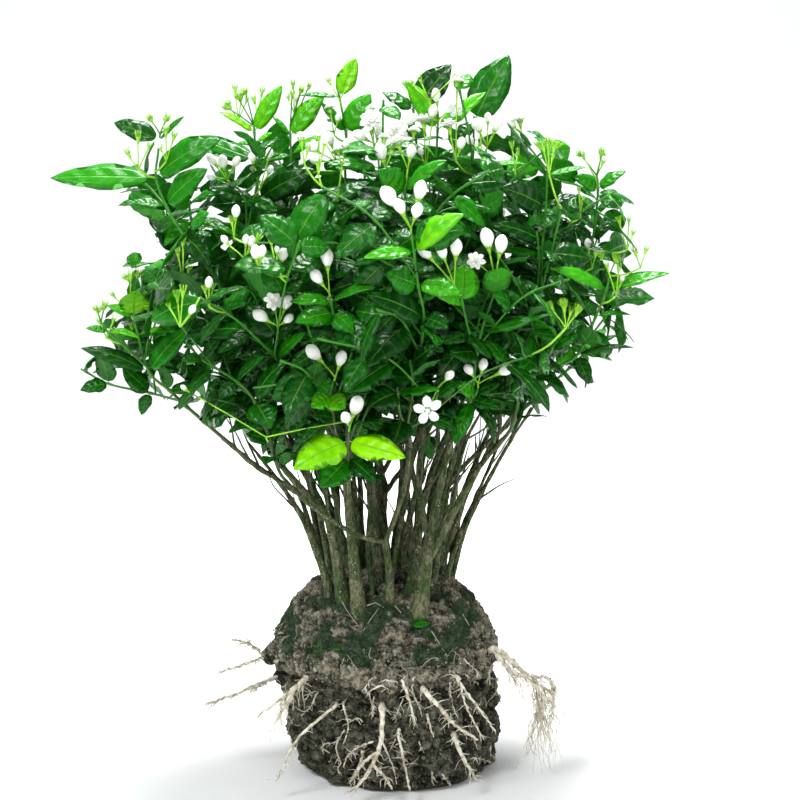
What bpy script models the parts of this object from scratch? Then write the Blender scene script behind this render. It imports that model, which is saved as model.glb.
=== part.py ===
"""Arabian jasmine shrub, lifted with its bare ball of soil and its roots.

Metres, +Z up. The origin is the middle of the soil ball's flat underside, and the shrub's front faces -Y.
The tables are in millimetres: a point is (across, up, depth), chosen in the front view and measured in the
shrub's middle plane, and its depth says how far behind that plane it lies.
"""

import math
import random
from collections import namedtuple

import bpy
from mathutils import Vector, noise
from mathutils.bvhtree import BVHTree

MM = 0.001
UP = Vector((0.0, 0.0, 1.0))

# The front view's eye, in millimetres
EYE_DISTANCE = 1200.0
EYE_HEIGHT = 400.0

# Clearances, in millimetres
SEAT_GAP = 0.3
HOLE_GAP = 0.4
LEAF_CLEARANCE = 0.7
TWIG_CLEARANCE = 1.0

# The soil ball, in millimetres: heights and radii of its side, then its domed top
BALL_SEGMENTS = 22
BALL_SIDE = ((0, 86), (6, 96), (30, 104), (60, 107), (86, 105), (98, 103), (106, 112), (113, 115))
RIM_HEIGHT = 113.0
RIM_RADIUS = 115.0
TOP_RISE = 78.0
TOP_RINGS = (0.96, 0.84, 0.66, 0.45, 0.22)
BALL_SHIFT_LOW = 9.0
BALL_SHIFT_TOP = -3.0
SIDE_LUMP = 4.5
TOP_LUMP = 3.0
LUMP_SIZE = 34.0
FIRM_FOOT = 0.3

# How deep stems and roots stand in the soil, in millimetres
STEM_DEPTH = 26.0
ROOT_DEPTH = 20.0
HOLE_SPARE = 1.5
HOLE_OUTSIDE = 14.0

# Cross-sections and leaf blades
STEM_SIDES = 6
TWIG_SIDES = 3
ROOT_SIDES = 4
HAIR_SIDES = 3
BUD_SIDES = 4
BLADE = 0.9
LEAF_STATIONS = (0.3, 0.68)
LINE_STEP = 6.0
RING_SPACING = 60.0
WIDE_LEAF = 23.0
FORK_START = 3

# The crown that the side shoots fill, in millimetres, and the heights that rule-made leaves keep within
CROWN_MIDDLE = Vector((-25.0, 0.0, 500.0))
CROWN_HALF = Vector((279.3, 210.7, 186.2))
LEAF_LOW = 262.0
LEAF_HIGH = 702.0

Leaf = namedtuple("Leaf", "base tip normal width arch fold tone keyed")
Shoot = namedtuple("Shoot", "name line knots radii pairs tuft owner owner_at start")


def seen(across, up, depth):
    """The point that the front view shows at this place of the middle plane, at this depth."""
    reach = (EYE_DISTANCE + depth) / EYE_DISTANCE
    return Vector((across * reach, depth, EYE_HEIGHT + (up - EYE_HEIGHT) * reach))


# Woody stems: radius at the foot, radius at the tips, the main line, then forks
STEMS = {
    "stem_left": (6.5, 2.1, [(-45, 168, -48), (-53, 210, -49), (-61, 243, -49), (-78, 262, -48),
                             (-103, 290, -47), (-126, 320, -45)],
                  [[(-70, 254, -48), (-105, 277, -38), (-133, 295, -30), (-165, 322, -20)]]),
    "stem_front_left": (6.8, 2.1, [(-30, 151, -62), (-35, 207, -62), (-38, 240, -58), (-42, 280, -48),
                                   (-48, 325, -45), (-54, 362, -54)],
                        [[(-37, 232, -59), (-40, 249, -78), (-39, 266, -96)],
                         [(-41, 270, -50), (-46, 298, -70), (-50, 322, -90)]]),
    "stem_thin": (4.0, 1.9, [(2, 160, -56), (1, 190, -59), (-2, 217, -62), (6, 240, -66), (16, 271, -72),
                             (22, 312, -78)],
                  [[(-1, 214, -62), (-35, 227, -82), (-78, 255, -94), (-103, 280, -96)]]),
    "stem_front_right": (8.0, 2.2, [(32, 151, -62), (37, 190, -62), (42, 225, -60), (50, 263, -55),
                                    (58, 300, -56), (66, 332, -60)],
                         [[(41, 222, -60), (31, 272, -50), (34, 320, -46), (38, 350, -46)],
                          [(38, 198, -61), (56, 230, -60), (71, 258, -55), (92, 294, -48), (118, 324, -40)],
                          [(100, 304, -45), (110, 325, -36), (112, 348, -30)]]),
    "stem_behind_right": (6.0, 2.1, [(24, 163, -40), (28, 210, -28), (36, 260, -12), (52, 310, 6), (70, 350, 20)],
                          [[(33, 245, -17), (22, 300, -10), (15, 347, -6)]]),
    "stem_middle": (6.0, 2.1, [(-9, 186, -10), (-14, 230, -4), (-18, 280, 4), (-15, 350, 15)],
                    [[(-17, 265, 2), (4, 305, 26), (25, 360, 45)],
                     [(-18, 280, 4), (-38, 320, 0), (-60, 362, 5)]]),
    "stem_back_right": (6.2, 2.1, [(38, 186, 15), (48, 240, 35), (62, 290, 60), (80, 342, 85)],
                        [[(52, 255, 42), (50, 300, 80), (50, 350, 110)],
                         [(58, 276, 53), (90, 308, 84), (122, 337, 110)]]),
    "stem_back_left": (5.6, 2.1, [(-48, 184, 12), (-60, 240, 25), (-85, 290, 40), (-115, 342, 50)],
                       [[(-77, 274, 35), (-95, 303, 70), (-120, 337, 100)]]),
    "stem_back": (6.2, 2.1, [(-2, 188, 42), (-5, 245, 62), (-8, 290, 82), (-10, 332, 100)],
                  [[(-6, 256, 66), (-30, 295, 98), (-55, 332, 130)],
                   [(-6, 262, 69), (18, 297, 100), (40, 328, 140)]]),
}

# Leafy branches: the stem and tip that carry each, its shoots, and their chosen leaves.
# A shoot is (line, pairs, tuft): a pair is (point of the line, left leaf, right leaf), a leaf is
# (across, up, nearer, width, face, tone), and a tuft is a list of spent flower heads at the top.
BRANCHES = {
    "branch_left_high": (("stem_left", 0), [
        ([(-140, 400, -50), (-166, 470, -55), (-182, 495, -58), (-203, 523, -60), (-222, 554, -62),
          (-232, 582, -64), (-230, 606, -64), (-228, 626, -62)],
         [(4, None, (-178, 494, 20, 24, 60, 0.25)),
          (5, (-270, 556, 15, 20, 35, 0.55), (-182, 592, 25, 27, 60, 0.5)),
          (6, (-338, 582, 10, 32, 50, 0.6), (-167, 621, 20, 30, 60, 0.5)),
          (8, (-274, 638, 0, 22, 60, 0.3), (-204, 644, 4, 12, 40, 0.5))],
         [(-222, 640, -62), (-214, 636, -60), (-237, 640, -64)]),
        ([(-174, 482, -56), (-190, 515, -40), (-197, 542, -36), (-199, 556, -35), (-202, 572, -35)],
         [(2, (-224, 514, 15, 17, 55, 0.6), (-148, 524, 10, 15, 40, 0.6)),
          (3, (-216, 562, 5, 9, 40, 0.6), (-163, 568, 15, 15, 40, 0.55))], []),
    ]),
    "branch_top_left": (("stem_middle", 2), [
        ([(-95, 440, 0), (-126, 510, -10), (-130, 560, -20), (-132, 600, -25), (-133, 616, -27), (-134, 634, -28)],
         [(3, (-176, 555, 20, 26, 60, 0.2), (-74, 591, 30, 31, 65, 0.15)),
          (4, (-199, 624, -30, 24, 55, 0.35), (-108, 606, -10, 12, 40, 0.5)),
          (5, (-151, 617, 5, 8, 40, 0.75), (-115, 628, 5, 9, 40, 0.8)),
          (6, (-168, 649, 10, 14, 40, 0.85), (-106, 675, 10, 19, 65, 0.85))],
         [(-150, 662, -30), (-142, 666, -27), (-160, 652, -28)]),
        ([(-92, 446, 2), (-92, 500, 20), (-96, 560, 30), (-97, 605, 34), (-98, 629, 35)],
         [(3, (-126, 600, 5, 12, 40, 0.6), (-53, 630, 10, 15, 40, 0.75)),
          (4, (-116, 645, 5, 11, 40, 0.65), (-64, 665, 10, 23, 65, 0.85))],
         [(-88, 668, 30), (-80, 672, 33), (-96, 664, 34)]),
    ]),
    "branch_top": (("stem_middle", 0), [
        ([(-30, 430, 10), (-40, 520, 10), (-43, 600, 10), (-42, 627, 10), (-50, 669, 12)],
         [(4, (-68, 659, 0, 14, 45, 0.5), (-18, 667, 10, 27, 70, 0.7)),
          (5, (-88, 665, 5, 11, 35, 0.45), (-32, 702, 5, 21, 70, 0.85))], []),
        ([(-31, 436, 9), (-15, 500, -20), (-6, 560, -40), (-9, 592, -45), (-10, 610, -45)],
         [(3, (-61, 597, 25, 21, 45, 0.45), (12, 600, 15, 15, 40, 0.5))], []),
        ([(-41, 540, 10), (-46, 575, -4), (-50, 592, -12)], [], []),
    ]),
    "branch_middle_high": (("stem_behind_right", 1), [
        ([(20, 420, -40), (22, 500, -80), (17, 558, -103), (17, 572, -106)],
         [(3, (-27, 574, 25, 13, 35, 0.25), (50, 577, 25, 13, 35, 0.5)),
          (4, (-10, 590, 15, 27, 70, 0.6), (58, 601, 15, 19, 50, 0.6))], []),
    ]),
    "branch_top_right": (("stem_middle", 1), [
        ([(35, 450, 30), (44, 540, 10), (48, 600, 0), (50, 636, -5)],
         [(3, (30, 618, 10, 9, 35, 0.7), (68, 612, 10, 10, 35, 0.5)),
          (4, (18, 680, 10, 21, 65, 0.85), (98, 669, 15, 19, 60, 0.8))], []),
        ([(36, 456, 29), (70, 500, 0), (90, 540, -20), (92, 563, -26), (96, 593, -30), (98, 609, -30)],
         [(3, (62, 572, 15, 18, 40, 0.3), (109, 561, 15, 15, 60, 0.65)),
          (4, (67, 604, 15, 11, 35, 0.65), (139, 597, 15, 11, 35, 0.65))], []),
    ]),
    "branch_back_top": (("stem_back_right", 1), [
        ([(70, 450, 90), (82, 540, 60), (85, 600, 45), (86, 644, 40)],
         [(4, (69, 620, 0, 19, 50, 0.2), (121, 706, 0, 40, 78, 0.45))], []),
        ([(68, 440, 94), (42, 540, 104), (28, 620, 96), (25, 655, 90)],
         [(3, (-6, 668, 0, 20, 45, 0.3), (63, 697, 0, 34, 72, 0.12))], []),
    ]),
    "branch_right_tall": (("stem_front_right", 3), [
        ([(127, 390, -30), (150, 450, -35), (153, 483, -35), (155, 518, -38), (158, 552, -40), (159, 584, -42),
          (159, 598, -42)],
         [(3, (126, 488, 5, 13, 40, 0.15), (170, 494, 5, 15, 45, 0.1)),
          (4, (100, 536, 15, 23, 50, 0.1), (195, 538, 10, 20, 50, 0.1)),
          (5, (113, 572, 25, 32, 70, 0.1), (191, 566, 10, 15, 40, 0.15)),
          (6, (129, 613, 5, 15, 45, 0.45), (198, 593, 10, 13, 35, 0.55))],
         [(151, 613, -44), (160, 617, -42), (169, 612, -42)]),
    ]),
    "branch_right_high": (("stem_behind_right", 0), [
        ([(120, 410, 20), (165, 450, 15), (190, 490, 10), (204, 520, 5), (208, 545, 3), (210, 571, 0), (209, 584, 0)],
         [(4, (182, 535, 5, 17, 50, 0.2), (229, 541, 5, 15, 50, 0.15)),
          (5, (184, 552, 5, 11, 40, 0.35), (225, 562, 5, 11, 40, 0.45)),
          (6, (185, 584, 10, 18, 60, 0.6), (238, 589, 10, 16, 50, 0.6))],
         [(193, 605, -2), (214, 607, 0)]),
    ]),
    "branch_right": (("stem_front_right", 2), [
        ([(134, 376, -55), (145, 384, -60), (188, 404, -70), (208, 444, -75), (219, 471, -80), (221, 484, -80)],
         [(2, (110, 403, 15, 15, 40, 0.4), (177, 371, 15, 12, 35, 0.3)),
          (3, (201, 376, 15, 16, 60, 0.1), (246, 414, 10, 10, 30, 0.15)),
          (4, (196, 460, 5, 15, 50, 0.3), (243, 446, 10, 9, 35, 0.5)),
          (5, (163, 493, 20, 17, 50, 0.7), (282, 487, 10, 16, 45, 0.65))],
         [(213, 502, -84), (228, 500, -80)]),
        ([(150, 389, -62), (164, 412, -85), (175, 428, -95)],
         [(1, (148, 442, 15, 25, 65, 0.65), (191, 425, 10, 19, 55, 0.4)),
          (2, (141, 428, 5, 14, 50, 0.3), (196, 440, 0, 14, 40, 0.4))],
         [(163, 452, -98), (175, 455, -98), (189, 450, -98)]),
    ]),
    "branch_front_right": (("stem_front_right", 0), [
        ([(82, 360, -90), (88, 400, -105), (93, 427, -115), (108, 472, -125)],
         [(1, (66, 316, 15, 17, 60, 0.5), (112, 352, 10, 16, 50, 0.3)),
          (3, (60, 440, 15, 20, 45, 0.3), (165, 447, 20, 15, 40, 0.5)),
          (4, None, (114, 495, 15, 28, 80, 0.65))], []),
        ([(88, 404, -107), (80, 432, -125), (73, 464, -138)],
         [(2, (50, 462, 14, 15, 50, 0.75), (77, 498, 8, 30, 75, 0.7))], []),
        ([(80, 354, -84), (86, 362, -92), (90, 372, -98)],
         [(2, (68, 374, 10, 17, 60, 0.6), (112, 376, 5, 16, 50, 0.3))], []),
    ]),
    "branch_front": (("stem_front_right", 1), [
        ([(32, 400, -100), (36, 442, -140), (30, 475, -160), (26, 508, -170), (23, 526, -172)],
         [(2, (-20, 466, 25, 31, 60, 0.15), (60, 432, 15, 21, 55, 0.2)),
          (3, (-2, 487, 15, 25, 70, 0.5), (73, 467, 15, 19, 55, 0.7)),
          (4, (-25, 503, 20, 17, 45, 0.8), (75, 547, 20, 23, 55, 0.85))], []),
    ]),
    "branch_front_left": (("stem_front_left", 0), [
        ([(-45, 400, -80), (-50, 430, -120), (-55, 447, -140), (-58, 463, -150)],
         [(3, (-93, 438, 20, 21, 60, 0.65), (-34, 427, 10, 21, 65, 0.5)),
          (4, (-98, 459, 15, 16, 45, 0.7), (-12, 473, 15, 14, 40, 0.6))], []),
        ([(-52, 380, -66), (-90, 390, -84), (-112, 402, -110), (-110, 428, -125)],
         [(2, (-150, 405, 10, 21, 50, 0.2), (-82, 428, 15, 17, 55, 0.55))], []),
    ]),
    "branch_front_low": (("stem_thin", 0), [
        ([(12, 345, -110), (9, 373, -125)],
         [(2, (-19, 353, 20, 25, 65, 0.15), (52, 372, 20, 15, 40, 0.5))], []),
        ([(16, 332, -94), (25, 370, -110), (22, 400, -130)],
         [(2, (-11, 426, 15, 16, 50, 0.15), (48, 416, 10, 22, 55, 0.15))], []),
        ([(17, 330, -92), (40, 344, -112), (50, 368, -122)],
         [(1, (70, 330, 5, 16, 50, 0.3), None),
          (2, (30, 360, 8, 14, 45, 0.4), (74, 380, 0, 14, 45, 0.4))], []),
    ]),
    "branch_heart": (("stem_front_left", 2), [
        ([(-54, 342, -125), (-58, 365, -140), (-54, 379, -142)],
         [(1, (-76, 345, 10, 16, 60, 0.3), (-36, 340, 5, 15, 50, 0.2)),
          (2, (-77, 353, 14, 18, 75, 0.8), (-43, 351, 14, 18, 75, 0.8))], []),
    ]),
    "branch_bright_pair": (("stem_front_left", 1), [
        ([(-40, 290, -122), (-40, 302, -134), (-40, 319, -145), (-39, 328, -146)],
         [(2, (-68, 272, 22, 28, 75, 0.45), (-12, 278, 15, 20, 45, 0.2)),
          (3, (-94, 291, 30, 31, 65, 1.0), (17, 304, 30, 25, 60, 1.0))], []),
    ]),
    "branch_low_left": (("stem_thin", 1), [
        ([(-118, 320, -104), (-133, 358, -112), (-152, 379, -116), (-185, 400, -115), (-200, 416, -110)],
         [(1, (-142, 326, 8, 16, 60, 0.25), (-98, 345, 8, 16, 60, 0.25)),
          (2, (-100, 401, 15, 23, 55, 0.3), (-117, 331, 15, 30, 75, 0.3)),
          (3, (-123, 406, 10, 13, 40, 0.4), (-170, 362, 10, 18, 60, 0.2)),
          (4, (-207, 400, 10, 14, 40, 0.4), (-167, 424, 10, 18, 50, 0.3))], []),
    ]),
    "branch_far_left": (("stem_left", 1), [
        ([(-202, 354, -20), (-219, 370, -25), (-239, 388, -30), (-250, 425, -30), (-254, 444, -30), (-255, 464, -30)],
         [(2, (-227, 396, 8, 18, 60, 0.2), (-190, 372, 10, 16, 50, 0.3)),
          (3, (-307, 413, 15, 19, 50, 0.2), (-195, 435, 15, 28, 60, 0.4)),
          (4, (-272, 422, 5, 12, 45, 0.6), (-217, 428, 10, 10, 35, 0.85)),
          (5, (-281, 455, 5, 13, 45, 0.75), (-252, 470, 14, 28, 75, 0.95))],
         [(-260, 482, -31), (-250, 484, -30)]),
        ([(-205, 357, -21), (-238, 367, -10), (-279, 376, -5), (-307, 391, 0)],
         [(1, (-265, 392, 10, 21, 65, 0.35), (-247, 345, 5, 15, 50, 0.3)),
          (2, (-308, 370, 10, 18, 50, 0.3), (-288, 406, 10, 27, 65, 0.1))], []),
        ([(-241, 392, -31), (-262, 412, -45), (-280, 428, -50), (-287, 438, -50)],
         [(2, (-302, 432, 5, 10, 40, 0.7), (-248, 422, 10, 11, 35, 0.85))],
         [(-291, 449, -52), (-284, 452, -50)]),
    ]),
    "branch_left_inner": (("stem_back_left", 0), [
        ([(-130, 430, 20), (-140, 500, -20), (-143, 560, -40), (-158, 577, -50)],
         [(3, (-180, 572, 15, 20, 50, 0.3), (-110, 548, 15, 20, 50, 0.3))], []),
    ]),
    "branch_back_right": (("stem_back_right", 0), [
        ([(105, 385, 105), (140, 440, 130), (170, 490, 140), (180, 525, 140)], [], [])]),
    "branch_back_left": (("stem_back_left", 1), [
        ([(-140, 370, 118), (-170, 420, 140), (-200, 475, 140), (-205, 520, 130)], [], [])]),
    "branch_back": (("stem_back", 0), [
        ([(-12, 380, 125), (-18, 450, 160), (-22, 540, 165), (-24, 610, 140)], [], [])]),
    "branch_back_low_left": (("stem_back", 1), [
        ([(-68, 365, 160), (-88, 410, 190), (-105, 460, 195)], [], [])]),
    "branch_back_low_right": (("stem_back", 2), [
        ([(50, 360, 170), (68, 410, 195), (92, 465, 195)], [], [])]),
    "branch_right_low": (("stem_back_right", 2), [
        ([(150, 365, 118), (190, 400, 115), (222, 440, 100)], [], [])]),
}

# Flower sprays: the branch and shoot that carry each, its fork, and its heads
# A head is (across, up, nearer, size, kind).
SPRAYS = {
    "spray_front": (("branch_front", 0), (23, 531, -172), [
        (1, 563, 12, 17, "bud"), (12, 553, 14, 13, "bud"), (32, 569, 8, 15, "bud"), (29, 549, 12, 13, "bud")]),
    "spray_front_left": (("branch_front_left", 0), (-57, 467, -151), [
        (-71, 483, 6, 13, "bud"), (-61, 502, 6, 15, "bud")]),
    "spray_left_of_front": (("branch_front_left", 1), (-110, 433, -126), [
        (-114, 458, 8, 18, "bloom"), (-127, 444, 10, 14, "bud"), (-100, 441, 8, 10, "bud"), (-101, 457, 6, 12, "bud")]),
    "spray_heart": (("branch_heart", 0), (-54, 383, -142), [
        (-74, 407, 8, 15, "bud"), (-47, 401, 8, 13, "bud")]),
    "spray_bright_pair": (("branch_bright_pair", 0), (-39, 331, -147), [
        (-32, 354, 8, 16, "bud"), (-42, 342, 12, 12, "bud")]),
    "spray_open_flower": (("branch_front_low", 2), (50, 372, -123), [
        (40, 350, 22, 28, "bloom"), (61, 384, 8, 10, "bud")]),
    "spray_middle": (("branch_front_right", 1), (66, 475, -140), [
        (37, 508, 10, 14, "bud"), (54, 508, 12, 12, "bud"), (68, 512, 8, 14, "bud")]),
    "spray_right_of_middle": (("branch_front_right", 0), (107, 480, -128), [
        (99, 521, 6, 16, "bud"), (113, 515, 8, 15, "bud"), (88, 499, 12, 17, "bloom")]),
    "spray_low_right": (("branch_front_right", 2), (90, 376, -99), [
        (117, 390, 8, 13, "bud"), (95, 395, 8, 11, "bud"), (81, 390, 10, 11, "bud")]),
    "spray_top": (("branch_top", 1), (-10, 614, -45), [
        (-16, 640, 10, 24, "bloom"), (8, 628, 12, 24, "bloom"), (-28, 624, 8, 13, "bud"), (20, 640, 4, 13, "bud")]),
    "spray_top_right": (("branch_top_right", 0), (51, 641, -6), [
        (66, 652, 14, 20, "bloom"), (48, 664, 6, 12, "bud")]),
    "spray_top_left": (("branch_top", 2), (-51, 597, -14), [
        (-68, 626, 8, 13, "bud"), (-58, 621, 14, 12, "bud"), (-76, 612, 8, 12, "bud"), (-72, 600, 10, 11, "bud")]),
    "spray_right": (("branch_top_right", 1), (99, 613, -31), [
        (89, 634, 6, 12, "bud"), (109, 635, 6, 13, "bud"), (100, 642, 2, 9, "bud")]),
    "spray_left": (("branch_left_inner", 0), (-161, 580, -52), [
        (-176, 600, 8, 11, "bud"), (-165, 598, 12, 12, "bud"), (-152, 598, 8, 10, "bud"), (-176, 583, 12, 9, "bud")]),
}

# Roots: radius where it leaves the soil, radius at the end, and the height and turn of the exit, taken from
# the first point, then the line outside and the side roots.
ROOTS = {
    "root_left_high": (1.9, 0.8, [(-117, 104, -14), (-140, 97, -22), (-171, 86, -28)],
                       [[(-124, 103, -17), (-138, 116, -14), (-158, 122, -12)]]),
    "root_left": (2.0, 0.8, [(-112, 84, -22), (-128, 76, -34), (-150, 67, -42), (-183, 56, -46)], []),
    "root_left_front": (2.6, 0.9, [(-76, 84, -86), (-84, 80, -100), (-101, 66, -96), (-129, 45, -92)],
                        [[(-93, 73, -99), (-106, 50, -98), (-112, 38, -96)]]),
    "root_long": (1.7, 0.8, [(-50, 57, -98), (-58, 50, -110), (-92, 19, -112), (-112, -22, -112)], []),
    "root_middle": (2.9, 1.1, [(-6, 56, -104), (-6, 50, -117), (-8, 14, -121), (-25, -20, -124), (-44, -34, -126)],
                    [[(-11, 6, -122), (-26, -4, -123), (-38, -24, -124)],
                     [(-14, -4, -122), (-2, -18, -124), (4, -30, -124)]]),
    "root_middle_thin": (1.6, 0.8, [(10, 33, -104), (10, 28, -114), (15, 2, -117), (22, -32, -120)], []),
    "root_over_rim": (1.5, 0.8, [(13, 82, -106), (14, 80, -122), (22, 58, -124), (27, 34, -123)], []),
    "root_right_front": (2.4, 1.2, [(34, 72, -102), (36, 70, -118), (52, 52, -118), (67, 35, -112), (90, 20, -104)], []),
    "root_right_thin": (1.5, 0.8, [(64, 84, -88), (67, 84, -108), (86, 58, -98), (108, 28, -84)],
                        [[(72, 77, -105), (80, 50, -104), (96, 20, -94)]]),
    "root_right_low": (2.6, 1.1, [(62, 28, -92), (66, 24, -105), (75, 2, -104), (90, -22, -102)], []),
    "root_right_bundle": (3.4, 1.0, [(97, 112, -52), (112, 108, -62), (128, 95, -66), (150, 76, -64), (162, 68, -62)],
                          [[(106, 110, -59), (124, 88, -68), (142, 82, -70), (158, 58, -68)],
                           [(146, 79, -65), (152, 60, -62), (152, 38, -60)],
                           [(140, 85, -66), (162, 80, -56), (167, 52, -54)]]),
    "root_back": (2.6, 0.9, [(40, 92, 98), (44, 90, 112), (56, 66, 118), (66, 46, 124)],
                  [[(49, 78, 114), (36, 60, 118), (28, 48, 122)]]),
}

# A petal's rim in the solids: share of the petal's turn, and reach as a share of the flower's radius
PETAL_RIM = ((-0.22, 0.98), (0.22, 0.98), (0.5, 0.45))

# A leaf's full width is reached at its stations; hand-placed leaves try these changes until they stand clear:
# nearer by (mm), turned to the front by (degrees), length factor
LEAF_CHANGES = ((0, 0, 1), (6, 0, 1), (-7, 0, 1), (0, 15, 1), (0, -15, 1), (12, 10, 0.96), (-14, 0, 0.96),
                (18, 0, 0.92), (-20, 10, 0.92), (26, 0, 0.88), (-28, 0, 0.85), (10, -25, 0.85), (0, 0, 0.8))
SPRAY_SHIFTS = (0, 5, -5, 10, 16, -10, 22, 28)

# Rule-made leaves down a shoot, and rule-made side shoots, in millimetres
AUTO_LENGTHS = (36, 46, 52, 52, 48)
AUTO_SPACING = (24, 30, 34, 34, 34)
AUTO_TRIES = 12
BARE_SHARE = 0.22
SIDE_BARE_SHARE = 0.15
SIDE_TRIES = 40
SIDE_REACH = (70, 150)
SIDE_LOW = 330.0
SIDE_ROOM = 34.0
SOLID_PAIRS_FRONT = 1
SOLID_PAIRS_BACK = 2
SIDE_SHOOTS_FRONT = 0
SIDE_SHOOTS_BACK = 2
BACK_BRANCHES = ("branch_back_right", "branch_back_left", "branch_back", "branch_back_low_left",
                 "branch_back_low_right", "branch_right_low", "branch_back_top", "branch_left_inner")


# Lines and plain solids, all in millimetres; a solid is (points, faces)

def curve_point(before, here, there, after, part):
    """A point of the smooth curve from here to there."""
    square = part * part
    cube = square * part
    return 0.5 * (2 * here + (there - before) * part + (2 * before - 5 * here + 4 * there - after) * square
                  + (3 * here - before - 3 * there + after) * cube)


def smooth_line(points, start=None):
    """Close points of a smooth curve through the given ones, and where each given one falls."""
    first = points[0] * 2 - points[1]
    if start:
        first = points[1] - start * (2 * (points[1] - points[0]).length)
    ends = [first, *points, points[-1] * 2 - points[-2]]
    line = []
    knots = []
    for before, here, there, after in zip(ends, ends[1:], ends[2:], ends[3:]):
        knots.append(len(line))
        count = max(1, round((there - here).length / LINE_STEP))
        line += [curve_point(before, here, there, after, k / count) for k in range(count)]
    knots.append(len(line))
    line.append(points[-1].copy())
    return line, knots


def heading(line, i):
    """The line's direction at one of its points."""
    return (line[min(i + 1, len(line) - 1)] - line[max(i - 1, 0)]).normalized()


def spread(first, last, count):
    """Evenly stepped radii from the first to the last."""
    return [first + (last - first) * k / (count - 1) for k in range(count)]


def tube(line, radii, sides, start=None):
    """A closed tube of flat facets along a line."""
    points = []
    faces = [tuple(range(sides))[::-1]]
    side = None
    for i, (centre, radius) in enumerate(zip(line, radii)):
        ahead = start if start and i == 0 else heading(line, i)
        side = ahead.orthogonal().normalized() if side is None else (side - ahead * side.dot(ahead)).normalized()
        other = ahead.cross(side)
        for k in range(sides):
            turn = 2 * math.pi * k / sides
            points.append(centre + (side * math.cos(turn) + other * math.sin(turn)) * radius)
    for i in range(len(line) - 1):
        for k in range(sides):
            a = i * sides + k
            b = i * sides + (k + 1) % sides
            faces.append((a, b, b + sides, a + sides))
    faces.append(tuple(range(len(points) - sides, len(points))))
    return points, faces


def thinned(line, knots, spacing):
    """The points of a line that its facets need: the knots, and more where they lie far apart."""
    kept = [0]
    for i in sorted(set(knots) | {len(line) - 1}):
        parts = math.ceil((i - kept[-1]) * LINE_STEP / spacing)
        start = kept[-1]
        kept += [start + round((i - start) * k / parts) for k in range(1, parts + 1)]
    return kept


def facet_tube(line, knots, radii, sides, spacing, start=None):
    kept = thinned(line, knots, spacing)
    return tube([line[i] for i in kept], [radii[i] for i in kept], sides, start)


def turned(centre, axis, rings, sides, tip):
    """A solid of rings (distance, radius) along an axis, closed by a point at its far end."""
    axis = axis.normalized()
    side = axis.orthogonal().normalized()
    other = axis.cross(side)
    points = []
    for distance, radius in rings:
        for k in range(sides):
            turn = 2 * math.pi * k / sides
            points.append(centre + axis * distance + (side * math.cos(turn) + other * math.sin(turn)) * radius)
    points.append(centre + axis * tip)
    faces = [tuple(range(sides))[::-1]]
    for i in range(len(rings) - 1):
        for k in range(sides):
            a = i * sides + k
            b = i * sides + (k + 1) % sides
            faces.append((a, b, b + sides, a + sides))
    top = len(points) - 1
    faces += [(top - sides + k, top - sides + (k + 1) % sides, top) for k in range(sides)]
    return points, faces


# The soil ball

def ball_shift(height):
    return BALL_SHIFT_LOW + (BALL_SHIFT_TOP - BALL_SHIFT_LOW) * min(1, max(0, height) / RIM_HEIGHT)


def dome_power(turn):
    """How square the dome's shoulder is: a plain slope in front, a fuller shoulder behind."""
    return 4.0 - 2.0 * max(0.0, -math.sin(turn))


def lumps(turn, height):
    """The broken surface's ups and downs, in millimetres."""
    radius = BALL_SIDE[3][1]
    place = Vector((math.cos(turn) * radius, math.sin(turn) * radius, height)) / LUMP_SIZE
    return noise.noise(place) + 0.5 * noise.noise(place * 2.3 + UP * 7)


def side_radius(turn, height):
    """The ball's radius below its rim."""
    radius = BALL_SIDE[-1][1]
    for (low, inner), (high, outer) in zip(BALL_SIDE, BALL_SIDE[1:]):
        if low <= height <= high:
            radius = inner + (outer - inner) * (height - low) / (high - low)
            break
    return radius + SIDE_LUMP * lumps(turn, height) * (FIRM_FOOT if height <= 0 else 1.0)


def dome_height(x, y):
    """The soil's top surface."""
    x = x - BALL_SHIFT_TOP
    turn = math.atan2(y, x)
    part = min(1.0, math.hypot(x, y) / RIM_RADIUS)
    lump = noise.noise(Vector((x, y, 40)) / LUMP_SIZE)
    return RIM_HEIGHT + TOP_RISE * (1 - part ** dome_power(turn)) + TOP_LUMP * lump * (1 - part)


def ball_radius(turn, height):
    """The ball's radius at any height, the dome's included."""
    if height <= RIM_HEIGHT:
        return side_radius(turn, height)
    part = max(0.0, 1 - (height - RIM_HEIGHT) / TOP_RISE) ** (1 / dome_power(turn))
    return RIM_RADIUS * part + SIDE_LUMP * lumps(turn, RIM_HEIGHT)


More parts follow.
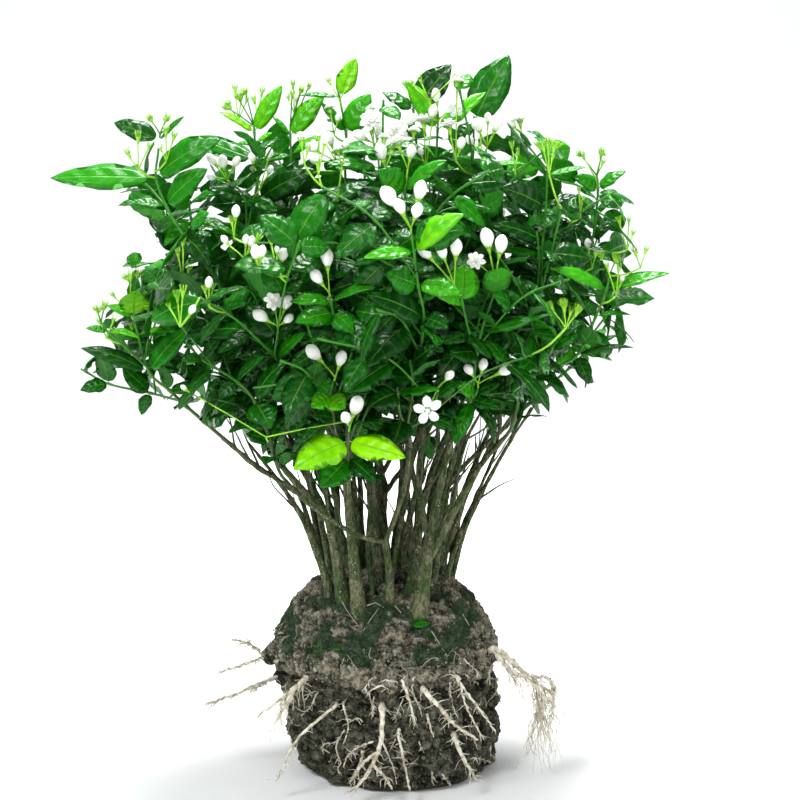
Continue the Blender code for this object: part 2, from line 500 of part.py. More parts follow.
def soil_solid():
    points = [Vector((BALL_SHIFT_LOW, 0, 0))]
    for height, _ in BALL_SIDE:
        for k in range(BALL_SEGMENTS):
            turn = 2 * math.pi * k / BALL_SEGMENTS
            radius = side_radius(turn, height)
            points.append(Vector((ball_shift(height) + radius * math.cos(turn), radius * math.sin(turn), height)))
    for part in TOP_RINGS:
        for k in range(BALL_SEGMENTS):
            turn = 2 * math.pi * k / BALL_SEGMENTS
            radius = part * (RIM_RADIUS + SIDE_LUMP * lumps(turn, RIM_HEIGHT))
            x = BALL_SHIFT_TOP + radius * math.cos(turn)
            y = radius * math.sin(turn)
            points.append(Vector((x, y, dome_height(x, y))))
    points.append(Vector((BALL_SHIFT_TOP, 0, dome_height(BALL_SHIFT_TOP, 0))))
    n = BALL_SEGMENTS
    top = len(points) - 1
    faces = [(0, 1 + (k + 1) % n, 1 + k) for k in range(n)]
    for ring in range(len(BALL_SIDE) + len(TOP_RINGS) - 1):
        for k in range(n):
            a = 1 + ring * n + k
            b = 1 + ring * n + (k + 1) % n
            faces += [(a, b, b + n), (a, b + n, a + n)]
    faces += [(top - n + k, top - n + (k + 1) % n, top) for k in range(n)]
    return points, faces


# Stems and roots

def grow_stem(spec):
    """A stem's tubes, its tips for the leafy branches, and its hole in the soil."""
    foot_radius, tip_radius, main, forks = spec
    points = [seen(*p) for p in main]
    points[0].z = dome_height(points[0].x, points[0].y)
    foot = (points[1] - points[0]).normalized()
    line, knots = smooth_line(points, foot)
    tip_at = len(line) - 1
    radii = [foot_radius + (tip_radius - foot_radius) * (k / tip_at) ** 0.75 for k in range(tip_at + 1)]
    buried = points[0] - foot * STEM_DEPTH
    solids = [facet_tube([buried, *line], [0] + [k + 1 for k in knots], [radii[0], *radii], STEM_SIDES, 60, foot)]
    lines = [(line, radii)]
    for fork in forks:
        start = seen(*fork[0])
        near = min(range(len(line)), key=lambda k: (line[k] - start).length)
        owner, owner_radii = line, radii
        for other, other_radii in lines[1:]:
            best = min(range(len(other)), key=lambda k: (other[k] - start).length)
            if (other[best] - start).length < (owner[near] - start).length:
                owner, owner_radii, near = other, other_radii, best
        branch, branch_knots = smooth_line([owner[near].copy()] + [seen(*p) for p in fork[1:]])
        branch_radii = spread(min(owner_radii[near] * 0.72, 4.2), tip_radius, len(branch))
        solids.append(facet_tube(branch, branch_knots, branch_radii, STEM_SIDES - 2, 60))
        lines.append((branch, branch_radii))
    tips = [(branch[-1], heading(branch, len(branch) - 1)) for branch, _ in lines]
    hole = tube([buried - foot * HOLE_SPARE, points[0] + foot * HOLE_OUTSIDE],
                [foot_radius + HOLE_GAP] * 2, STEM_SIDES, foot)
    return solids, tips, hole, lines


def grow_root(name, spec):
    """A root's tubes and its hole: it leaves the soil straight, then follows its chosen line."""
    first_radius, last_radius, main, forks = spec
    points = [seen(*p) for p in main]
    outward = (points[1] - points[0]).normalized()
    turn = math.atan2(points[0].y, points[0].x - ball_shift(points[0].z))
    surface = ball_radius(turn, points[0].z)
    foot = Vector((ball_shift(points[0].z) + surface * math.cos(turn), surface * math.sin(turn), points[0].z))
    leave = (outward + Vector((math.cos(turn), math.sin(turn), 0.0)) * 1.2).normalized()
    outside = foot + leave * (first_radius + 5)
    line, knots = smooth_line([foot, outside] + points[1:], leave)
    radii = spread(first_radius, last_radius, len(line))
    buried = foot - leave * ROOT_DEPTH
    solids = [facet_tube([buried, *line], [0] + [k + 1 for k in knots], [first_radius, *radii], ROOT_SIDES, 40, leave)]
    lines = [(line, radii)]
    for fork in forks:
        start = seen(*fork[0])
        near = min(range(len(line)), key=lambda k: (line[k] - start).length)
        branch, branch_knots = smooth_line([line[near].copy()] + [seen(*p) for p in fork[1:]])
        branch_radii = spread(radii[near] * 0.8, last_radius, len(branch))
        solids.append(facet_tube(branch, branch_knots, branch_radii, ROOT_SIDES - 1, 40))
        lines.append((branch, branch_radii))
    hole = tube([buried - leave * HOLE_SPARE, foot + leave * HOLE_OUTSIDE], [first_radius + HOLE_GAP] * 2,
                ROOT_SIDES, leave)
    return solids, hole, lines


def rootlets(name, lines, space, count):
    """Short side roots, kept out of the soil and clear of the other roots."""
    draw = random.Random(name)
    found = []
    for _ in range(count):
        line, radii = draw.choice(lines)
        at = draw.randrange(len(line) // 3, len(line) - 1)
        for _ in range(10):
            ahead = heading(line, at)
            sideways = Vector((draw.uniform(-1, 1), draw.uniform(-1, 0.6), draw.uniform(-1, 0.7)))
            way = (sideways - ahead * sideways.dot(ahead)).normalized() + ahead * 0.5
            length = draw.uniform(9, 20)
            middle = line[at] + way * length * 0.5 + UP * draw.uniform(-2, 2)
            end = line[at] + way * length + UP * draw.uniform(-5, 1)
            path, knots = smooth_line([line[at].copy(), middle, end])
            if min(p.z for p in path) < 3:
                continue
            solid = tube([path[0], middle, end], [0.62, 0.55, 0.4], HAIR_SIDES)
            if space.free(tube([path[1], middle, end], [1.3, 1.3, 1.3], HAIR_SIDES), skip=name):
                found.append(solid)
                break
    return found


# What already stands in the shrub

class Space:
    """Keeps each new piece clear of those that stand there."""

    def __init__(self):
        self.items = []

    def add(self, group, solid):
        self.items.append((group, *self.box(solid), BVHTree.FromPolygons(*solid)))

    def box(self, solid):
        points = solid[0]
        low = [min(p[k] for p in points) for k in range(3)]
        high = [max(p[k] for p in points) for k in range(3)]
        return low, high

    def free(self, solid, skip=None, only=None, owner=None):
        """Whether a solid crosses nothing but what is skipped: one group, or all groups of one owner."""
        low, high = self.box(solid)
        tree = None
        for group, other_low, other_high, other in self.items:
            if group == skip or (only and group != only) or (owner and group.split("/")[0] == owner):
                continue
            if any(low[k] > other_high[k] or high[k] < other_low[k] for k in range(3)):
                continue
            tree = tree or BVHTree.FromPolygons(*solid)
            if tree.overlap(other):
                return False
        return True


# Leaves

def leaf_outline(part):
    """Half the leaf's width at a part of its length, as a share of the widest."""
    part = max(0.0, (part - 0.08) / 0.92)
    return math.sin(math.pi * part ** 0.74) ** 0.78 if 0 < part < 1 else 0.0


def leaf_row(leaf, part, grow=0.0):
    """The left edge, rib and right edge of the leaf's middle surface at a part of its length."""
    along = leaf.tip - leaf.base
    side = along.normalized().cross(leaf.normal)
    rib = leaf.base + along * part + leaf.normal * (leaf.arch * 4 * part * (1 - part))
    half = leaf.width / 2 * leaf_outline(part) + grow
    fold = math.radians(leaf.fold)
    rise = leaf.normal * (half * math.sin(fold))
    run = side * (half * math.cos(fold))
    return rib - run + rise, rib, rib + run + rise


def leaf_solid(leaf, grow=0.0):
    """A thin blade, folded along its rib if it is wide, with the same triangles on both faces."""
    left_1, rib_1, right_1 = leaf_row(leaf, LEAF_STATIONS[0], grow)
    left_2, rib_2, right_2 = leaf_row(leaf, LEAF_STATIONS[1], grow)
    tip = leaf.tip + (leaf.tip - leaf.base).normalized() * grow
    if leaf.keyed and leaf.width > WIDE_LEAF:
        surface = [leaf.base, right_1, right_2, tip, left_2, left_1, rib_1, rib_2]
        upper = [(0, 1, 6), (0, 6, 5), (6, 1, 2), (6, 2, 7), (5, 6, 7), (5, 7, 4), (7, 2, 3), (4, 7, 3)]
    else:
        surface = [leaf.base, right_1, right_2, tip, left_2, left_1]
        upper = [(0, 1, 5), (5, 1, 2), (5, 2, 4), (4, 2, 3)]
    half = leaf.normal * (BLADE / 2 + grow)
    count = len(surface)
    points = [p + half for p in surface] + [p - half for p in surface]
    faces = upper + [(c + count, b + count, a + count) for a, b, c in upper]
    for a in range(6):
        b = (a + 1) % 6
        faces += [(a + count, b + count, b), (a + count, b, a)]
    return points, faces


def leaf_normal(ahead, face, towards):
    """The blade's upward side, turned by the face angle from level towards the viewer or the light."""
    level = UP - ahead * UP.dot(ahead)
    facing = towards - ahead * towards.dot(ahead)
    if level.length < 0.3:
        return facing.normalized()
    level.normalize()
    if facing.length < 0.2 or facing.normalized().dot(level) < -0.6:
        return level
    face = math.radians(face)
    return (level * math.cos(face) + facing.normalized() * math.sin(face)).normalized()


def make_leaf(node, tip, width, face, tone, towards, arch, fold, keyed):
    ahead = (tip - node).normalized()
    normal = leaf_normal(ahead, face, towards)
    return Leaf(node + ahead * 0.25, tip, normal, width, arch, fold, tone, keyed)


def leaf_fits(leaf, space, shoot, within=False):
    """Clear of all other pieces, and beyond its own stalk of its own shoot too; or clear of other branches only."""
    if within:
        return space.free(leaf_solid(leaf, LEAF_CLEARANCE), owner=shoot.name.split("/")[0])
    outer = leaf._replace(base=leaf.base.lerp(leaf.tip, 0.32), width=leaf.width * 0.9)
    return (space.free(leaf_solid(leaf, LEAF_CLEARANCE), skip=shoot.name)
            and space.free(leaf_solid(outer, LEAF_CLEARANCE * 0.5), only=shoot.name))


def leaf_place(shoot, knot):
    """Where on its shoot's line a chosen leaf stands: never quite at the top, where the flowers sit."""
    return min(shoot.knots[knot], len(shoot.line) - 2)


def hand_leaf(spec, shoot, knot, space):
    """A leaf chosen from the front view, moved a little if it would touch another piece."""
    across, up, nearer, width, face, tone = spec
    node = shoot.line[leaf_place(shoot, knot)]
    draw = random.Random(f"{shoot.name} {across} {up}")
    arch_share = draw.uniform(0.03, 0.1)
    fold = draw.uniform(2, 20)
    eye = Vector((0.0, -EYE_DISTANCE, EYE_HEIGHT))
    for within in (False, True):
        for closer, turn, scale in LEAF_CHANGES:
            tip = node.lerp(seen(across, up, node.y - nearer - closer), scale)
            length = (tip - node).length
            leaf = make_leaf(node, tip, width * 1.06 * scale, min(88, face + turn), tone, (eye - node).normalized(),
                             arch_share * length, fold, True)
            if leaf_fits(leaf, space, shoot, within):
                return leaf
    return None


def outward_of(point):
    """Away from the crown's middle, mostly sideways."""
    away = point - CROWN_MIDDLE
    away.z *= 0.5
    return away.normalized() if away.length > 1 else UP


def auto_leaf(shoot, at, turn, length, tone, space, draw):
    """A leaf set by rule at a node of its shoot, in the best free place of a few tries."""
    node = shoot.line[at]
    ahead = heading(shoot.line, at)
    outward = outward_of(node)
    side = ahead.cross(outward)
    side = side.normalized() if side.length > 0.1 else ahead.orthogonal().normalized()
    front = side.cross(ahead)
    for attempt in range(AUTO_TRIES):
        spread_turn = turn + math.radians(draw.uniform(-14, 14) * (1 + 0.35 * attempt))
        size = length * draw.uniform(0.9, 1.1) * (1 - 0.035 * attempt)
        way = side * math.cos(spread_turn) + front * math.sin(spread_turn)
        way.z *= 0.35 + 0.65 * abs(ahead.z)
        lift = math.radians(draw.uniform(8, 38))
        way = (way.normalized() * math.cos(lift) + ahead * math.sin(lift)).normalized()
        tip = node + way * size - UP * size * draw.uniform(0.04, 0.32)
        if not LEAF_LOW <= tip.z <= LEAF_HIGH:
            continue
        leaf = make_leaf(node, tip, size * draw.uniform(0.5, 0.62), draw.uniform(5, 55), tone, outward,
                         size * draw.uniform(0.03, 0.11), draw.uniform(-6, 16), False)
        if leaf_fits(leaf, space, shoot):
            return leaf
    return None


def auto_pairs(shoot, count, space):
    """Opposite pairs down from the shoot's top, each a quarter turn on, as (place on the shoot, leaf)."""
    draw = random.Random(f"{shoot.name} pairs 0")
    at = len(shoot.line) - 2
    bare = round(len(shoot.line) * (SIDE_BARE_SHARE if "side" in shoot.name else BARE_SHARE))
    found = []
    for k in range(count):
        if at < bare:
            break
        turn = math.radians(draw.uniform(-20, 20) + 90 * (k % 2))
        length = AUTO_LENGTHS[k] * draw.uniform(0.88, 1.12)
        tone = 0.72 - 0.16 * k + draw.uniform(-0.12, 0.12)
        for half_turn in (0.0, math.pi):
            leaf = auto_leaf(shoot, at, turn + half_turn, length, tone, space, draw)
            if leaf:
                found.append((at, leaf))
                space.add(shoot.name, leaf_solid(leaf))
        at -= round(AUTO_SPACING[k] * draw.uniform(0.85, 1.15) / LINE_STEP)
    return found


# Shoots

def clear_line(points, start, name, space, radius):
    """The smooth line through the points, its free points moved in depth until it stands clear."""
    for shift in (0, 6, -6, 12, -12, 18, -18, 26, -26):
        moved = [p.copy() for p in points]
        for p in moved[2:-1]:
            p.y += shift
        line, knots = smooth_line(moved, start)
        fat = tube(line[1::2], [radius + TWIG_CLEARANCE] * len(line[1::2]), TWIG_SIDES)
        if space.free(fat, owner=name.split("/")[0]):
            return line, knots
    return smooth_line(points, start)


def nearest(line, point):
    return min(range(len(line)), key=lambda k: (line[k] - point).length)


def add_shoot(name, points, start, first_radius, pairs, tuft, space, owner="", owner_at=0):
    line, knots = clear_line(points, start, name, space, first_radius)
    radii = spread(first_radius, 1.05, len(line))
    shoot = Shoot(name, line, knots, radii, pairs, [seen(*p) for p in tuft], owner, owner_at,
                  start or heading(line, 0))
    space.add(name, tube(line[1:], shoot.radii[1:], TWIG_SIDES))
    return shoot


def hand_shoots(name, specs, seat, space):
    """A branch's chosen shoots: the first stands on its stem's tip, and the others leave the first."""
    tip, ahead = seat
    base = tip + ahead * SEAT_GAP
    first_points = [base] + [seen(*p) for p in specs[0][0]]
    shoots = [add_shoot(f"{name}/0", first_points, ahead, 1.9, specs[0][1], specs[0][2], space)]
    for i, (points, pairs, tuft) in enumerate(specs[1:], 1):
        places = [seen(*p) for p in points]
        owner = min(shoots, key=lambda s: (s.line[nearest(s.line, places[0])] - places[0]).length)
        at = max(FORK_START, nearest(owner.line, places[0]))
        places[0] = owner.line[at].copy()
        shoots.append(add_shoot(f"{name}/{i}", places, None, owner.radii[at] * 0.85, pairs, tuft, space,
                                owner.name, at))
    return shoots


def inside_crown(point):
    away = point - CROWN_MIDDLE
    return sum((away[k] / CROWN_HALF[k]) ** 2 for k in range(3)) < 1


def side_shoots(name, shoots, count, tips, space):
    """Shoots set by rule: each leaves a chosen one and ends where the crown is still empty."""
    draw = random.Random(f"{name} side shoots")
    added = []
    for i in range(count):
        owner = shoots[i % len(shoots)]
        best = None
        for _ in range(SIDE_TRIES):
            at = round(len(owner.line) * draw.uniform(0.25, 0.8))
            at = max(2, min(at, len(owner.line) - 3))
            ahead = heading(owner.line, at)
            outward = outward_of(owner.line[at])
            way = Vector((draw.uniform(-1, 1), draw.uniform(-1, 1), draw.uniform(-0.3, 1)))
            way = (way.normalized() + outward * 0.6 + ahead * 0.35).normalized()
            tip = owner.line[at] + way * draw.uniform(*SIDE_REACH)
            if not inside_crown(tip) or tip.z < SIDE_LOW:
                continue
            room = min((tip - other).length for other in tips)
            if best is None or room > best[0]:
                middle = owner.line[at].lerp(tip, 0.45) + ahead * 14 + UP * 4
                fat = tube([owner.line[at] + way * 6, middle, tip], [3, 3, 3], TWIG_SIDES)
                if space.free(fat, owner=name):
                    best = (room, at, middle, tip)
        if best and best[0] > SIDE_ROOM:
            _, at, middle, tip = best
            radius = owner.radii[at] * 0.8
            added.append(add_shoot(f"{name}/side_{i}", [owner.line[at].copy(), middle, tip], None, radius, [], [],
                                   space, owner.name, at))
            tips.append(tip)
    return added


# Buds, flowers and spent flower heads

def bud_solid(fork, head, size):
    """A closed bud, its calyx and its stalk in one."""
    rings = [(-(head - fork).length, 0.7), (-0.75 * size, 0.7), (-0.14 * size, 0.44 * size), (0.33 * size, 0.38 * size)]
    return turned(head, head - fork, rings, BUD_SIDES, 0.62 * size)


def flower_layer(centre, facing, radius, petals, cup, turn):
    """One layer of petals as a single thin cupped body, notched between the petals."""
    facing = facing.normalized()
    side = facing.orthogonal().normalized()
    other = facing.cross(side)
    surface = [centre.copy()]
    for k in range(petals):
        for share, reach in PETAL_RIM:
            angle = turn + 2 * math.pi * (k + share) / petals
            flat = (side * math.cos(angle) + other * math.sin(angle)) * radius * reach
            surface.append(centre + flat + facing * cup * radius * reach * reach)
    rim = len(surface) - 1
    half = facing * (BLADE / 2)
    count = len(surface)
    points = [p + half for p in surface] + [p - half for p in surface]
    faces = []
    for k in range(rim):
        a = 1 + k
        b = 1 + (k + 1) % rim
        faces += [(0, a, b), (count, b + count, a + count), (a + count, b + count, b), (a + count, b, a)]
    return points, faces


def spray_plan(spec, seat, shift):
    """Where a flower stalk starts on its shoot's top, where it forks, and its heads."""
    _, fork, heads = spec
    top, ahead = seat
    base = top + ahead * SEAT_GAP
    move = Vector((0, -shift, 0))
    fork = seen(*fork) + move * 0.5
    if (fork - base).dot(ahead) < 3:
        fork = base + ahead * 3
    found = []
    for across, up, nearer, size, kind in heads:
        head = seen(across, up, fork.y - nearer) + move
        axis = (head - fork).normalized()
        if kind == "bud":
            size = min(size, (head - fork).length / 0.9)
        else:
            axis = (axis * 0.5 + (Vector((0.0, -EYE_DISTANCE, EYE_HEIGHT)) - head).normalized()).normalized()
        found.append((head, axis, size, kind))
    return base, fork, found


def spray_solids(plan, ahead):
    """A forked stalk with its buds and open flowers."""
    base, fork, heads = plan
    solids = [tube([base, fork + (fork - base).normalized() * 0.8], [1.0, 0.9], TWIG_SIDES, ahead)]
    for head, axis, size, kind in heads:
        if kind == "bud":
            solids.append(bud_solid(fork, head, size))
        else:
            solids.append(tube([fork, head - axis * 4, head + axis * 1.2], [0.8, 0.9, 1.3], HAIR_SIDES))
            solids.append(flower_layer(head, axis, size / 2, 5, 0.15, 0.0))
            solids.append(turned(head, axis, [(-0.2, 0.1 * size), (0.16 * size, 0.24 * size)], 5, 0.26 * size))
    return solids


def tuft_solids(shoot):
    """Short stalks with spent calyxes at a shoot's top."""
    top = shoot.line[-1]
    ahead = heading(shoot.line, len(shoot.line) - 1)
    solids = []
    for head in shoot.tuft:
        solids.append(tube([top - ahead * 1.5, head], [0.8, 2.0], HAIR_SIDES))
    return solids


# The whole shrub

def grow_shrub():
    """Every piece as (name, kind, solids), and what the leafy branches consist of."""
    space = Space()
    pieces = []
    holes = []
    space.add("soil", soil_solid())
    tips = {}
    for name, spec in STEMS.items():
        solids, tips[name], hole, _ = grow_stem(spec)
        pieces.append((name, "bark", solids))
        holes.append(hole)
        for solid in solids:
            space.add(name, solid)
    roots = {}
    for name, spec in ROOTS.items():
        solids, hole, lines = grow_root(name, spec)
        roots[name] = (solids, lines)
        holes.append(hole)
        for solid in solids:
            space.add(name, solid)
    for name, (solids, lines) in roots.items():
        pieces.append((name, "root", solids + rootlets(name, lines, space, 1)))
    shoots = {}
    for name, (seat, specs) in BRANCHES.items():
        shoots[name] = hand_shoots(name, specs, tips[seat[0]][seat[1]], space)
    for name, spec in SPRAYS.items():
        branch, i = spec[0]
        line = shoots[branch][i].line
        seat = (line[-1], heading(line, len(line) - 1))
        for shift in SPRAY_SHIFTS:
            solids = spray_solids(spray_plan(spec, seat, shift), seat[1])
            if all(space.free(solid) for solid in solids[1:]):
                break
        for solid in solids:
            space.add(name, solid)
        pieces.append((name, "flower", solids))
    for name in shoots:
        for shoot in shoots[name]:
            for solid in tuft_solids(shoot):
                space.add(shoot.name, solid)
    leaves = {}
    dropped = []
    for name in shoots:
        leaves[name] = []
        for shoot in shoots[name]:
            for knot, *pair in shoot.pairs:
                for spec in pair:
                    leaf = hand_leaf(spec, shoot, knot, space) if spec else None
                    if leaf:
                        leaves[name].append((shoot, leaf_place(shoot, knot), leaf))
                        space.add(shoot.name, leaf_solid(leaf))
                    elif spec:
                        dropped.append((shoot.name, spec))
    shoot_tips = [s.line[-1] for group in shoots.values() for s in group]
    for name in shoots:
        count = SIDE_SHOOTS_BACK if name in BACK_BRANCHES else SIDE_SHOOTS_FRONT
        shoots[name] += side_shoots(name, shoots[name], count, shoot_tips, space)
    for name in shoots:
        for shoot in shoots[name]:
            count = SOLID_PAIRS_BACK if name in BACK_BRANCHES else SOLID_PAIRS_FRONT
            if shoot.pairs:
                continue
            leaves[name] += [(shoot, at, leaf) for at, leaf in auto_pairs(shoot, count, space)]
    return space, pieces, holes, shoots, leaves, dropped


def branch_solids(shoots, leaves):
    """A leafy branch: its twigs with a ring at every leaf, its blades and its spent flower heads."""
    solids = []
    for shoot in shoots:
        knots = [at for owner, at, _ in leaves if owner is shoot]
        knots += [other.owner_at for other in shoots if other.owner == shoot.name]
        kept = thinned(shoot.line, knots, RING_SPACING)
        solids.append(tube([shoot.line[i] for i in kept], [shoot.radii[i] for i in kept], TWIG_SIDES, shoot.start))
        solids += tuft_solids(shoot)
    return solids + [leaf_solid(leaf) for _, _, leaf in leaves]


# Meshes and materials

MATERIALS = {
    "soil": ((0.10, 0.085, 0.06), 0.95),
    "bark": ((0.16, 0.17, 0.10), 0.8),
    "root": ((0.52, 0.47, 0.36), 0.7),
    "leaf": ((0.03, 0.26, 0.02), 0.35),
    "flower": ((0.90, 0.92, 0.82), 0.5),
}


def material(kind):
    found = bpy.data.materials.get(kind)
    if found:
        return found
    found = bpy.data.materials.new(kind)
    found.use_nodes = True
    shader = found.node_tree.nodes["Principled BSDF"]
    colour, roughness = MATERIALS[kind]
    shader.inputs["Base Color"].default_value = (*colour, 1.0)
    shader.inputs["Roughness"].default_value = roughness
    found.diffuse_color = (*colour, 1.0)
    return found


def mesh_object(name, solid, collection):
    points, faces = solid
    mesh = bpy.data.meshes.new(name)
    mesh.from_pydata([p * MM for p in points], [], faces)
    mesh.update()
    piece = bpy.data.objects.new(name, mesh)
    collection.objects.link(piece)
    return piece


def joined(name, solids, kind):
    """One object from a node's solids: a Boolean union with all but the first, applied."""
    scene = bpy.context.scene.collection
    piece = mesh_object(name, solids[0], scene)
    if len(solids) > 1:
        rest = bpy.data.collections.new(name + "_rest")
        scene.children.link(rest)
        for i, solid in enumerate(solids[1:]):
            mesh_object(f"{name}_rest_{i}", solid, rest)
        union = piece.modifiers.new("union", "BOOLEAN")
        union.operation = "UNION"
        union.solver = "MANIFOLD"
        union.operand_type = "COLLECTION"
        union.collection = rest
        apply_modifiers(piece)
        for other in list(rest.objects):
            bpy.data.objects.remove(other)
        bpy.data.collections.remove(rest)
    piece.data.materials.clear()
    piece.data.materials.append(material(kind))
    return piece


def apply_modifiers(piece):
    evaluated = piece.evaluated_get(bpy.context.evaluated_depsgraph_get())
    mesh = bpy.data.meshes.new_from_object(evaluated)
    piece.modifiers.clear()
    piece.data = mesh


def soil_object(holes):
    """The soil ball, with a plain hole for each stem and root."""
    scene = bpy.context.scene.collection
    piece = mesh_object("soil_ball", soil_solid(), scene)
    cutters = bpy.data.collections.new("holes")
    scene.children.link(cutters)
    for i, hole in enumerate(holes):
        cutter = mesh_object(f"hole_{i}", hole, cutters)
        cutter.hide_render = True
        cutter.display_type = "WIRE"
    cut = piece.modifiers.new("holes", "BOOLEAN")
    cut.operation = "DIFFERENCE"
    cut.solver = "MANIFOLD"
    cut.operand_type = "COLLECTION"
    cut.collection = cutters
    apply_modifiers(piece)
    for other in list(cutters.objects):
        bpy.data.objects.remove(other)
    bpy.data.collections.remove(cutters)
    piece.data.materials.append(material("soil"))


def build():
    for old in list(bpy.data.objects):
        bpy.data.objects.remove(old)
    _, pieces, holes, shoots, leaves, _ = grow_shrub()
    soil_object(holes)
    for name, kind, solids in pieces:
        joined(name, solids, kind)
    for name in shoots:
        joined(name, branch_solids(shoots[name], leaves[name]), "leaf")


build()
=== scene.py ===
"""Looks of the Arabian jasmine shrub with its bare ball of soil and its roots.

The tables and rules that place each stem, shoot, leaf and flower are those of the solids, in millimetres, so every
fine leaf lies where its solid one does. Then come more shoots, leaves and roots, the soil's detail, the finishes,
the floor, the lights and the camera.
"""

import math
import random
from collections import namedtuple

import bpy
import numpy as np
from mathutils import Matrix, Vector, noise
from mathutils.bvhtree import BVHTree


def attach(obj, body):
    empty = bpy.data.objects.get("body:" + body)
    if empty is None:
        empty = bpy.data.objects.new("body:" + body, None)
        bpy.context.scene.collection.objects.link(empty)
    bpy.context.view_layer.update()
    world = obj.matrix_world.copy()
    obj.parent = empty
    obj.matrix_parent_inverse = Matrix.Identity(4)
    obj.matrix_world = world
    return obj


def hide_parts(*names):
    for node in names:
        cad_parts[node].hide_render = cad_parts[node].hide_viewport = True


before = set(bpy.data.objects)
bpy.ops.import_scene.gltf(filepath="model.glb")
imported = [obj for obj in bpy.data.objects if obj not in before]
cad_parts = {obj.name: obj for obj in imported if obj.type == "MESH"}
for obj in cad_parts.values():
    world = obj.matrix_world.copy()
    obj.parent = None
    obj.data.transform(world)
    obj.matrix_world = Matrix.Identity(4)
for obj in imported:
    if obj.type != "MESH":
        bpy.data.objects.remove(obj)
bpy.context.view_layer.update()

MM = 0.001
UP = Vector((0.0, 0.0, 1.0))

# The front view's eye, in millimetres
EYE_DISTANCE = 1200.0
EYE_HEIGHT = 400.0

# Clearances, in millimetres
SEAT_GAP = 0.3
HOLE_GAP = 0.4
LEAF_CLEARANCE = 0.7
TWIG_CLEARANCE = 1.0

# The soil ball, in millimetres: heights and radii of its side, then its domed top
BALL_SEGMENTS = 22
BALL_SIDE = ((0, 86), (6, 96), (30, 104), (60, 107), (86, 105), (98, 103), (106, 112), (113, 115))
RIM_HEIGHT = 113.0
RIM_RADIUS = 115.0
TOP_RISE = 78.0
TOP_RINGS = (0.96, 0.84, 0.66, 0.45, 0.22)
BALL_SHIFT_LOW = 9.0
BALL_SHIFT_TOP = -3.0
SIDE_LUMP = 4.5
TOP_LUMP = 3.0
LUMP_SIZE = 34.0
FIRM_FOOT = 0.3

# How deep stems and roots stand in the soil, in millimetres
STEM_DEPTH = 26.0
ROOT_DEPTH = 20.0
HOLE_SPARE = 1.5
HOLE_OUTSIDE = 14.0

# Cross-sections and leaf blades
STEM_SIDES = 6
TWIG_SIDES = 3
ROOT_SIDES = 4
HAIR_SIDES = 3
BUD_SIDES = 4
BLADE = 0.9
LEAF_STATIONS = (0.3, 0.68)
LINE_STEP = 6.0
RING_SPACING = 60.0
WIDE_LEAF = 23.0
FORK_START = 3

# The crown that the side shoots fill, in millimetres, and the heights that rule-made leaves keep within
CROWN_MIDDLE = Vector((-25.0, 0.0, 500.0))
CROWN_HALF = Vector((279.3, 210.7, 186.2))
LEAF_LOW = 262.0
LEAF_HIGH = 702.0

Leaf = namedtuple("Leaf", "base tip normal width arch fold tone keyed")
Shoot = namedtuple("Shoot", "name line knots radii pairs tuft owner owner_at start")


def seen(across, up, depth):
    """The point that the front view shows at this place of the middle plane, at this depth."""
    reach = (EYE_DISTANCE + depth) / EYE_DISTANCE
    return Vector((across * reach, depth, EYE_HEIGHT + (up - EYE_HEIGHT) * reach))


# Woody stems: radius at the foot, radius at the tips, the main line, then forks
STEMS = {
    "stem_left": (6.5, 2.1, [(-45, 168, -48), (-53, 210, -49), (-61, 243, -49), (-78, 262, -48),
                             (-103, 290, -47), (-126, 320, -45)],
                  [[(-70, 254, -48), (-105, 277, -38), (-133, 295, -30), (-165, 322, -20)]]),
    "stem_front_left": (6.8, 2.1, [(-30, 151, -62), (-35, 207, -62), (-38, 240, -58), (-42, 280, -48),
                                   (-48, 325, -45), (-54, 362, -54)],
                        [[(-37, 232, -59), (-40, 249, -78), (-39, 266, -96)],
                         [(-41, 270, -50), (-46, 298, -70), (-50, 322, -90)]]),
    "stem_thin": (4.0, 1.9, [(2, 160, -56), (1, 190, -59), (-2, 217, -62), (6, 240, -66), (16, 271, -72),
                             (22, 312, -78)],
                  [[(-1, 214, -62), (-35, 227, -82), (-78, 255, -94), (-103, 280, -96)]]),
    "stem_front_right": (8.0, 2.2, [(32, 151, -62), (37, 190, -62), (42, 225, -60), (50, 263, -55),
                                    (58, 300, -56), (66, 332, -60)],
                         [[(41, 222, -60), (31, 272, -50), (34, 320, -46), (38, 350, -46)],
                          [(38, 198, -61), (56, 230, -60), (71, 258, -55), (92, 294, -48), (118, 324, -40)],
                          [(100, 304, -45), (110, 325, -36), (112, 348, -30)]]),
    "stem_behind_right": (6.0, 2.1, [(24, 163, -40), (28, 210, -28), (36, 260, -12), (52, 310, 6), (70, 350, 20)],
                          [[(33, 245, -17), (22, 300, -10), (15, 347, -6)]]),
    "stem_middle": (6.0, 2.1, [(-9, 186, -10), (-14, 230, -4), (-18, 280, 4), (-15, 350, 15)],
                    [[(-17, 265, 2), (4, 305, 26), (25, 360, 45)],
                     [(-18, 280, 4), (-38, 320, 0), (-60, 362, 5)]]),
    "stem_back_right": (6.2, 2.1, [(38, 186, 15), (48, 240, 35), (62, 290, 60), (80, 342, 85)],
                        [[(52, 255, 42), (50, 300, 80), (50, 350, 110)],
                         [(58, 276, 53), (90, 308, 84), (122, 337, 110)]]),
    "stem_back_left": (5.6, 2.1, [(-48, 184, 12), (-60, 240, 25), (-85, 290, 40), (-115, 342, 50)],
                       [[(-77, 274, 35), (-95, 303, 70), (-120, 337, 100)]]),
    "stem_back": (6.2, 2.1, [(-2, 188, 42), (-5, 245, 62), (-8, 290, 82), (-10, 332, 100)],
                  [[(-6, 256, 66), (-30, 295, 98), (-55, 332, 130)],
                   [(-6, 262, 69), (18, 297, 100), (40, 328, 140)]]),
}

